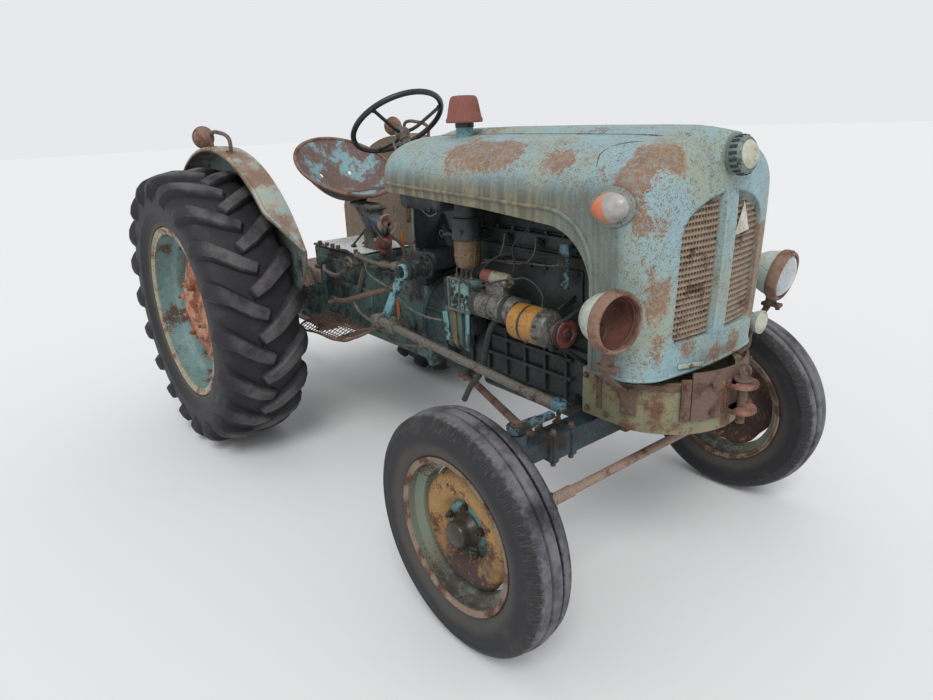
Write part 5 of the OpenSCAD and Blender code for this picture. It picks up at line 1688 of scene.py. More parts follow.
def mudguard(side):
    rows, outer_edge = [], []
    for i in range(79):
        degrees = 26.3 + 129.7 * i / 78
        x = GUARD_R * math.cos(math.radians(degrees))
        share = min(max((0.706 - x) / (0.706 - 0.583), 0), 1)
        width = (GUARD_OUT - GUARD_IN) * share ** 0.8 + 0.004
        rows.append([guard_place(side, degrees, GUARD_R + rise * min(1, width / 0.05), GUARD_IN + width * t)
                     for t, rise in GUARD_SECTION])
        outer_edge.append(guard_place(side, degrees, GUARD_R - 0.008, GUARD_IN + width * 0.992))
    band = laid_sheet(rows)
    rolled = pipe(outer_edge[::3], 0.0052, 8)
    plate_line = [(-0.719, 0.039), (0.540, 0.039), (0.590, 0.136), (0.673, 0.245), (0.7045, 0.344)]
    plate_line += [(0.7825 * math.cos(math.radians(a)), 0.7825 * math.sin(math.radians(a)))
                   for a in range(27, 157, 3)]
    plate = prism([(RX + x, side * 0.4965, REAR_RADIUS + z) for x, z in plate_line], (0, side * 0.003, 0))
    front_wire = pipe([(RX + x, side * 0.4985, REAR_RADIUS + z) for x, z in plate_line[1:6]], 0.0045, 8)
    fold = [flat_bar((RX + x0, side * 0.501, REAR_RADIUS + z0), (RX + x1, side * 0.501, REAR_RADIUS + z1),
                     0.013, 0.006, (0, 1, 0), 0.0028)
            for x0, z0, x1, z1 in ((0.548, 0.10, 0.628, 0.26), (0.626, 0.255, 0.655, 0.395))]
    rivets = [ball(guard_place(side, a, 0.768, 0.5005), 0.006, (1, 0.5, 1), 10) for a in range(30, 156, 9)]
    stays = [flat_bar(guard_place(side, a, 0.13, 0.500), guard_place(side, a, 0.755, 0.500), 0.030, 0.004,
                      (0, 1, 0)) for a in (62, 118)]
    for part in [plate] + fold + stays:
        paint(part, guard_inside if side < 0 else tan_bowl)
    paint_all([rolled, front_wire] + rivets, rusty_steel)
    name = side_name(side)
    piece("mudguard_%s_leaf" % name, [band, plate, rolled, front_wire] + fold + stays + rivets, "chassis",
          guard_paint, "body_paint", "mudguard_%s" % name, angle=35)


mudguard(-1)
mudguard(1)

# %% [markdown]
# ### Handles and tail lamps
# A bent rod stands on each mudguard as a grab handle. Behind it, on a short stalk, sits a round tail lamp
# whose shell has gone the colour of rust all over.

# %% Handles and tail lamps
handles, lamps = [], []
for side in (-1, 1):
    line = [(76, 0.786), (76, 0.832), (76.9, 0.852), (78.8, 0.8605), (84.5, 0.862), (90.2, 0.8605),
            (92.1, 0.852), (93, 0.832), (93, 0.786)]
    handles.append(pipe([guard_place(side, a, r, 0.580) for a, r in line], 0.0095, 12))
    for a in (76, 93):
        handles.append(flat_bar(guard_place(side, a - 1.6, 0.793, 0.580),
                                guard_place(side, a + 1.6, 0.793, 0.580), 0.036, 0.004,
                                guard_place(side, a, 1, 0.58) - guard_place(side, a, 0, 0.58)))
        handles.append(ball(guard_place(side, a + 1.1, 0.796, 0.593), 0.006, (1, 1, 0.7), 10))
    centre = guard_place(side, 101, 0.850, 0.578)
    lamps.append(turned([(0.0, 0.0550), (0.018, 0.0520), (0.036, 0.0415), (0.0485, 0.0240),
                         (0.0525, 0.0065), (0.0560, 0.0060), (0.0560, -0.0010), (0.0530, -0.0020),
                         (0.0490, -0.0220), (0.0380, -0.0390), (0.0280, -0.0450), (0.0260, -0.0480),
                         (0.0, -0.0480)], centre, 48, (1, 0, 0)))
    lens = turned([(0.0, -0.0520), (0.014, -0.0510), (0.023, -0.0490), (0.0265, -0.0460), (0.0, -0.0450)],
                  centre, 32, (1, 0, 0))
    lamps.append(paint(lens, maroon))
    low = guard_place(side, 101, 0.789, 0.578)
    lamps.append(drum(low, centre - (centre - low) * 0.2, 0.0095, 0.001, 16))
    lamps.append(drum(low, low + (centre - low) * 0.10, 0.020, 0.002, 20))
piece("grab_handles_bent", handles, "chassis", rusty_steel, "bare_rusty_steel", "grab_handles")
piece("tail_lamps_round", lamps, "chassis", lamp_rim_rust, "lamp_shell", "tail_lamps", angle=45)

# %% [markdown]
# ## Seat
# The seat is a pressed pan, scooped at the back and flattened to a lip in front, with its rim rolled
# outwards. Rows of points run from its lowest place to the rim.

# %% Seat pan
SEAT_LOW = Vector((RX + 0.345, 0, 1.1905))
SEAT_RIM = Vector((RX + 0.250, 0, 1.360))


def seat_rim(a, grow=0.0):
    length = 0.270 + grow
    width = (0.256 + grow) * (1 - 0.10 * max(math.cos(a), 0) ** 2)
    swing = length * math.cos(a)
    return SEAT_RIM + Vector((swing * math.cos(math.radians(30)), width * math.sin(a),
                              -swing * math.sin(math.radians(30))))


rows = []
for j in range(19):
    s = j / 18
    row = []
    for a in full_turn(72):
        rim = seat_rim(a)
        front = max(math.cos(a), 0) ** 2
        lift = s ** (2.3 - 0.7 * front)
        spot = SEAT_LOW + (rim - SEAT_LOW) * s ** 0.92
        spot.z = SEAT_LOW.z + (rim.z - SEAT_LOW.z) * lift + 0.010 * front * math.sin(s * math.pi)
        row.append(spot)
    rows.append(row)
pan = laid_sheet(rows, 0.003, closed=True)
for x, y in ((0.30, 0.0), (0.22, 0.055), (0.22, -0.055), (0.13, 0.085), (0.13, -0.085)):
    cut(pan, drum((RX + x, y, 1.10), (RX + x, y, 1.40), 0.0085, sides=16))
rim_line = [seat_rim(a, 0.003) for a in full_turn(40)]
roll = paint(pipe(rim_line, 0.0095, 12), lamp_rim_rust)
lip = flat_bar(seat_rim(0.62, -0.02) + Vector((0, 0, -0.006)),
               seat_rim(-0.62, -0.02) + Vector((0, 0, -0.006)), 0.030, 0.005, (0.3, 0, 1), 0.002)
washers = [drum((RX + 0.345 + x, y, 1.1915), (RX + 0.345 + x, y, 1.1965), 0.015, 0.002, 20)
           for x, y in ((0.02, 0.025), (0.02, -0.025), (-0.03, 0.0))]
piece("seat_pan_pressed", [pan, roll] + [paint(w, rusty_steel) for w in [lip] + washers], "chassis",
      seat_paint, "body_paint", "seat_pan", angle=50)

# %% [markdown]
# ### Under the seat
# A cast arm rises from the gearbox cover and carries the seat. Its spring is a coil in front, held by a
# rusty wheel, with a thin rod slanting down from the arm's top. A brown tool box stands beside it.

# %% Seat arm, spring and wheel
arm = []
for side in (-1, 1):
    line = [(-0.535, 0.960), (-0.388, 0.960), (-0.395, 0.985), (-0.418, 1.010), (-0.425, 1.060),
            (-0.432, 1.110), (-0.440, 1.150), (-0.450, 1.183), (-0.600, 1.183), (-0.590, 1.165),
            (-0.545, 1.150), (-0.500, 1.118), (-0.474, 1.075), (-0.476, 1.020), (-0.490, 0.985)]
    y = side * 0.036
    arm.append(prism([(x, y, z) for x, z in line], (0, side * 0.012, 0), 0.003))
    arm.append(flat_bar((-0.468, side * 0.050, 1.070), (-0.545, side * 0.050, 1.165), 0.010, 0.007))
    arm.append(bolt_row((-0.520, side * 0.040, 0.978), (-0.405, side * 0.040, 0.978), 2, (0, 0, 1), 0.018,
                        0.012))
arm.append(block((-0.520, -0.036, 0.962), (-0.405, 0.036, 0.982), 0.003))
arm.append(block((-0.470, -0.036, 1.020), (-0.448, 0.036, 1.160), 0.003))
arm.append(drum((-0.605, 0, 1.172), (-0.605, 0, 1.188), 0.046, 0.002))
arm.append(drum((-0.448, -0.060, 1.165), (-0.448, 0.060, 1.165), 0.015, 0.003, 20))
arm.append(flat_bar((-0.480, -0.048, 0.965), (-0.480, -0.048, 1.060), 0.016, 0.014))
coil = []
for i in range(9):
    bpy.ops.mesh.primitive_torus_add(major_radius=0.036, minor_radius=0.0062, major_segments=32,
                                     minor_segments=10, location=(-0.415 + i * 0.0142, -0.036, 1.098),
                                     rotation=(0, math.radians(86), 0))
    coil.append(settle(bpy.context.object))
coil.append(drum((-0.435, -0.036, 1.098), (-0.290, -0.036, 1.098), 0.029, 0.002))
paint_all(coil, coil_blue)
wheel = turned([(0.012, -0.006), (0.040, -0.006), (0.047, -0.010), (0.050, -0.008), (0.050, -0.004),
                (0.045, 0.003), (0.050, 0.010), (0.050, 0.014), (0.047, 0.016), (0.040, 0.012),
                (0.020, 0.012), (0.018, 0.022), (0.010, 0.022), (0.010, -0.006), (0.012, -0.006)],
               (-0.285, -0.038, 1.103), 48, (1, 0, -0.05))
paint(wheel, pink_dust)
slant = pipe([(-0.448, -0.062, 1.165), (-0.34, -0.094, 1.112), (-0.245, -0.092, 1.040),
              (-0.200, -0.070, 0.985)], 0.006, 8)
foot = drum((-0.200, -0.070, 0.930), (-0.200, -0.070, 0.990), 0.012, 0.002, 16)
lump = ball((-0.322, -0.040, 1.010), 0.042, (1.15, 0.9, 1.0), 20)
neck = drum((-0.322, -0.040, 0.958), (-0.322, -0.040, 1.000), 0.030, 0.004, 24)
rod = pipe([(-0.474, -0.050, 1.060), (-0.520, -0.064, 1.015), (-0.556, -0.078, 0.980)], 0.0055, 8)
tip = drum((-0.570, -0.080, 0.968), (-0.540, -0.080, 0.972), 0.010, 0.002, 16)
paint_all((slant, foot, rod, tip), cast_dark)
paint_all((lump, neck), maroon)
piece("seat_arm_and_spring", arm + coil + [wheel, slant, foot, rod, tip, lump, neck], "chassis", dull_steel,
      "worn_steel", "seat_bracket")

# %% Tool box
tool = [block((-0.310, 0.090, 1.092), (-0.180, 0.210, 1.222), 0.005),
        block((-0.314, 0.086, 1.222), (-0.176, 0.214, 1.240), 0.005),
        block((-0.260, 0.105, 0.912), (-0.230, 0.145, 1.094), 0.003),
        flat_bar((-0.245, 0.084, 1.16), (-0.245, 0.084, 1.225), 0.020, 0.004),
        hexagon((-0.290, 0.090, 1.11), (0, -1, 0), 0.014, 0.008),
        hexagon((-0.200, 0.090, 1.11), (0, -1, 0), 0.014, 0.008),
        hexagon((-0.245, 0.125, 0.912), (0, 0, 1), 0.03, 0.012)]
piece("tool_box_brown", tool, "chassis", tan_bowl, "bare_rusty_steel", "tool_box")

# %% [markdown]
# ## Gearbox and rear axle
# The gearbox and the rear housing are heavy castings with bolted flanges. A teal cover box sits on top under
# a loose white sheet, and the axle's arms are split along a seam: dusty pink above it, teal below.

# %% Gearbox
case = [block((-0.762, -0.165, 0.552), (0.228, 0.165, 0.908), 0.014, 3)]
for x in (-0.760, 0.205):
    case.append(block((x, -0.185, 0.537), (x + 0.025, 0.185, 0.910), 0.006))
    outer_face, way = (x + 0.025, 1) if x < 0 else (x, -1)
    for side in (-1, 1):
        case.append(bolt_row((outer_face, side * 0.176, 0.57), (outer_face, side * 0.176, 0.88), 4,
                             (way, 0, 0), 0.020, 0.013))
for side in (-1, 1):
    case.append(side_block(side, (-0.56, 0.160, 0.60), (-0.26, 0.178, 0.80), 0.012, 3))
    case.append(bolt_row((-0.545, side * 0.178, 0.785), (-0.275, side * 0.178, 0.785), 5, (0, side, 0),
                         0.015, 0.010))
    case.append(bolt_row((-0.545, side * 0.178, 0.615), (-0.275, side * 0.178, 0.615), 5, (0, side, 0),
                         0.015, 0.010))
    for x0, x1 in ((-0.20, -0.08), (-0.05, 0.10)):
        case.append(flat_bar((x0, side * 0.170, 0.88), (x1, side * 0.170, 0.60), 0.014, 0.022))
    case.append(drum((0.05, side * 0.16, 0.70), (0.05, side * 0.190, 0.70), 0.060, 0.006))
    case.append(bolt_ring((0.05, side * 0.190, 0.70), (0, side, 0), 0.046, 6, 0.012, 0.008))
    case.append(drum((-0.66, side * 0.16, 0.66), (-0.66, side * 0.186, 0.66), 0.042, 0.005))
    case.append(hexagon((-0.66, side * 0.186, 0.66), (0, side, 0), 0.034, 0.014))
cover = [block((-0.860, -0.155, 0.826), (-0.375, 0.155, 0.950), 0.012, 3),
         block((-0.868, -0.163, 0.826), (-0.367, 0.163, 0.842), 0.004)]
sheet = laid_sheet([[(-0.858 + 0.478 * i / 12, y + 0.01 * math.sin(i),
                      0.9615 + 0.003 * math.sin(i * 0.9) * abs(y) / 0.15) for i in range(13)]
                    for y in (-0.150, -0.09, -0.03, 0.03, 0.09, 0.150)], 0.002)
paint(sheet, white_sheet)
rim = [flat_bar((-0.862, side * 0.150, 0.955), (-0.372, side * 0.150, 0.955), 0.014, 0.010, (0, 0, 1))
       for side in (-1, 1)]
studs = [hexagon((x, side * 0.148, 0.958), (0, 0, 1), 0.026, 0.020)
         for x in (-0.80, -0.72, -0.66, -0.60, -0.42) for side in (-1, 1)]
top = [drum((0.05, 0, 0.905), (0.05, 0, 0.935), 0.11, 0.006),
       bolt_row((-0.34, -0.13, 0.908), (0.18, -0.13, 0.908), 6, (0, 0, 1)),
       bolt_row((-0.34, 0.13, 0.908), (0.18, 0.13, 0.908), 6, (0, 0, 1)),
       block((-0.34, -0.11, 0.906), (-0.06, 0.11, 0.926), 0.008)]
lumps = [ball((-0.20 + 0.09 * i, -0.125 + 0.012 * (i % 2), 0.925 + 0.008 * (i % 3)), 0.034, (1.3, 0.9, 0.7),
              16) for i in range(4)]
paint_all(studs + lumps, rusty_steel)
paint_all(top, cast_dark)
strips = [paint(flat_bar((-0.138, -0.050, 1.000), (-0.138, -0.050, 1.092), 0.024, 0.008), orange_paint),
          paint(flat_bar((-0.020, -0.176, 0.700), (-0.030, -0.172, 0.800), 0.024, 0.006), orange_paint)]
piece("gearbox_case", case + cover + [sheet] + rim + studs + top + lumps + strips, "chassis", teal_case,
      "body_paint", "gearbox")

# %% Rear housing
upper = paint(block((-1.138, -0.188, 0.742), (-0.762, 0.188, 0.824), 0.020, 3), pink_dust)
housing = [block((-1.138, -0.188, 0.512), (-0.762, 0.188, 0.748), 0.018, 3), upper,
           block((-1.150, -0.140, 0.56), (-1.120, 0.140, 0.78), 0.008),
           bolt_row((-1.150, -0.125, 0.765), (-1.150, 0.125, 0.765), 5, (-1, 0, 0)),
           bolt_row((-1.150, -0.125, 0.575), (-1.150, 0.125, 0.575), 5, (-1, 0, 0)),
           drum((-1.120, 0, 0.660), (-1.162, 0, 0.660), 0.046, 0.005),
           bolt_ring((-1.162, 0, 0.66), (-1, 0, 0), 0.036, 4, 0.012)]
for side in (-1, 1):
    housing.append(turned([(0.0, 0.185), (0.150, 0.185), (0.152, 0.190), (0.152, 0.206), (0.146, 0.212),
                           (0.132, 0.216), (0.118, 0.245), (0.102, 0.300), (0.092, 0.370), (0.088, 0.440),
                           (0.096, 0.462), (0.110, 0.468), (0.112, 0.474), (0.112, 0.488), (0.108, 0.4915),
                           (0.0, 0.4915)], (RX, 0, REAR_RADIUS), 64, (0, side, 0)))
    housing.append(bolt_ring((RX, side * 0.212, REAR_RADIUS), (0, side, 0), 0.134, 10, 0.018, 0.013, 0.3))
    housing.append(bolt_ring((RX, side * 0.468, REAR_RADIUS), (0, -side, 0), 0.100, 8, 0.014, 0.010, 0.2))
    housing.append(side_block(side, (RX - 0.100, 0.215, 0.733), (RX + 0.100, 0.465, 0.741), 0.002))
    housing.append(bolt_row((RX + 0.094, side * 0.25, 0.741), (RX + 0.094, side * 0.44, 0.741), 4,
                            (0, 0, 1), 0.013, 0.009))
housing_piece = piece("rear_axle_housing", housing, "chassis", teal_case, "body_paint", "axle_housing",
                      angle=35)
pink = list(housing_piece.data.materials).index(pink_dust)
for face in housing_piece.data.polygons:
    if face.center.z > 0.742 and abs(face.center.y) > 0.20:
        face.material_index = pink

# %% Drawbar and power take-off
eye = cut(drum((-1.590, 0, 0.3846), (-1.590, 0, 0.4104), 0.040, 0.003, 40),
          drum((-1.590, 0, 0.30), (-1.590, 0, 0.50), 0.016, sides=32))
drawbar = [block((-1.571, -0.040, 0.385), (-1.050, 0.040, 0.410), 0.005), eye]
post = [block((-1.140, -0.060, 0.408), (-1.070, 0.060, 0.514), 0.006),
        block((-1.160, -0.072, 0.402), (-1.050, 0.072, 0.416), 0.003),
        bolt_row((-1.145, -0.050, 0.385), (-1.145, 0.050, 0.385), 2, (0, 0, -1), 0.022, 0.014)]
piece("drawbar_plate", drawbar + post, "chassis", rusty_steel, "bare_rusty_steel", "drawbar")
shaft = turned([(0.0, 0.0), (0.0155, 0.0), (0.0175, 0.002), (0.0175, 0.014), (0.0150, 0.017),
                (0.0150, 0.023), (0.0175, 0.026), (0.0175, 0.060), (0.0150, 0.064), (0.0150, 0.0897),
                (0.0, 0.0897)], (-1.230, 0, 0.660), 48, (1, 0, 0))
keys = []
for i in range(6):
    key = block((-1.228, -0.0032, 0.6735), (-1.172, 0.0032, 0.6774), 0.0006, 1)
    key.data.transform(about((0, 0, 0.660), "X", i * 60))
    keys.append(key)
piece("pto_splined_shaft", [shaft] + keys, "chassis", dull_steel, "worn_steel", "pto_shaft")

# %% [markdown]
# ### Footrests and levers
# The footrests are old steel mesh, sagging on two brackets. Levers, pedals and rods crowd round the right
# side of the gearbox; each rod is a bent tube between the places where the photo shows it.

# %% Mesh footrests
steps = []
for side in (-1, 1):
    rows = []
    for j in range(11):
        y = 0.192 + 0.190 * j / 10
        rows.append([(x, side * y, 0.612 + 0.085 * max((x + 0.26) / 0.20, 0) ** 1.6 - 0.022 * (j / 10) ** 2
                      + 0.006 * math.sin(9 * x + j)) for x in [-0.680 + 0.600 * i / 24 for i in range(25)]])
    mesh = laid_sheet(rows, 0)
    for vertex in mesh.data.vertices:
        vertex.co.x += (abs(vertex.co.y) - 0.19) * 0.12
    apply_modifier(mesh, "WIREFRAME", thickness=0.0058, use_even_offset=False)
    border = [rows[0][0], rows[10][0], rows[10][8], rows[10][16], rows[10][24], rows[0][24]]
    edge = pipe([(x + (abs(y) - 0.19) * 0.12, y, z) for x, y, z in border], 0.006, 8)
    arms = [flat_bar((x, side * 0.160, z), (x, side * 0.352, z - 0.010), 0.040, 0.010, (0, 0, 1))
            for x, z in ((-0.50, 0.598), (-0.30, 0.598))]
    hanger = flat_bar((-0.10, side * 0.178, 0.655), (-0.10, side * 0.35, 0.672), 0.030, 0.008, (0, 0, 1))
    steps += [mesh, edge, hanger] + arms
piece("mesh_footrests", steps, "chassis", rusty_steel, "bare_rusty_steel", "step_plates")

# %% Levers, pedals and rods
rods = []
for (x0, y0), (x1, y1, z1) in (((-0.020, 0.060), (-0.100, 0.090, 1.170)),
                               ((-0.120, -0.060), (-0.170, -0.120, 1.090))):
    rods.append(drum((x0, y0, 0.905), (x0, y0, 0.932), 0.026, 0.004, 24))
    rods.append(turned([(0.024, 0.0), (0.022, 0.014), (0.014, 0.024), (0.010, 0.032), (0.008, 0.034)],
                       (x0, y0, 0.930), 24, (0, 0, 1)))
    rods.append(pipe([(x0, y0, 0.950), (x0 - 0.01, y0 + 0.004, 1.01), (x1, y1, z1)], 0.0075, 10))
    rods.append(paint(knob((x1, y1, z1 + 0.005)), black_wheel))
handle = pipe([(-0.660, -0.205, 0.870), (-0.600, -0.235, 0.862), (-0.520, -0.250, 0.858),
               (-0.450, -0.250, 0.860), (-0.390, -0.240, 0.885), (-0.345, -0.225, 0.920)], 0.0115, 10)
loop = [(-0.360 + 0.030 * math.cos(a), -0.228, 0.930 + 0.026 * math.sin(a)) for a in full_turn(14)]
ring_bar = pipe(loop, 0.009, 10)
cross_shaft = drum((-0.352, -0.160, 0.925), (-0.352, -0.245, 0.925), 0.014, 0.002, 16)
pedal = [pipe([(-0.430, -0.285, 0.742), (-0.360, -0.282, 0.752), (-0.160, -0.250, 0.815),
               (-0.020, -0.195, 0.860)], 0.0125, 10),
         flat_bar((-0.452, -0.315, 0.735), (-0.425, -0.255, 0.745), 0.034, 0.008, (0, 0, 1)),
         drum((-0.020, -0.160, 0.860), (-0.020, -0.205, 0.860), 0.020, 0.003, 20)]
hanging = [pipe([(-0.260, -0.270, 0.785), (-0.252, -0.270, 0.745), (-0.150, -0.268, 0.700),
                 (-0.085, -0.262, 0.690)], 0.0075, 8),
           flat_bar((-0.300, -0.180, 0.905), (-0.335, -0.222, 0.745), 0.022, 0.006, (1, 0, 0))]
link = [pipe([(-0.345, -0.185, 0.965), (-0.250, -0.190, 0.955), (-0.120, -0.192, 0.952),
              (0.010, -0.198, 0.965)], 0.011, 10),
        pipe([(-0.330, -0.170, 0.940), (-0.200, -0.172, 0.938), (-0.040, -0.176, 0.945)], 0.008, 8),
        ball((-0.345, -0.185, 0.965), 0.020, (1, 1, 1), 16),
        ball((0.012, -0.198, 0.965), 0.022, (1, 1, 1), 16),
        drum((0.012, -0.150, 0.965), (0.012, -0.205, 0.965), 0.011, 0.002, 16),
        drum((-0.340, -0.150, 0.960), (-0.340, -0.195, 0.960), 0.011, 0.002, 16)]
thin = pipe([(-0.235, -0.205, 0.940), (-0.224, -0.212, 0.916), (0.000, -0.232, 0.868),
             (0.285, -0.262, 0.808), (0.400, -0.205, 0.790)], 0.0048, 8)
springs = [flat_bar((-0.240, -0.160, 0.940), (-0.232, -0.214, 0.942), 0.016, 0.010)]
low_shaft = [drum((0.030, -0.160, 0.700), (0.030, -0.270, 0.700), 0.018, 0.003, 20),
             drum((0.030, -0.255, 0.700), (0.030, -0.272, 0.700), 0.034, 0.004, 24),
             pipe([(0.030, -0.262, 0.700), (0.120, -0.262, 0.690), (0.230, -0.258, 0.712)], 0.012, 10),
             pipe([(0.030, -0.262, 0.720), (-0.030, -0.262, 0.735), (-0.080, -0.262, 0.716)], 0.010, 10),
             pipe([(-0.120, -0.240, 0.640), (0.060, -0.240, 0.625), (0.240, -0.225, 0.645)], 0.007, 8)]
for part in [handle, ring_bar, cross_shaft] + hanging + link + springs + low_shaft:
    paint(part, cast_dark if part in low_shaft[2:4] else dull_steel)
paint_all(pedal, rusty_steel)
paint(thin, bright_metal)
piece("levers_and_pedals",
      rods + [handle, ring_bar, cross_shaft] + pedal + hanging + link + [thin] + springs + low_shaft,
      "chassis", rusty_steel, "bare_rusty_steel", "levers")

# %% [markdown]
# ## Steering
# The wheel's rim is a ring on three round spokes, over a grey steel hub. The column runs down through the
# bonnet to the steering box, whose blue side tube carries the drop arm; the drag link takes the movement
# to the front axle.

# %% Steering wheel and column
WHEEL_CENTRE = Vector((RX + 0.765, 0, 1.573))
lean = Matrix.Translation(WHEEL_CENTRE) @ Matrix.Rotation(math.radians(-36), 4, "Y")
bpy.ops.mesh.primitive_torus_add(major_radius=0.216, minor_radius=0.0125, major_segments=96,
                                 minor_segments=16)
rim = bpy.context.object
rim.data.transform(lean)
grips = []
for i in range(40):
    a = i * 2 * math.pi / 40
    grip = ball((0.216 * math.cos(a), 0.216 * math.sin(a), -0.0095), 0.0062, (1, 1, 0.6), 8)
    grip.data.transform(lean)
    grips.append(grip)
spokes = []
for a in (60, 180, 300):
    a = math.radians(a)
    line = [(r * math.cos(a), r * math.sin(a), z)
            for r, z in ((0.018, -0.056), (0.060, -0.054), (0.130, -0.030), (0.200, -0.003))]
    spoke = pipe(line, 0.0085, 10)
    spoke.data.transform(lean)
    boot = pipe([line[3], (0.214 * math.cos(a), 0.214 * math.sin(a), 0.0)], 0.0125, 10)
    boot.data.transform(lean)
    spokes += [spoke, boot]
hub = turned([(0.0, -0.034), (0.018, -0.035), (0.029, -0.042), (0.034, -0.054), (0.034, -0.066),
              (0.027, -0.076), (0.024, -0.090), (0.020, -0.0915), (0.0, -0.0915)], (0, 0, 0), 40, (0, 0, 1))
nut = hexagon((0, 0, -0.036), (0, 0, 1), 0.026, 0.014)
for part in (hub, nut):
    part.data.transform(lean)
    paint(part, dull_steel)
piece("steering_wheel_rim", [rim] + grips + spokes + [hub, nut], "steering_wheel", black_wheel,
      "black_plastic", "steering_wheel")

# %% Column and steering box
down = axis
column = [drum(column_hub + down * 0.031, column_hub + down * 0.210, 0.0195, 0.002, 32),
          drum(column_hub + down * 0.100, column_hub + down * 0.118, 0.0245, 0.003, 32)]
paint_all(column, dull_steel)
column.append(drum(column_hub + down * 0.205, column_hub + down * 0.600, 0.0215, 0.002, 32))
column.append(drum(column_hub + down * 0.520, column_hub + down * 0.600, 0.036, 0.004, 32))
clamp_rod = pipe([(-0.150, -0.055, 1.500), (-0.090, -0.075, 1.440), (0.030, -0.085, 1.330)], 0.006, 8)
gear = [block((0.150, -0.190, 0.908), (0.228, 0.055, 1.055), 0.012, 3),
        block((0.222, -0.190, 0.984), (0.300, 0.055, 1.060), 0.012, 3),
        bolt_row((0.165, -0.170, 1.055), (0.215, -0.170, 1.055), 2, (0, 0, 1)),
        bolt_row((0.165, 0.035, 1.055), (0.215, 0.035, 1.055), 2, (0, 0, 1)),
        block((0.140, -0.120, 0.906), (0.150, 0.050, 0.99), 0.003)]
PIVOT = Vector((FX - 0.895, 0, 1.000))
tube = drum(beside(PIVOT, -0.292), beside(PIVOT, -0.186), 0.035, 0.003, 40)
collars = [drum(beside(PIVOT, -0.3093), beside(PIVOT, -0.288), 0.041, 0.003, 40),
           drum(beside(PIVOT, -0.280), beside(PIVOT, -0.272), 0.0395, 0.002, 40),
           drum(beside(PIVOT, -0.206), beside(PIVOT, -0.188), 0.052, 0.003, 40),
           bolt_ring(beside(PIVOT, -0.206), (0, -1, 0), 0.044, 6, 0.012, 0.009)]
paint(tube, flaked_blue)
paint_all(collars + gear, cast_dark)
piece("steering_box_and_column", column + [paint(clamp_rod, dull_steel)] + gear + [tube] + collars,
      "chassis", cast_dark, "engine_casting", "steering_box")

# %% Drop arm and drag link
LOWER = Vector((FX - 1.060, 0, 0.770))
arm_parts = [drum(beside(PIVOT, -0.328), beside(PIVOT, -0.310), 0.032, 0.003, 40),
             drum(beside(LOWER, -0.328), beside(LOWER, -0.310), 0.024, 0.003, 40),
             flat_bar(beside(PIVOT, -0.319), beside(LOWER, -0.319), 0.042, 0.013, (0, 1, 0), 0.003)]
arm_nuts = [paint(hexagon(beside(PIVOT, -0.328), (0, -1, 0), 0.038, 0.022), cast_dark),
            paint(drum(beside(PIVOT, -0.328), beside(PIVOT, -0.356), 0.011, 0.002, 16), cast_dark)]
piece("drop_arm_pale", arm_parts + arm_nuts, "pitman_arm", speckled_blue, "body_paint", "pitman_arm")

BALL = Vector((FX + 0.030, -0.360, 0.702))
REAR_EYE = Vector((LOWER.x, -0.360, LOWER.z))
way = (REAR_EYE - BALL).normalized()
link = [drum(BALL + way * 0.13, REAR_EYE - way * 0.14, 0.0165, 0.0, 24),
        drum(REAR_EYE - way * 0.150, REAR_EYE, 0.0205, 0.002, 24),
        drum(beside(REAR_EYE, -0.024), beside(REAR_EYE, 0.028), 0.024, 0.004, 32),
        drum(REAR_EYE - way * 0.036, REAR_EYE + way * 0.006, 0.028, 0.005, 32),
        drum(REAR_EYE - way * 0.145, REAR_EYE - way * 0.122, 0.028, 0.003, 24),
        flat_bar(REAR_EYE - way * 0.134 + Vector((0, 0, 0.020)),
                 REAR_EYE - way * 0.134 + Vector((0, 0, 0.046)), 0.022, 0.016, (0, 1, 0)),
        hexagon(REAR_EYE - way * 0.134 + Vector((0, -0.008, 0.038)), (0, -1, 0), 0.014, 0.009)]
front_end = [drum(BALL + way * 0.135, BALL + way * 0.012, 0.0205, 0.002, 24),
             drum(above(BALL, -0.010), above(BALL, 0.024), 0.0255, 0.004, 32),
             hexagon(above(BALL, 0.022), (0, 0, 1), 0.022, 0.008)]
paint_all(front_end[1:], flaked_blue)
piece("drag_link_tube", link + front_end, "drag_link", dull_steel, "worn_steel", "drag_link")

# %% [markdown]
# ## The engine
# A tall cast block stands on a wider crankcase with upright ribs, and the sump hangs under it. The casting is
# two boxes with rounded edges; ribs, rails and bolt rows are added because they catch the light in the
# dark bay.

# %% Block, crankcase and sump
beam_paint = weathered("axle beam paint", tone(44, 48, 50), tone(60, 92, 106), tone(84, 66, 54),
                       tone(40, 34, 32), tone(46, 46, 44), rust_cover=0.42, dirt_cover=0.60, scale=8,
                       streaks=0.0)
cap_rust = weathered("intake cap rust", tone(136, 80, 68), tone(120, 74, 64), tone(150, 92, 76),
                     tone(84, 52, 46), tone(106, 84, 74), rust_cover=0.44, dirt_cover=0.18, scale=12,
                     streaks=0.1, paint_roughness=0.7)
iron = [block((0.402, -0.133, 0.652), (1.178, 0.133, 1.136), 0.008),
        block((0.402, -0.158, 0.612), (1.066, 0.158, 0.818), 0.010),
        block((1.050, -0.158, 0.654), (1.138, 0.158, 0.818), 0.008),
        block((0.405, -0.170, 0.603), (1.064, 0.170, 0.617), 0.003),
        block((0.492, -0.108, 0.512), (1.064, 0.108, 0.604), 0.022, 3),
        block((1.176, -0.105, 0.665), (1.184, 0.105, 0.980), 0.003)]
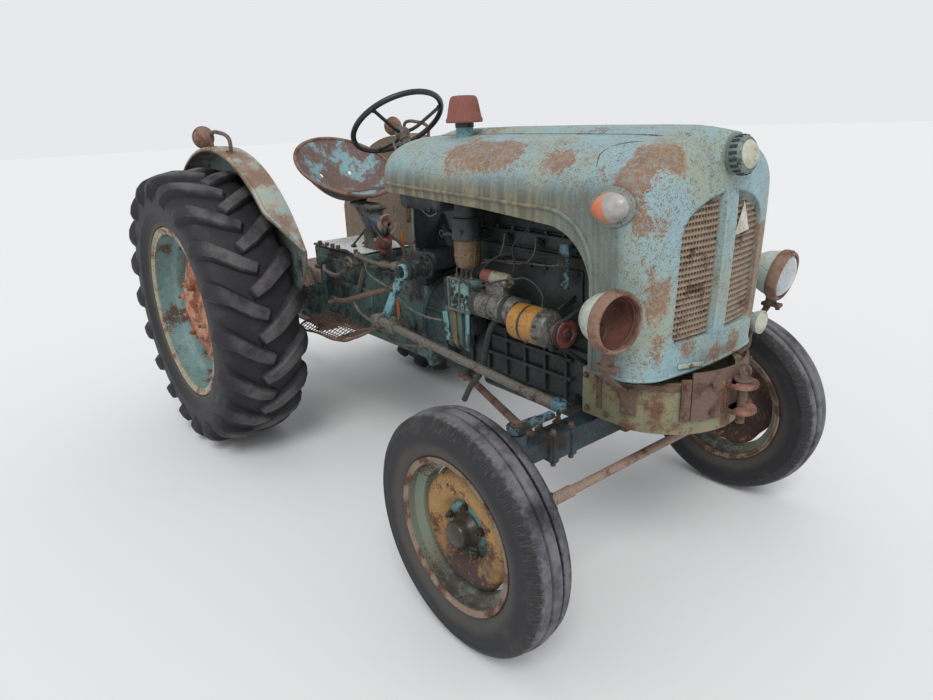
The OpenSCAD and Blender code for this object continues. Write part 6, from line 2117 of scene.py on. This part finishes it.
for side in (-1, 1):
    for i in range(6):
        x = 0.506 + 0.105 * i
        iron.append(block((x - 0.006, side * 0.163 - 0.009, 0.630),
                          (x + 0.006, side * 0.163 + 0.009, 0.800), 0.003))
    for z in (0.700, 0.772):
        iron.append(block((0.600, side * 0.168 - 0.008, z), (1.060, side * 0.168 + 0.008, z + 0.014), 0.004))
    iron.append(block((0.590, side * 0.137 - 0.006, 0.860), (1.080, side * 0.137 + 0.006, 1.095), 0.005))
    iron.append(bolt_row((0.605, side * 0.143, 1.082), (1.065, side * 0.143, 1.082), 7, (0, side, 0), 0.014))
    iron.append(bolt_row((0.605, side * 0.143, 0.873), (1.065, side * 0.143, 0.873), 7, (0, side, 0), 0.014))
    iron.append(bolt_row((0.430, side * 0.164, 0.603), (1.045, side * 0.164, 0.603), 10, (0, 0, -1), 0.013))
    iron.append(bolt_row((0.430, side * 0.150, 0.818), (0.560, side * 0.150, 0.818), 3, (0, 0, 1), 0.014))
iron.append(hexagon((0.60, 0, 0.512), (0, 0, -1), 0.026, 0.013))
iron.append(bolt_row((1.184, -0.092, 0.69), (1.184, -0.092, 0.95), 4, (1, 0, 0), 0.013, 0.008))
iron.append(bolt_row((1.184, 0.092, 0.69), (1.184, 0.092, 0.95), 4, (1, 0, 0), 0.013, 0.008))
piece("engine_block_cast", iron, "chassis", cast_dark, "engine_casting", "engine_block")

# %% [markdown]
# ### Head and rocker cover
# The head is a flat slab held by studs. Its pressed cover has round shoulders, so its cross section is
# drawn as a half round and pulled along the engine.

# %% Head, cover and injectors
head = [block((0.422, -0.118, 1.142), (1.158, 0.118, 1.192), 0.004),
        block((0.420, -0.1195, 1.135), (1.160, 0.1195, 1.142), 0.001)]
half_round = [(-0.092, 1.194), (-0.091, 1.212), (-0.084, 1.236), (-0.070, 1.256), (-0.048, 1.269),
              (-0.020, 1.274)]
half_round += [(-y, z) for y, z in reversed(half_round)]
cover = prism([(0.455, y, z) for y, z in half_round], (0.670, 0, 0), 0.010)
flange = block((0.448, -0.098, 1.192), (1.132, 0.098, 1.199), 0.002)
head += [cover, flange]
head += [hexagon((x, 0, 1.273), (0, 0, 1), 0.022, 0.014) for x in (0.58, 0.79, 1.00)]
for side in (-1, 1):
    head.append(bolt_row((0.445, side * 0.109, 1.192), (1.135, side * 0.109, 1.192), 9, (0, 0, 1), 0.016,
                         0.014))
pipes = []
for i in range(4):
    x = 0.540 + 0.165 * i
    head.append(drum((x, -0.108, 1.150), (x, -0.146, 1.178), 0.011, 0.001, 16))
    head.append(hexagon((x, -0.140, 1.174), (0, -0.8, 0.6), 0.020, 0.012))
    pump_x = 0.484 + 0.030 * i
    pipes.append(pipe([(pump_x, -0.212, 1.005), (pump_x, -0.212, 1.030), (pump_x + 0.02, -0.182, 1.060),
                       (x - 0.03, -0.172, 1.075 + 0.012 * i), (x, -0.166, 1.130), (x, -0.152, 1.184)],
                      0.0032, 6))
strip = block((1.016, -0.194, 1.040), (1.063, -0.188, 1.190), 0.002)
strip_foot = block((1.020, -0.190, 1.158), (1.058, -0.112, 1.172), 0.002)
piece("cylinder_head_and_cover",
      head + [paint(p, dull_steel) for p in pipes] + [paint(p, flaked_blue) for p in (strip, strip_foot)],
      "chassis", cast_dark, "engine_casting", "cylinder_head")

# %% Bell housing
BELL_Z = 0.750
bell = [drum((0.232, 0, BELL_Z), (0.372, 0, BELL_Z), 0.212, 0.010, 64),
        drum((0.372, 0, BELL_Z), (0.398, 0, BELL_Z), 0.2235, 0.004, 64),
        drum((0.230, 0, BELL_Z), (0.250, 0, BELL_Z), 0.2235, 0.004, 64),
        block((0.234, -0.108, 0.517), (0.396, 0.108, 0.600), 0.010),
        bolt_ring((0.372, 0, BELL_Z), (-1, 0, 0), 0.2135, 14, 0.014, 0.011),
        bolt_ring((0.250, 0, BELL_Z), (1, 0, 0), 0.2135, 14, 0.014, 0.011)]
for a in (200, 230, -50, -20, 20, 160):
    away = Vector((0, math.cos(math.radians(a)), math.sin(math.radians(a)))) * 0.214
    bell.append(flat_bar(Vector((0.248, 0, BELL_Z)) + away, Vector((0.374, 0, BELL_Z)) + away, 0.010, 0.016,
                         away))
piece("bell_housing_ribbed", bell, "chassis", cast_blue, "body_paint", "bell_housing")

# %% [markdown]
# ### Radiator and tank
# Both stand under the bonnet and are mostly hidden: the radiator behind the grille, between two pressed
# tanks, and the fuel tank in front of the driver, over a dark plate through which the column passes.

# %% Radiator
cooler = [block((1.350, -0.205, 0.870), (1.400, 0.205, 1.325), 0.002),
          block((1.342, -0.232, 1.315), (1.408, 0.232, 1.398), 0.016, 3),
          block((1.342, -0.232, 0.817), (1.408, 0.232, 0.880), 0.014, 3),
          block((1.356, -0.034, 1.390), (1.394, 0.034, 1.520), 0.004),
          drum((1.375, 0.120, 1.392), (1.375, 0.120, 1.420), 0.024, 0.003, 24),
          pipe([(1.350, 0.060, 1.355), (1.300, 0.060, 1.350), (1.230, 0.055, 1.300), (1.165, 0.045, 1.235),
                (1.130, 0.045, 1.200)], 0.022, 16)]
for side in (-1, 1):
    cooler.append(block((1.346, side * 0.218 - 0.012, 0.870), (1.404, side * 0.218 + 0.012, 1.325), 0.003))
for i in range(44):
    z = 0.886 + 0.0098 * i
    cooler.append(block((1.346, -0.203, z), (1.404, 0.203, z + 0.0022), 0))
piece("radiator_finned", cooler, "chassis", cast_dark, "engine_casting", "radiator")

# %% Fuel tank and its plate
tank = [block((0.112, -0.228, 1.237), (0.398, 0.228, 1.398), 0.030, 4),
        block((0.205, -0.036, 1.392), (0.245, 0.036, 1.560 - 0.06), 0.004)]
for x in (0.165, 0.325):
    tank.append(block((x, -0.2295, 1.238), (x + 0.022, 0.2295, 1.3995), 0.006))
tank.append(block((0.111, -0.159, 0.912), (0.121, 0.159, 1.238), 0.003))
plate_edge = [pipe([(0.124, side * 0.158, 1.236), (0.125, side * 0.163, 1.140),
                    (0.128, side * 0.160, 1.040), (0.130, side * 0.150, 0.930)], 0.0055, 8)
              for side in (-1, 1)]
paint_all(plate_edge, guard_inside)
bail = pipe([(0.300 + 0.10 * i / 8, -0.2325, 1.245 - 0.020 * math.sin(math.pi * i / 8)) for i in range(9)],
            0.0035, 6)
wire_ring = [(0.405 + 0.013 * math.cos(a), -0.220, 1.160 + 0.013 * math.sin(a)) for a in full_turn(16)]
loops = [pipe(wire_ring, 0.0020, 6),
         pipe([(0.418, -0.220, 1.160), (0.440, -0.218, 1.156), (0.462, -0.220, 1.162),
               (0.500, -0.226, 1.158)], 0.0020, 6)]
piece("fuel_tank_and_plate", tank + plate_edge + [paint(p, bright_metal) for p in [bail] + loops],
      "chassis", tank_dark, "body_paint", "fuel_tank")

# %% [markdown]
# ### What the open bay shows
# From the driver forward stand the fuel filter with its tan bowl, the pale injection pump, the starter and
# the banded dynamo. Round things are profiles spun about their own axis.

# %% Air intake
INTAKE = (0.460, -0.126, 0)
stem = turned([(0.0, 1.470), (0.040, 1.470), (0.046, 1.505), (0.044, 1.516), (0.034, 1.520),
               (0.0325, 1.530), (0.0325, 1.590), (0.0, 1.590)], INTAKE, 48, (0, 0, 1))
cap = turned([(0.0, 1.577), (0.062, 1.577), (0.068, 1.574), (0.0705, 1.577), (0.0700, 1.586),
              (0.066, 1.592), (0.060, 1.622), (0.054, 1.652), (0.049, 1.664), (0.042, 1.669),
              (0.020, 1.671), (0.0, 1.671)], INTAKE, 64, (0, 0, 1))
band = turned([(0.0335, 1.556), (0.0355, 1.556), (0.0355, 1.572), (0.0335, 1.572), (0.0335, 1.556)], INTAKE,
              48, (0, 0, 1))
paint(stem, panel_blue)
paint(band, cast_dark)
elbow = paint(pipe([(0.460, -0.126, 1.478), (0.460, -0.120, 1.400), (0.472, -0.112, 1.310),
                    (0.520, -0.105, 1.245), (0.600, -0.100, 1.215)], 0.034, 20), belt_rubber)
clamps = [paint(pipe([(0.460 + 0.0355 * math.cos(a), -0.120 + 0.0355 * math.sin(a), z)
                      for a in full_turn(20)], 0.0022, 6), dull_steel) for z in (1.452, 1.402)]
piece("air_intake_capped",
      [cap, stem, band,
       elbow] + clamps + [paint(hexagon((0.4955, -0.126, 1.564), (1, 0, 0), 0.010, 0.006), cast_dark)],
      "chassis", cap_rust, "bare_rusty_steel", "air_intake")

# %% Fuel filter
FILTER = (0.560, -0.215, 0)
bowl = turned([(0.0, 1.044), (0.028, 1.044), (0.040, 1.049), (0.048, 1.060), (0.0505, 1.075),
               (0.0515, 1.092), (0.0530, 1.094), (0.0530, 1.099), (0.0515, 1.101), (0.0525, 1.150),
               (0.0560, 1.156), (0.0, 1.156)], FILTER, 48, (0, 0, 1))
top = turned([(0.0, 1.155), (0.0575, 1.155), (0.0600, 1.159), (0.0600, 1.166), (0.0570, 1.170),
              (0.0560, 1.176), (0.0560, 1.228), (0.0520, 1.238), (0.0430, 1.242), (0.0430, 1.302),
              (0.0, 1.302)], FILTER, 48, (0, 0, 1))
wire_bail = [pipe([(0.560 - 0.058 * s, -0.215 - 0.010, 1.164), (0.560 - 0.057 * s, -0.225, 1.110),
                   (0.560 - 0.040 * s, -0.225, 1.050), (0.560, -0.225, 1.036)], 0.0020, 6) for s in (-1, 1)]
nozzle = [hexagon((0.560, -0.215, 1.044), (0, 0, -1), 0.022, 0.014),
          drum((0.500, -0.236, 1.168), (0.470, -0.246, 1.172), 0.008, 0.001, 12),
          hexagon((0.585, -0.264, 1.190), (0.4, -1, 0), 0.016, 0.012)]
arm = block((0.536, -0.200, 1.150), (0.584, -0.118, 1.188), 0.004)
paint_all([top, arm] + nozzle, cast_dark)
paint_all(wire_bail, bright_metal)
piece("fuel_filter_bowl", [bowl, top, arm] + wire_bail + nozzle, "chassis", tan_bowl, "engine_casting",
      "oil_filter")

# %% Injection pump
pump_blue = weathered("pump blue", tone(118, 160, 156), tone(92, 136, 136), tone(58, 56, 50),
                      tone(30, 31, 32), tone(46, 52, 50), rust_cover=0.50, dirt_cover=0.30, scale=26,
                      streaks=0.0)
upper = block((0.474, -0.246, 0.874), (0.596, -0.172, 0.996), 0.007)
lower = block((0.418, -0.238, 0.706), (0.530, -0.172, 0.872), 0.008)
pump = [upper, paint(lower, teal_case),
        paint(block((0.540, -0.240, 0.780), (0.600, -0.160, 0.860), 0.006), cast_dark),
        paint(block((0.404, -0.225, 0.868), (0.476, -0.175, 0.985), 0.008), cast_dark)]
for a, b in (((0.470, 0.872), (0.600, 0.872)), ((0.470, 0.998), (0.600, 0.998)),
             ((0.470, 0.872), (0.470, 0.998)), ((0.600, 0.872), (0.600, 0.998)),
             ((0.535, 0.872), (0.540, 0.998))):
    pump.append(paint(pipe([(a[0], -0.248, a[1]), (b[0], -0.248, b[1])], 0.0055, 8, curved=False),
                      dull_steel))
pump.append(paint(flat_bar((0.586, -0.249, 0.868), (0.577, -0.249, 0.716), 0.022, 0.006, (0, 1, 0)),
                  panel_blue))
pump.append(paint(flat_bar((0.430, -0.243, 0.850), (0.450, -0.243, 0.730), 0.030, 0.006, (0, 1, 0)),
                  pump_blue))
pump.append(paint(flat_bar((0.490, -0.243, 0.860), (0.500, -0.243, 0.722), 0.024, 0.006, (0, 1, 0)),
                  tan_bowl))
for i in range(4):
    pump.append(paint(drum((0.484 + 0.030 * i, -0.212, 0.992), (0.484 + 0.030 * i, -0.212, 1.010), 0.009,
                           0.001, 12), dull_steel))
    pump.append(paint(hexagon((0.492 + 0.030 * i, -0.246, 0.935), (0, -1, 0), 0.014, 0.008), cast_dark))
pump.append(paint(bolt_row((0.430, -0.238, 0.715), (0.520, -0.238, 0.715), 3, (0, -1, 0), 0.014), cast_dark))
piece("injection_pump_pale", pump, "chassis", pump_blue, "body_paint", "injection_pump")

# %% Starter motor with its small cylinder
STARTER, SMALL_CYLINDER = (0, -0.235, 0.928), (0, -0.235, 1.035)
body = turned([(0.0, 0.632), (0.030, 0.632), (0.046, 0.638), (0.049, 0.660), (0.0535, 0.664),
               (0.0535, 0.800), (0.050, 0.804), (0.050, 0.826), (0.053, 0.829), (0.052, 0.846),
               (0.040, 0.857), (0.0, 0.858)], STARTER, 48, (1, 0, 0))
small = turned([(0.0, 0.731), (0.026, 0.731), (0.026, 0.812), (0.022, 0.819), (0.0, 0.819)], SMALL_CYLINDER,
               32, (1, 0, 0))
small_end = turned([(0.0, 0.674), (0.020, 0.674), (0.0255, 0.680), (0.0270, 0.731), (0.0, 0.731)],
                   SMALL_CYLINDER, 32, (1, 0, 0))
starter = [body, paint(drum((0.634, -0.235, 0.928), (0.676, -0.235, 0.928), 0.0545, 0.004, 40), cast_dark),
           paint(drum((0.806, -0.235, 0.928), (0.826, -0.235, 0.928), 0.0548, 0.002, 40), cast_dark),
           paint(drum((0.742, -0.235, 0.928), (0.747, -0.235, 0.928), 0.0548, 0.001, 40), cast_dark),
           block((0.700, -0.252, 0.972), (0.800, -0.218, 1.016), 0.004), paint(small, dull_cream),
           paint(small_end, maroon), block((0.640, -0.215, 0.895), (0.700, -0.130, 0.965), 0.006),
           block((0.790, -0.215, 0.905), (0.830, -0.130, 0.950), 0.006),
           paint(bolt_ring((0.858, -0.235, 0.928), (1, 0, 0), 0.034, 3, 0.012, 0.008), cast_dark),
           paint(drum((0.668, -0.235, 1.035), (0.660, -0.235, 1.035), 0.007, 0.001, 12), cast_dark)]
piece("starter_motor_grey", starter, "chassis", bright_metal, "worn_steel", "starter_motor")

# %% Dynamo
DYNAMO = (0, -0.245, 0.905)
yellow = turned([(0.0, 0.868), (0.052, 0.868), (0.063, 0.874), (0.0655, 0.884), (0.0655, 0.925),
                 (0.0635, 0.927), (0.0635, 0.936), (0.0655, 0.938), (0.0655, 0.998), (0.0, 0.998)], DYNAMO,
                56, (1, 0, 0))
silver = turned([(0.0, 0.997), (0.0645, 0.997), (0.0655, 1.002), (0.0655, 1.026), (0.058, 1.040),
                 (0.050, 1.046), (0.024, 1.052), (0.020, 1.062), (0.0, 1.062)], DYNAMO, 56, (1, 0, 0))
slots = []
for i in range(10):
    slot = block((1.004, -0.005, 0.0642), (1.024, 0.005, 0.0662), 0.0005, 1)
    slot.data.transform(Matrix.Translation(DYNAMO) @ Matrix.Rotation(math.radians(36 * i), 4, "X"))
    slots.append(paint(slot, cast_dark))
gap = turned([(0.0640, 0.926), (0.0648, 0.926), (0.0648, 0.937), (0.0640, 0.937), (0.0640, 0.926)], DYNAMO,
             56, (1, 0, 0))
pulley = turned([(0.0, 1.064), (0.020, 1.064), (0.022, 1.078), (0.046, 1.079), (0.048, 1.083),
                 (0.040, 1.092), (0.040, 1.096), (0.048, 1.105), (0.046, 1.109), (0.034, 1.109),
                 (0.030, 1.103), (0.018, 1.103), (0.017, 1.112), (0.0, 1.112)], DYNAMO, 56, (1, 0, 0))
dynamo = [yellow, paint(silver, bright_metal), paint(gap, cast_dark), paint(pulley, maroon)] + slots
dynamo.append(paint(hexagon((1.112, -0.245, 0.905), (1, 0, 0), 0.020, 0.010), cast_dark))
for x in (0.885, 1.010):
    dynamo.append(paint(block((x, -0.235, 0.820), (x + 0.022, -0.150, 0.850), 0.003), cast_dark))
dynamo.append(paint(flat_bar((1.040, -0.215, 0.965), (1.052, -0.110, 1.010), 0.024, 0.006, (1, 0, 0)),
                    cast_dark))
piece("dynamo_banded", dynamo, "chassis", yellow_band, "worn_steel", "dynamo")

# %% [markdown]
# ### Fan, pulleys and belt
# The belt's path is the outline that a band takes round three circles, so the outer points of the three
# pulleys are walked in order. It bends forward to the dynamo, because that pulley stands further back.

# %% Fan and pulleys
FAN_Z, CRANK_Z = 1.050, 0.730


def pulley_at(y, z, radius, x0=1.184, x1=1.228):
    mid = (x0 + x1) / 2
    return turned([(0.0, x0), (radius * 0.96, x0), (radius, x0 + 0.004), (radius * 0.84, mid - 0.003),
                   (radius * 0.84, mid + 0.003), (radius, x1 - 0.004), (radius * 0.96, x1),
                   (radius * 0.66, x1), (radius * 0.60, x1 - 0.008), (0.0, x1 - 0.008)], (0, y, z), 56,
                  (1, 0, 0))


spin = [pulley_at(0, FAN_Z, 0.060), pulley_at(0, CRANK_Z, 0.070)]
for blade in range(6):
    rows = []
    for j in range(7):
        r = 0.035 + 0.134 * j / 6
        half = math.radians(24 - 6 * j / 6)
        rows.append([Vector((1.238 + 0.0085 * math.sin((k / 4 - 0.5) * math.pi),
                             r * math.cos(math.radians(60 * blade) + (k / 4 - 0.5) * half * 1.4),
                             FAN_Z + r * math.sin(math.radians(60 * blade) + (k / 4 - 0.5) * half * 1.4)))
                     for k in range(5)])
    spin.append(paint(laid_sheet(rows, 0.0022), tank_dark))
spin.append(drum((1.226, 0, FAN_Z), (1.247, 0, FAN_Z), 0.040, 0.003, 32))
spin.append(bolt_ring((1.247, 0, FAN_Z), (1, 0, 0), 0.026, 4, 0.012, 0.008))
spin.append(hexagon((1.220, 0, CRANK_Z), (1, 0, 0), 0.034, 0.018))
circles = [(-0.245, 0.905, 0.045), (0.0, FAN_Z, 0.058), (0.0, CRANK_Z, 0.068)]
outer = []
for step in range(120):
    a = step / 120 * 2 * math.pi
    aim = (math.cos(a), math.sin(a))
    y, z, r = max(circles, key=lambda c: c[0] * aim[0] + c[1] * aim[1] + c[2])
    outer.append((y + r * aim[0], z + r * aim[1]))
path = []
for y, z in outer:
    share = min(max((-0.140 - y) / 0.075, 0), 1)
    path.append((1.206 - 0.112 * share, y, z))
path.append(path[0])
spin.append(paint(pipe(path, 0.0078, 8, curved=False), belt_rubber))
piece("fan_pulleys_and_belt", spin, "chassis", maroon, "engine_casting", "fan_pulleys")

# %% Black pipe and loose cables
black_pipe = [pipe([(0.736, -0.150, 0.880), (0.736, -0.215, 0.878), (0.722, -0.240, 0.850),
                    (0.690, -0.244, 0.770), (0.650, -0.242, 0.650), (0.560, -0.230, 0.550),
                    (0.500, -0.216, 0.472)], 0.0125, 12),
              drum((0.664, -0.243, 0.690), (0.656, -0.242, 0.668), 0.0165, 0.002, 20)]
cables = [pipe([(0.850, -0.150, 1.240), (0.812, -0.172, 1.185), (0.780, -0.180, 1.150),
                (0.795, -0.190, 1.105), (0.816, -0.215, 1.062)], 0.0035, 6),
          pipe([(0.549, -0.250, 1.005), (0.620, -0.262, 0.992), (0.715, -0.272, 1.010),
                (0.800, -0.262, 1.040), (0.858, -0.240, 1.052)], 0.0042, 6),
          pipe([(0.858, -0.240, 1.052), (0.900, -0.235, 1.060), (0.960, -0.215, 1.010),
                (0.985, -0.240, 0.970)], 0.0038, 6),
          pipe([(0.600, -0.205, 1.020), (0.680, -0.190, 1.090), (0.760, -0.170, 1.120),
                (0.900, -0.160, 1.125), (1.030, -0.150, 1.140)], 0.0050, 6)]
paint_all(cables, cast_dark)
piece("lower_black_pipe", black_pipe + cables, "chassis", cast_dark, "bare_rusty_steel", "exhaust_pipe")

# %% [markdown]
# ## The front end
# The bolster is a deep open casting, round in front, that carries the radiator, the headlamps and the
# towing jaws. The axle beam swings under it on a pin; the radius rods, the knuckles and the tie rod hang
# from the beam.

# %% Front bolster
def bolster_outline(inset):
    reach, wide = 0.262 - inset, 0.250 - inset
    first = math.asin(min(wide / reach, 1))
    points = [(1.181 + inset, wide), (1.305, wide)]
    points += [(1.305 + reach * math.cos(first * (1 - i / 24)), reach * math.sin(first * (1 - i / 24)))
               for i in range(49)]
    return points + [(1.305, -wide), (1.181 + inset, -wide)]


tub = prism([(x, y, 0.651) for x, y in bolster_outline(0.0)], (0, 0, 0.163), 0.005)
cut(tub, prism([(x, y, 0.671) for x, y in bolster_outline(0.028)], (0, 0, 0.20)))
rim_rows = [[(x + (x - 1.30) * 0.006, y * 1.006, z) for x, y in bolster_outline(0.0)[1:-1]]
            for z in (0.796, 0.804, 0.812, 0.8145)]
band = paint(laid_sheet(rim_rows, 0.003), rusty_steel)
front_rows = [[Vector((1.305 + 0.268 * math.cos(a), 0.268 * math.sin(a), z))
               for a in [math.radians(-34 + 68 * i / 16) for i in range(17)]]
              for z in (0.700, 0.740, 0.790, 0.856)]
front_sheet = paint(laid_sheet(front_rows, 0.008), rusty_steel)
bolster = [tub, band, front_sheet]
for side in (-1, 1):
    for a, z0, z1 in ((72, 0.706, 0.812), (38, 0.700, 0.838)):
        out = Vector((math.cos(math.radians(a)), side * math.sin(math.radians(a)), 0))
        foot = Vector((1.305, 0, 0)) + out * (0.266 if a > 50 else 0.272)
        bolster.append(paint(flat_bar(above(foot, z0), above(foot, z1), 0.030, 0.008, out), rusty_steel))
        for z in (z0 + 0.018, z1 - 0.018):
            bolster.append(paint(hexagon(foot + out * 0.004 + Vector((0, 0, z)), out, 0.016, 0.010),
                                 rusty_steel))
    bolster.append(paint(bolt_row((1.200, side * 0.250, 0.790), (1.290, side * 0.250, 0.790), 3,
                                  (0, side, 0), 0.018, 0.011), rusty_steel))
    bolster.append(paint(bolt_row((1.205, side * 0.250, 0.675), (1.285, side * 0.250, 0.675), 2,
                                  (0, side, 0), 0.016, 0.010), rusty_steel))
    bolster.append(paint(flat_bar((1.255, side * 0.252, 0.688), (1.255, side * 0.252, 0.806), 0.022, 0.006,
                                  (0, 1, 0)), rusty_steel))
    for a in (8, 20):
        out = Vector((math.cos(math.radians(a)), side * math.sin(math.radians(a)), 0))
        for z in (0.722, 0.816):
            bolster.append(paint(hexagon(Vector((1.305, 0, z)) + out * 0.272, out, 0.017, 0.011),
                                 rusty_steel))
bolster += [block((1.195, -0.069, 0.524), (1.227, 0.069, 0.652), 0.008),
            block((1.073, -0.112, 0.524), (1.105, 0.112, 0.652), 0.008),
            block((1.073, -0.140, 0.640), (1.182, 0.140, 0.653), 0.004)]
bolster.append(paint(drum((1.066, 0, 0.565), (1.234, 0, 0.565), 0.020, 0.003, 32), rusty_steel))
bolster.append(paint(hexagon((1.228, 0, 0.565), (1, 0, 0), 0.036, 0.014), rusty_steel))
piece("front_bolster_tub", bolster, "chassis", bolster_paint, "cast_frame", "front_bolster")

# %% Towing jaws
hitch = [block((1.548, -0.058, 0.708), (1.574, 0.058, 0.820), 0.004)]
for z in (0.713, 0.796):
    hitch.append(block((1.565, -0.046, z), (1.604, 0.046, z + 0.016), 0.003))
    hitch.append(drum((1.604, 0, z), (1.604, 0, z + 0.016), 0.046, 0.003, 40))
for side in (-1, 1):
    hitch.append(flat_bar((1.568, side * 0.030, 0.722), (1.568, side * 0.030, 0.804), 0.012, 0.024,
                          (1, 0, 0)))
pin = [drum((1.605, 0, 0.674), (1.605, 0, 0.830), 0.0135, 0.002, 28),
       drum((1.605, 0, 0.813), (1.605, 0, 0.822), 0.0285, 0.003, 28),
       pipe([(1.605 + 0.018 * math.cos(a), 0.004, 0.846 + 0.018 * math.sin(a)) for a in full_turn(16)],
            0.0042, 8), drum((1.605, -0.018, 0.682), (1.605, 0.018, 0.682), 0.0030, 0.0, 10)]
paint_all(pin, rusty_steel)
piece("towing_jaws_red", hitch + pin, "chassis", red_paint, "cast_frame", "front_hitch")

# %% Axle beam and radius rods
beam = [block((FX - 0.041, -0.408, 0.517), (FX + 0.041, 0.408, 0.608), 0.007)]
rods = [block((0.292, -0.088, 0.478), (0.338, 0.088, 0.513), 0.006)]
for side in (-1, 1):
    beam.append(side_block(side, (FX - 0.029, 0.400, 0.533), (FX + 0.029, 0.520, 0.597), 0.006))
    beam.append(drum((FX, side * 0.520, 0.507), (FX, side * 0.520, 0.651), 0.0325, 0.004, 40))
    beam.append(drum((FX, side * 0.520, 0.600), (FX, side * 0.520, 0.612), 0.0365, 0.002, 40))
    for y in (0.300, 0.385):
        beam.append(block((FX - 0.046, side * y - 0.013, 0.512), (FX + 0.046, side * y + 0.013, 0.613),
                          0.003))
        for x in (FX - 0.030, FX + 0.030):
            beam.append(paint(hexagon((x, side * y, 0.613), (0, 0, 1), 0.020, 0.015), rusty_steel))
            beam.append(paint(hexagon((x, side * y, 0.512), (0, 0, -1), 0.020, 0.015), rusty_steel))
    rods.append(drum((1.088, side * 0.388, 0.565), (0.320, side * 0.062, 0.492), 0.0155, 0.0, 28))
    rods.append(block((FX - 0.076, side * 0.388 - 0.017, 0.547), (FX - 0.043, side * 0.388 + 0.017, 0.583),
                      0.005))
    rods.append(drum((1.060, side * 0.376, 0.5623), (1.030, side * 0.3635, 0.5595), 0.0205, 0.002, 28))
    rods.append(hexagon((0.315, side * 0.060, 0.478), (0, 0, -1), 0.030, 0.014))
piece("axle_beam_clamped", beam, "chassis", beam_paint, "cast_frame", "axle_beam")
piece("radius_rods_round", rods, "chassis", rusty_steel, "bare_rusty_steel", "radius_rods")

# %% [markdown]
# ### Knuckles and tie rod
# A kingpin turns in each end of the beam. Under it hang the stub axle and an arm to the tie rod, and on the
# right a second arm on top takes the drag link's ball.

# %% Knuckles
KINGPIN_Y, STUB_Z = 0.520, 0.394
TIE_X, TIE_Z = FX + 0.150, 0.472


def knuckle(side):
    y = side * KINGPIN_Y
    parts = [drum((FX, y, 0.342), (FX, y, 0.680), 0.0178, 0.002, 28),
             drum((FX, y, 0.347), (FX, y, 0.503), 0.0335, 0.004, 40),
             drum((FX, y, STUB_Z), (FX, side * 0.752, STUB_Z), 0.0235, 0.002, 32),
             drum((FX, side * 0.545, STUB_Z), (FX, side * 0.600, STUB_Z), 0.036, 0.004, 40),
             hexagon((FX, y, 0.345), (0, 0, -1), 0.034, 0.010)]
    arm = [flat_bar((FX + 0.012, y, 0.441), (FX + 0.145, y, 0.441), 0.044, 0.017, (0, 0, 1), 0.003),
           drum((TIE_X, y, 0.4325), (TIE_X, y, 0.4495), 0.0235, 0.003, 32),
           drum((TIE_X, y, 0.425), (TIE_X, y, 0.500), 0.0085, 0.001, 16),
           hexagon((TIE_X, y, 0.432), (0, 0, -1), 0.020, 0.010)]
    top = [drum((FX, y, 0.655), (FX, y, 0.681), 0.0315, 0.004, 40)]
    if side < 0:
        end = Vector((FX + 0.030, -0.360, 0.702))
        top += [flat_bar((FX, y, 0.668), (FX + 0.014, -0.430, 0.674), 0.040, 0.022, (0, 0, 1), 0.004),
                flat_bar((FX + 0.013, -0.440, 0.674), (FX + 0.026, -0.380, 0.682), 0.030, 0.020, (0, 0, 1),
                         0.004), ball(end, 0.0138, (1, 1, 1), 20),
                drum(above(end, -0.028), end, 0.0085, 0.0, 16)]
        paint_all(top, flaked_blue)
    cap = paint(hexagon((FX, y, 0.680), (0, 0, 1), 0.026, 0.012), rusty_steel)
    name = side_name(side)
    piece("knuckle_%s_forged" % name, parts + arm + top + [cap], "knuckle_" + name, beam_paint,
          "cast_frame", "knuckle_" + name)


knuckle(-1)
knuckle(1)

# %% Tie rod
tie = [drum((TIE_X, -0.500, TIE_Z), (TIE_X, 0.500, TIE_Z), 0.0155, 0.0, 28)]
for side in (-1, 1):
    tie += [drum((TIE_X, side * KINGPIN_Y, 0.4515), (TIE_X, side * KINGPIN_Y, 0.4925), 0.0218, 0.003, 32),
            drum((TIE_X, side * 0.440, TIE_Z), (TIE_X, side * 0.505, TIE_Z), 0.0195, 0.002, 28),
            drum((TIE_X, side * 0.425, TIE_Z), (TIE_X, side * 0.440, TIE_Z), 0.0215, 0.002, 6)]
piece("tie_rod_rusty", tie, "tie_rod", pink_dust, "bare_rusty_steel", "tie_rod")

# %% Sizes and finish
low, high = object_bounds()
print("dressed size", [round(v, 3) for v in high - low])
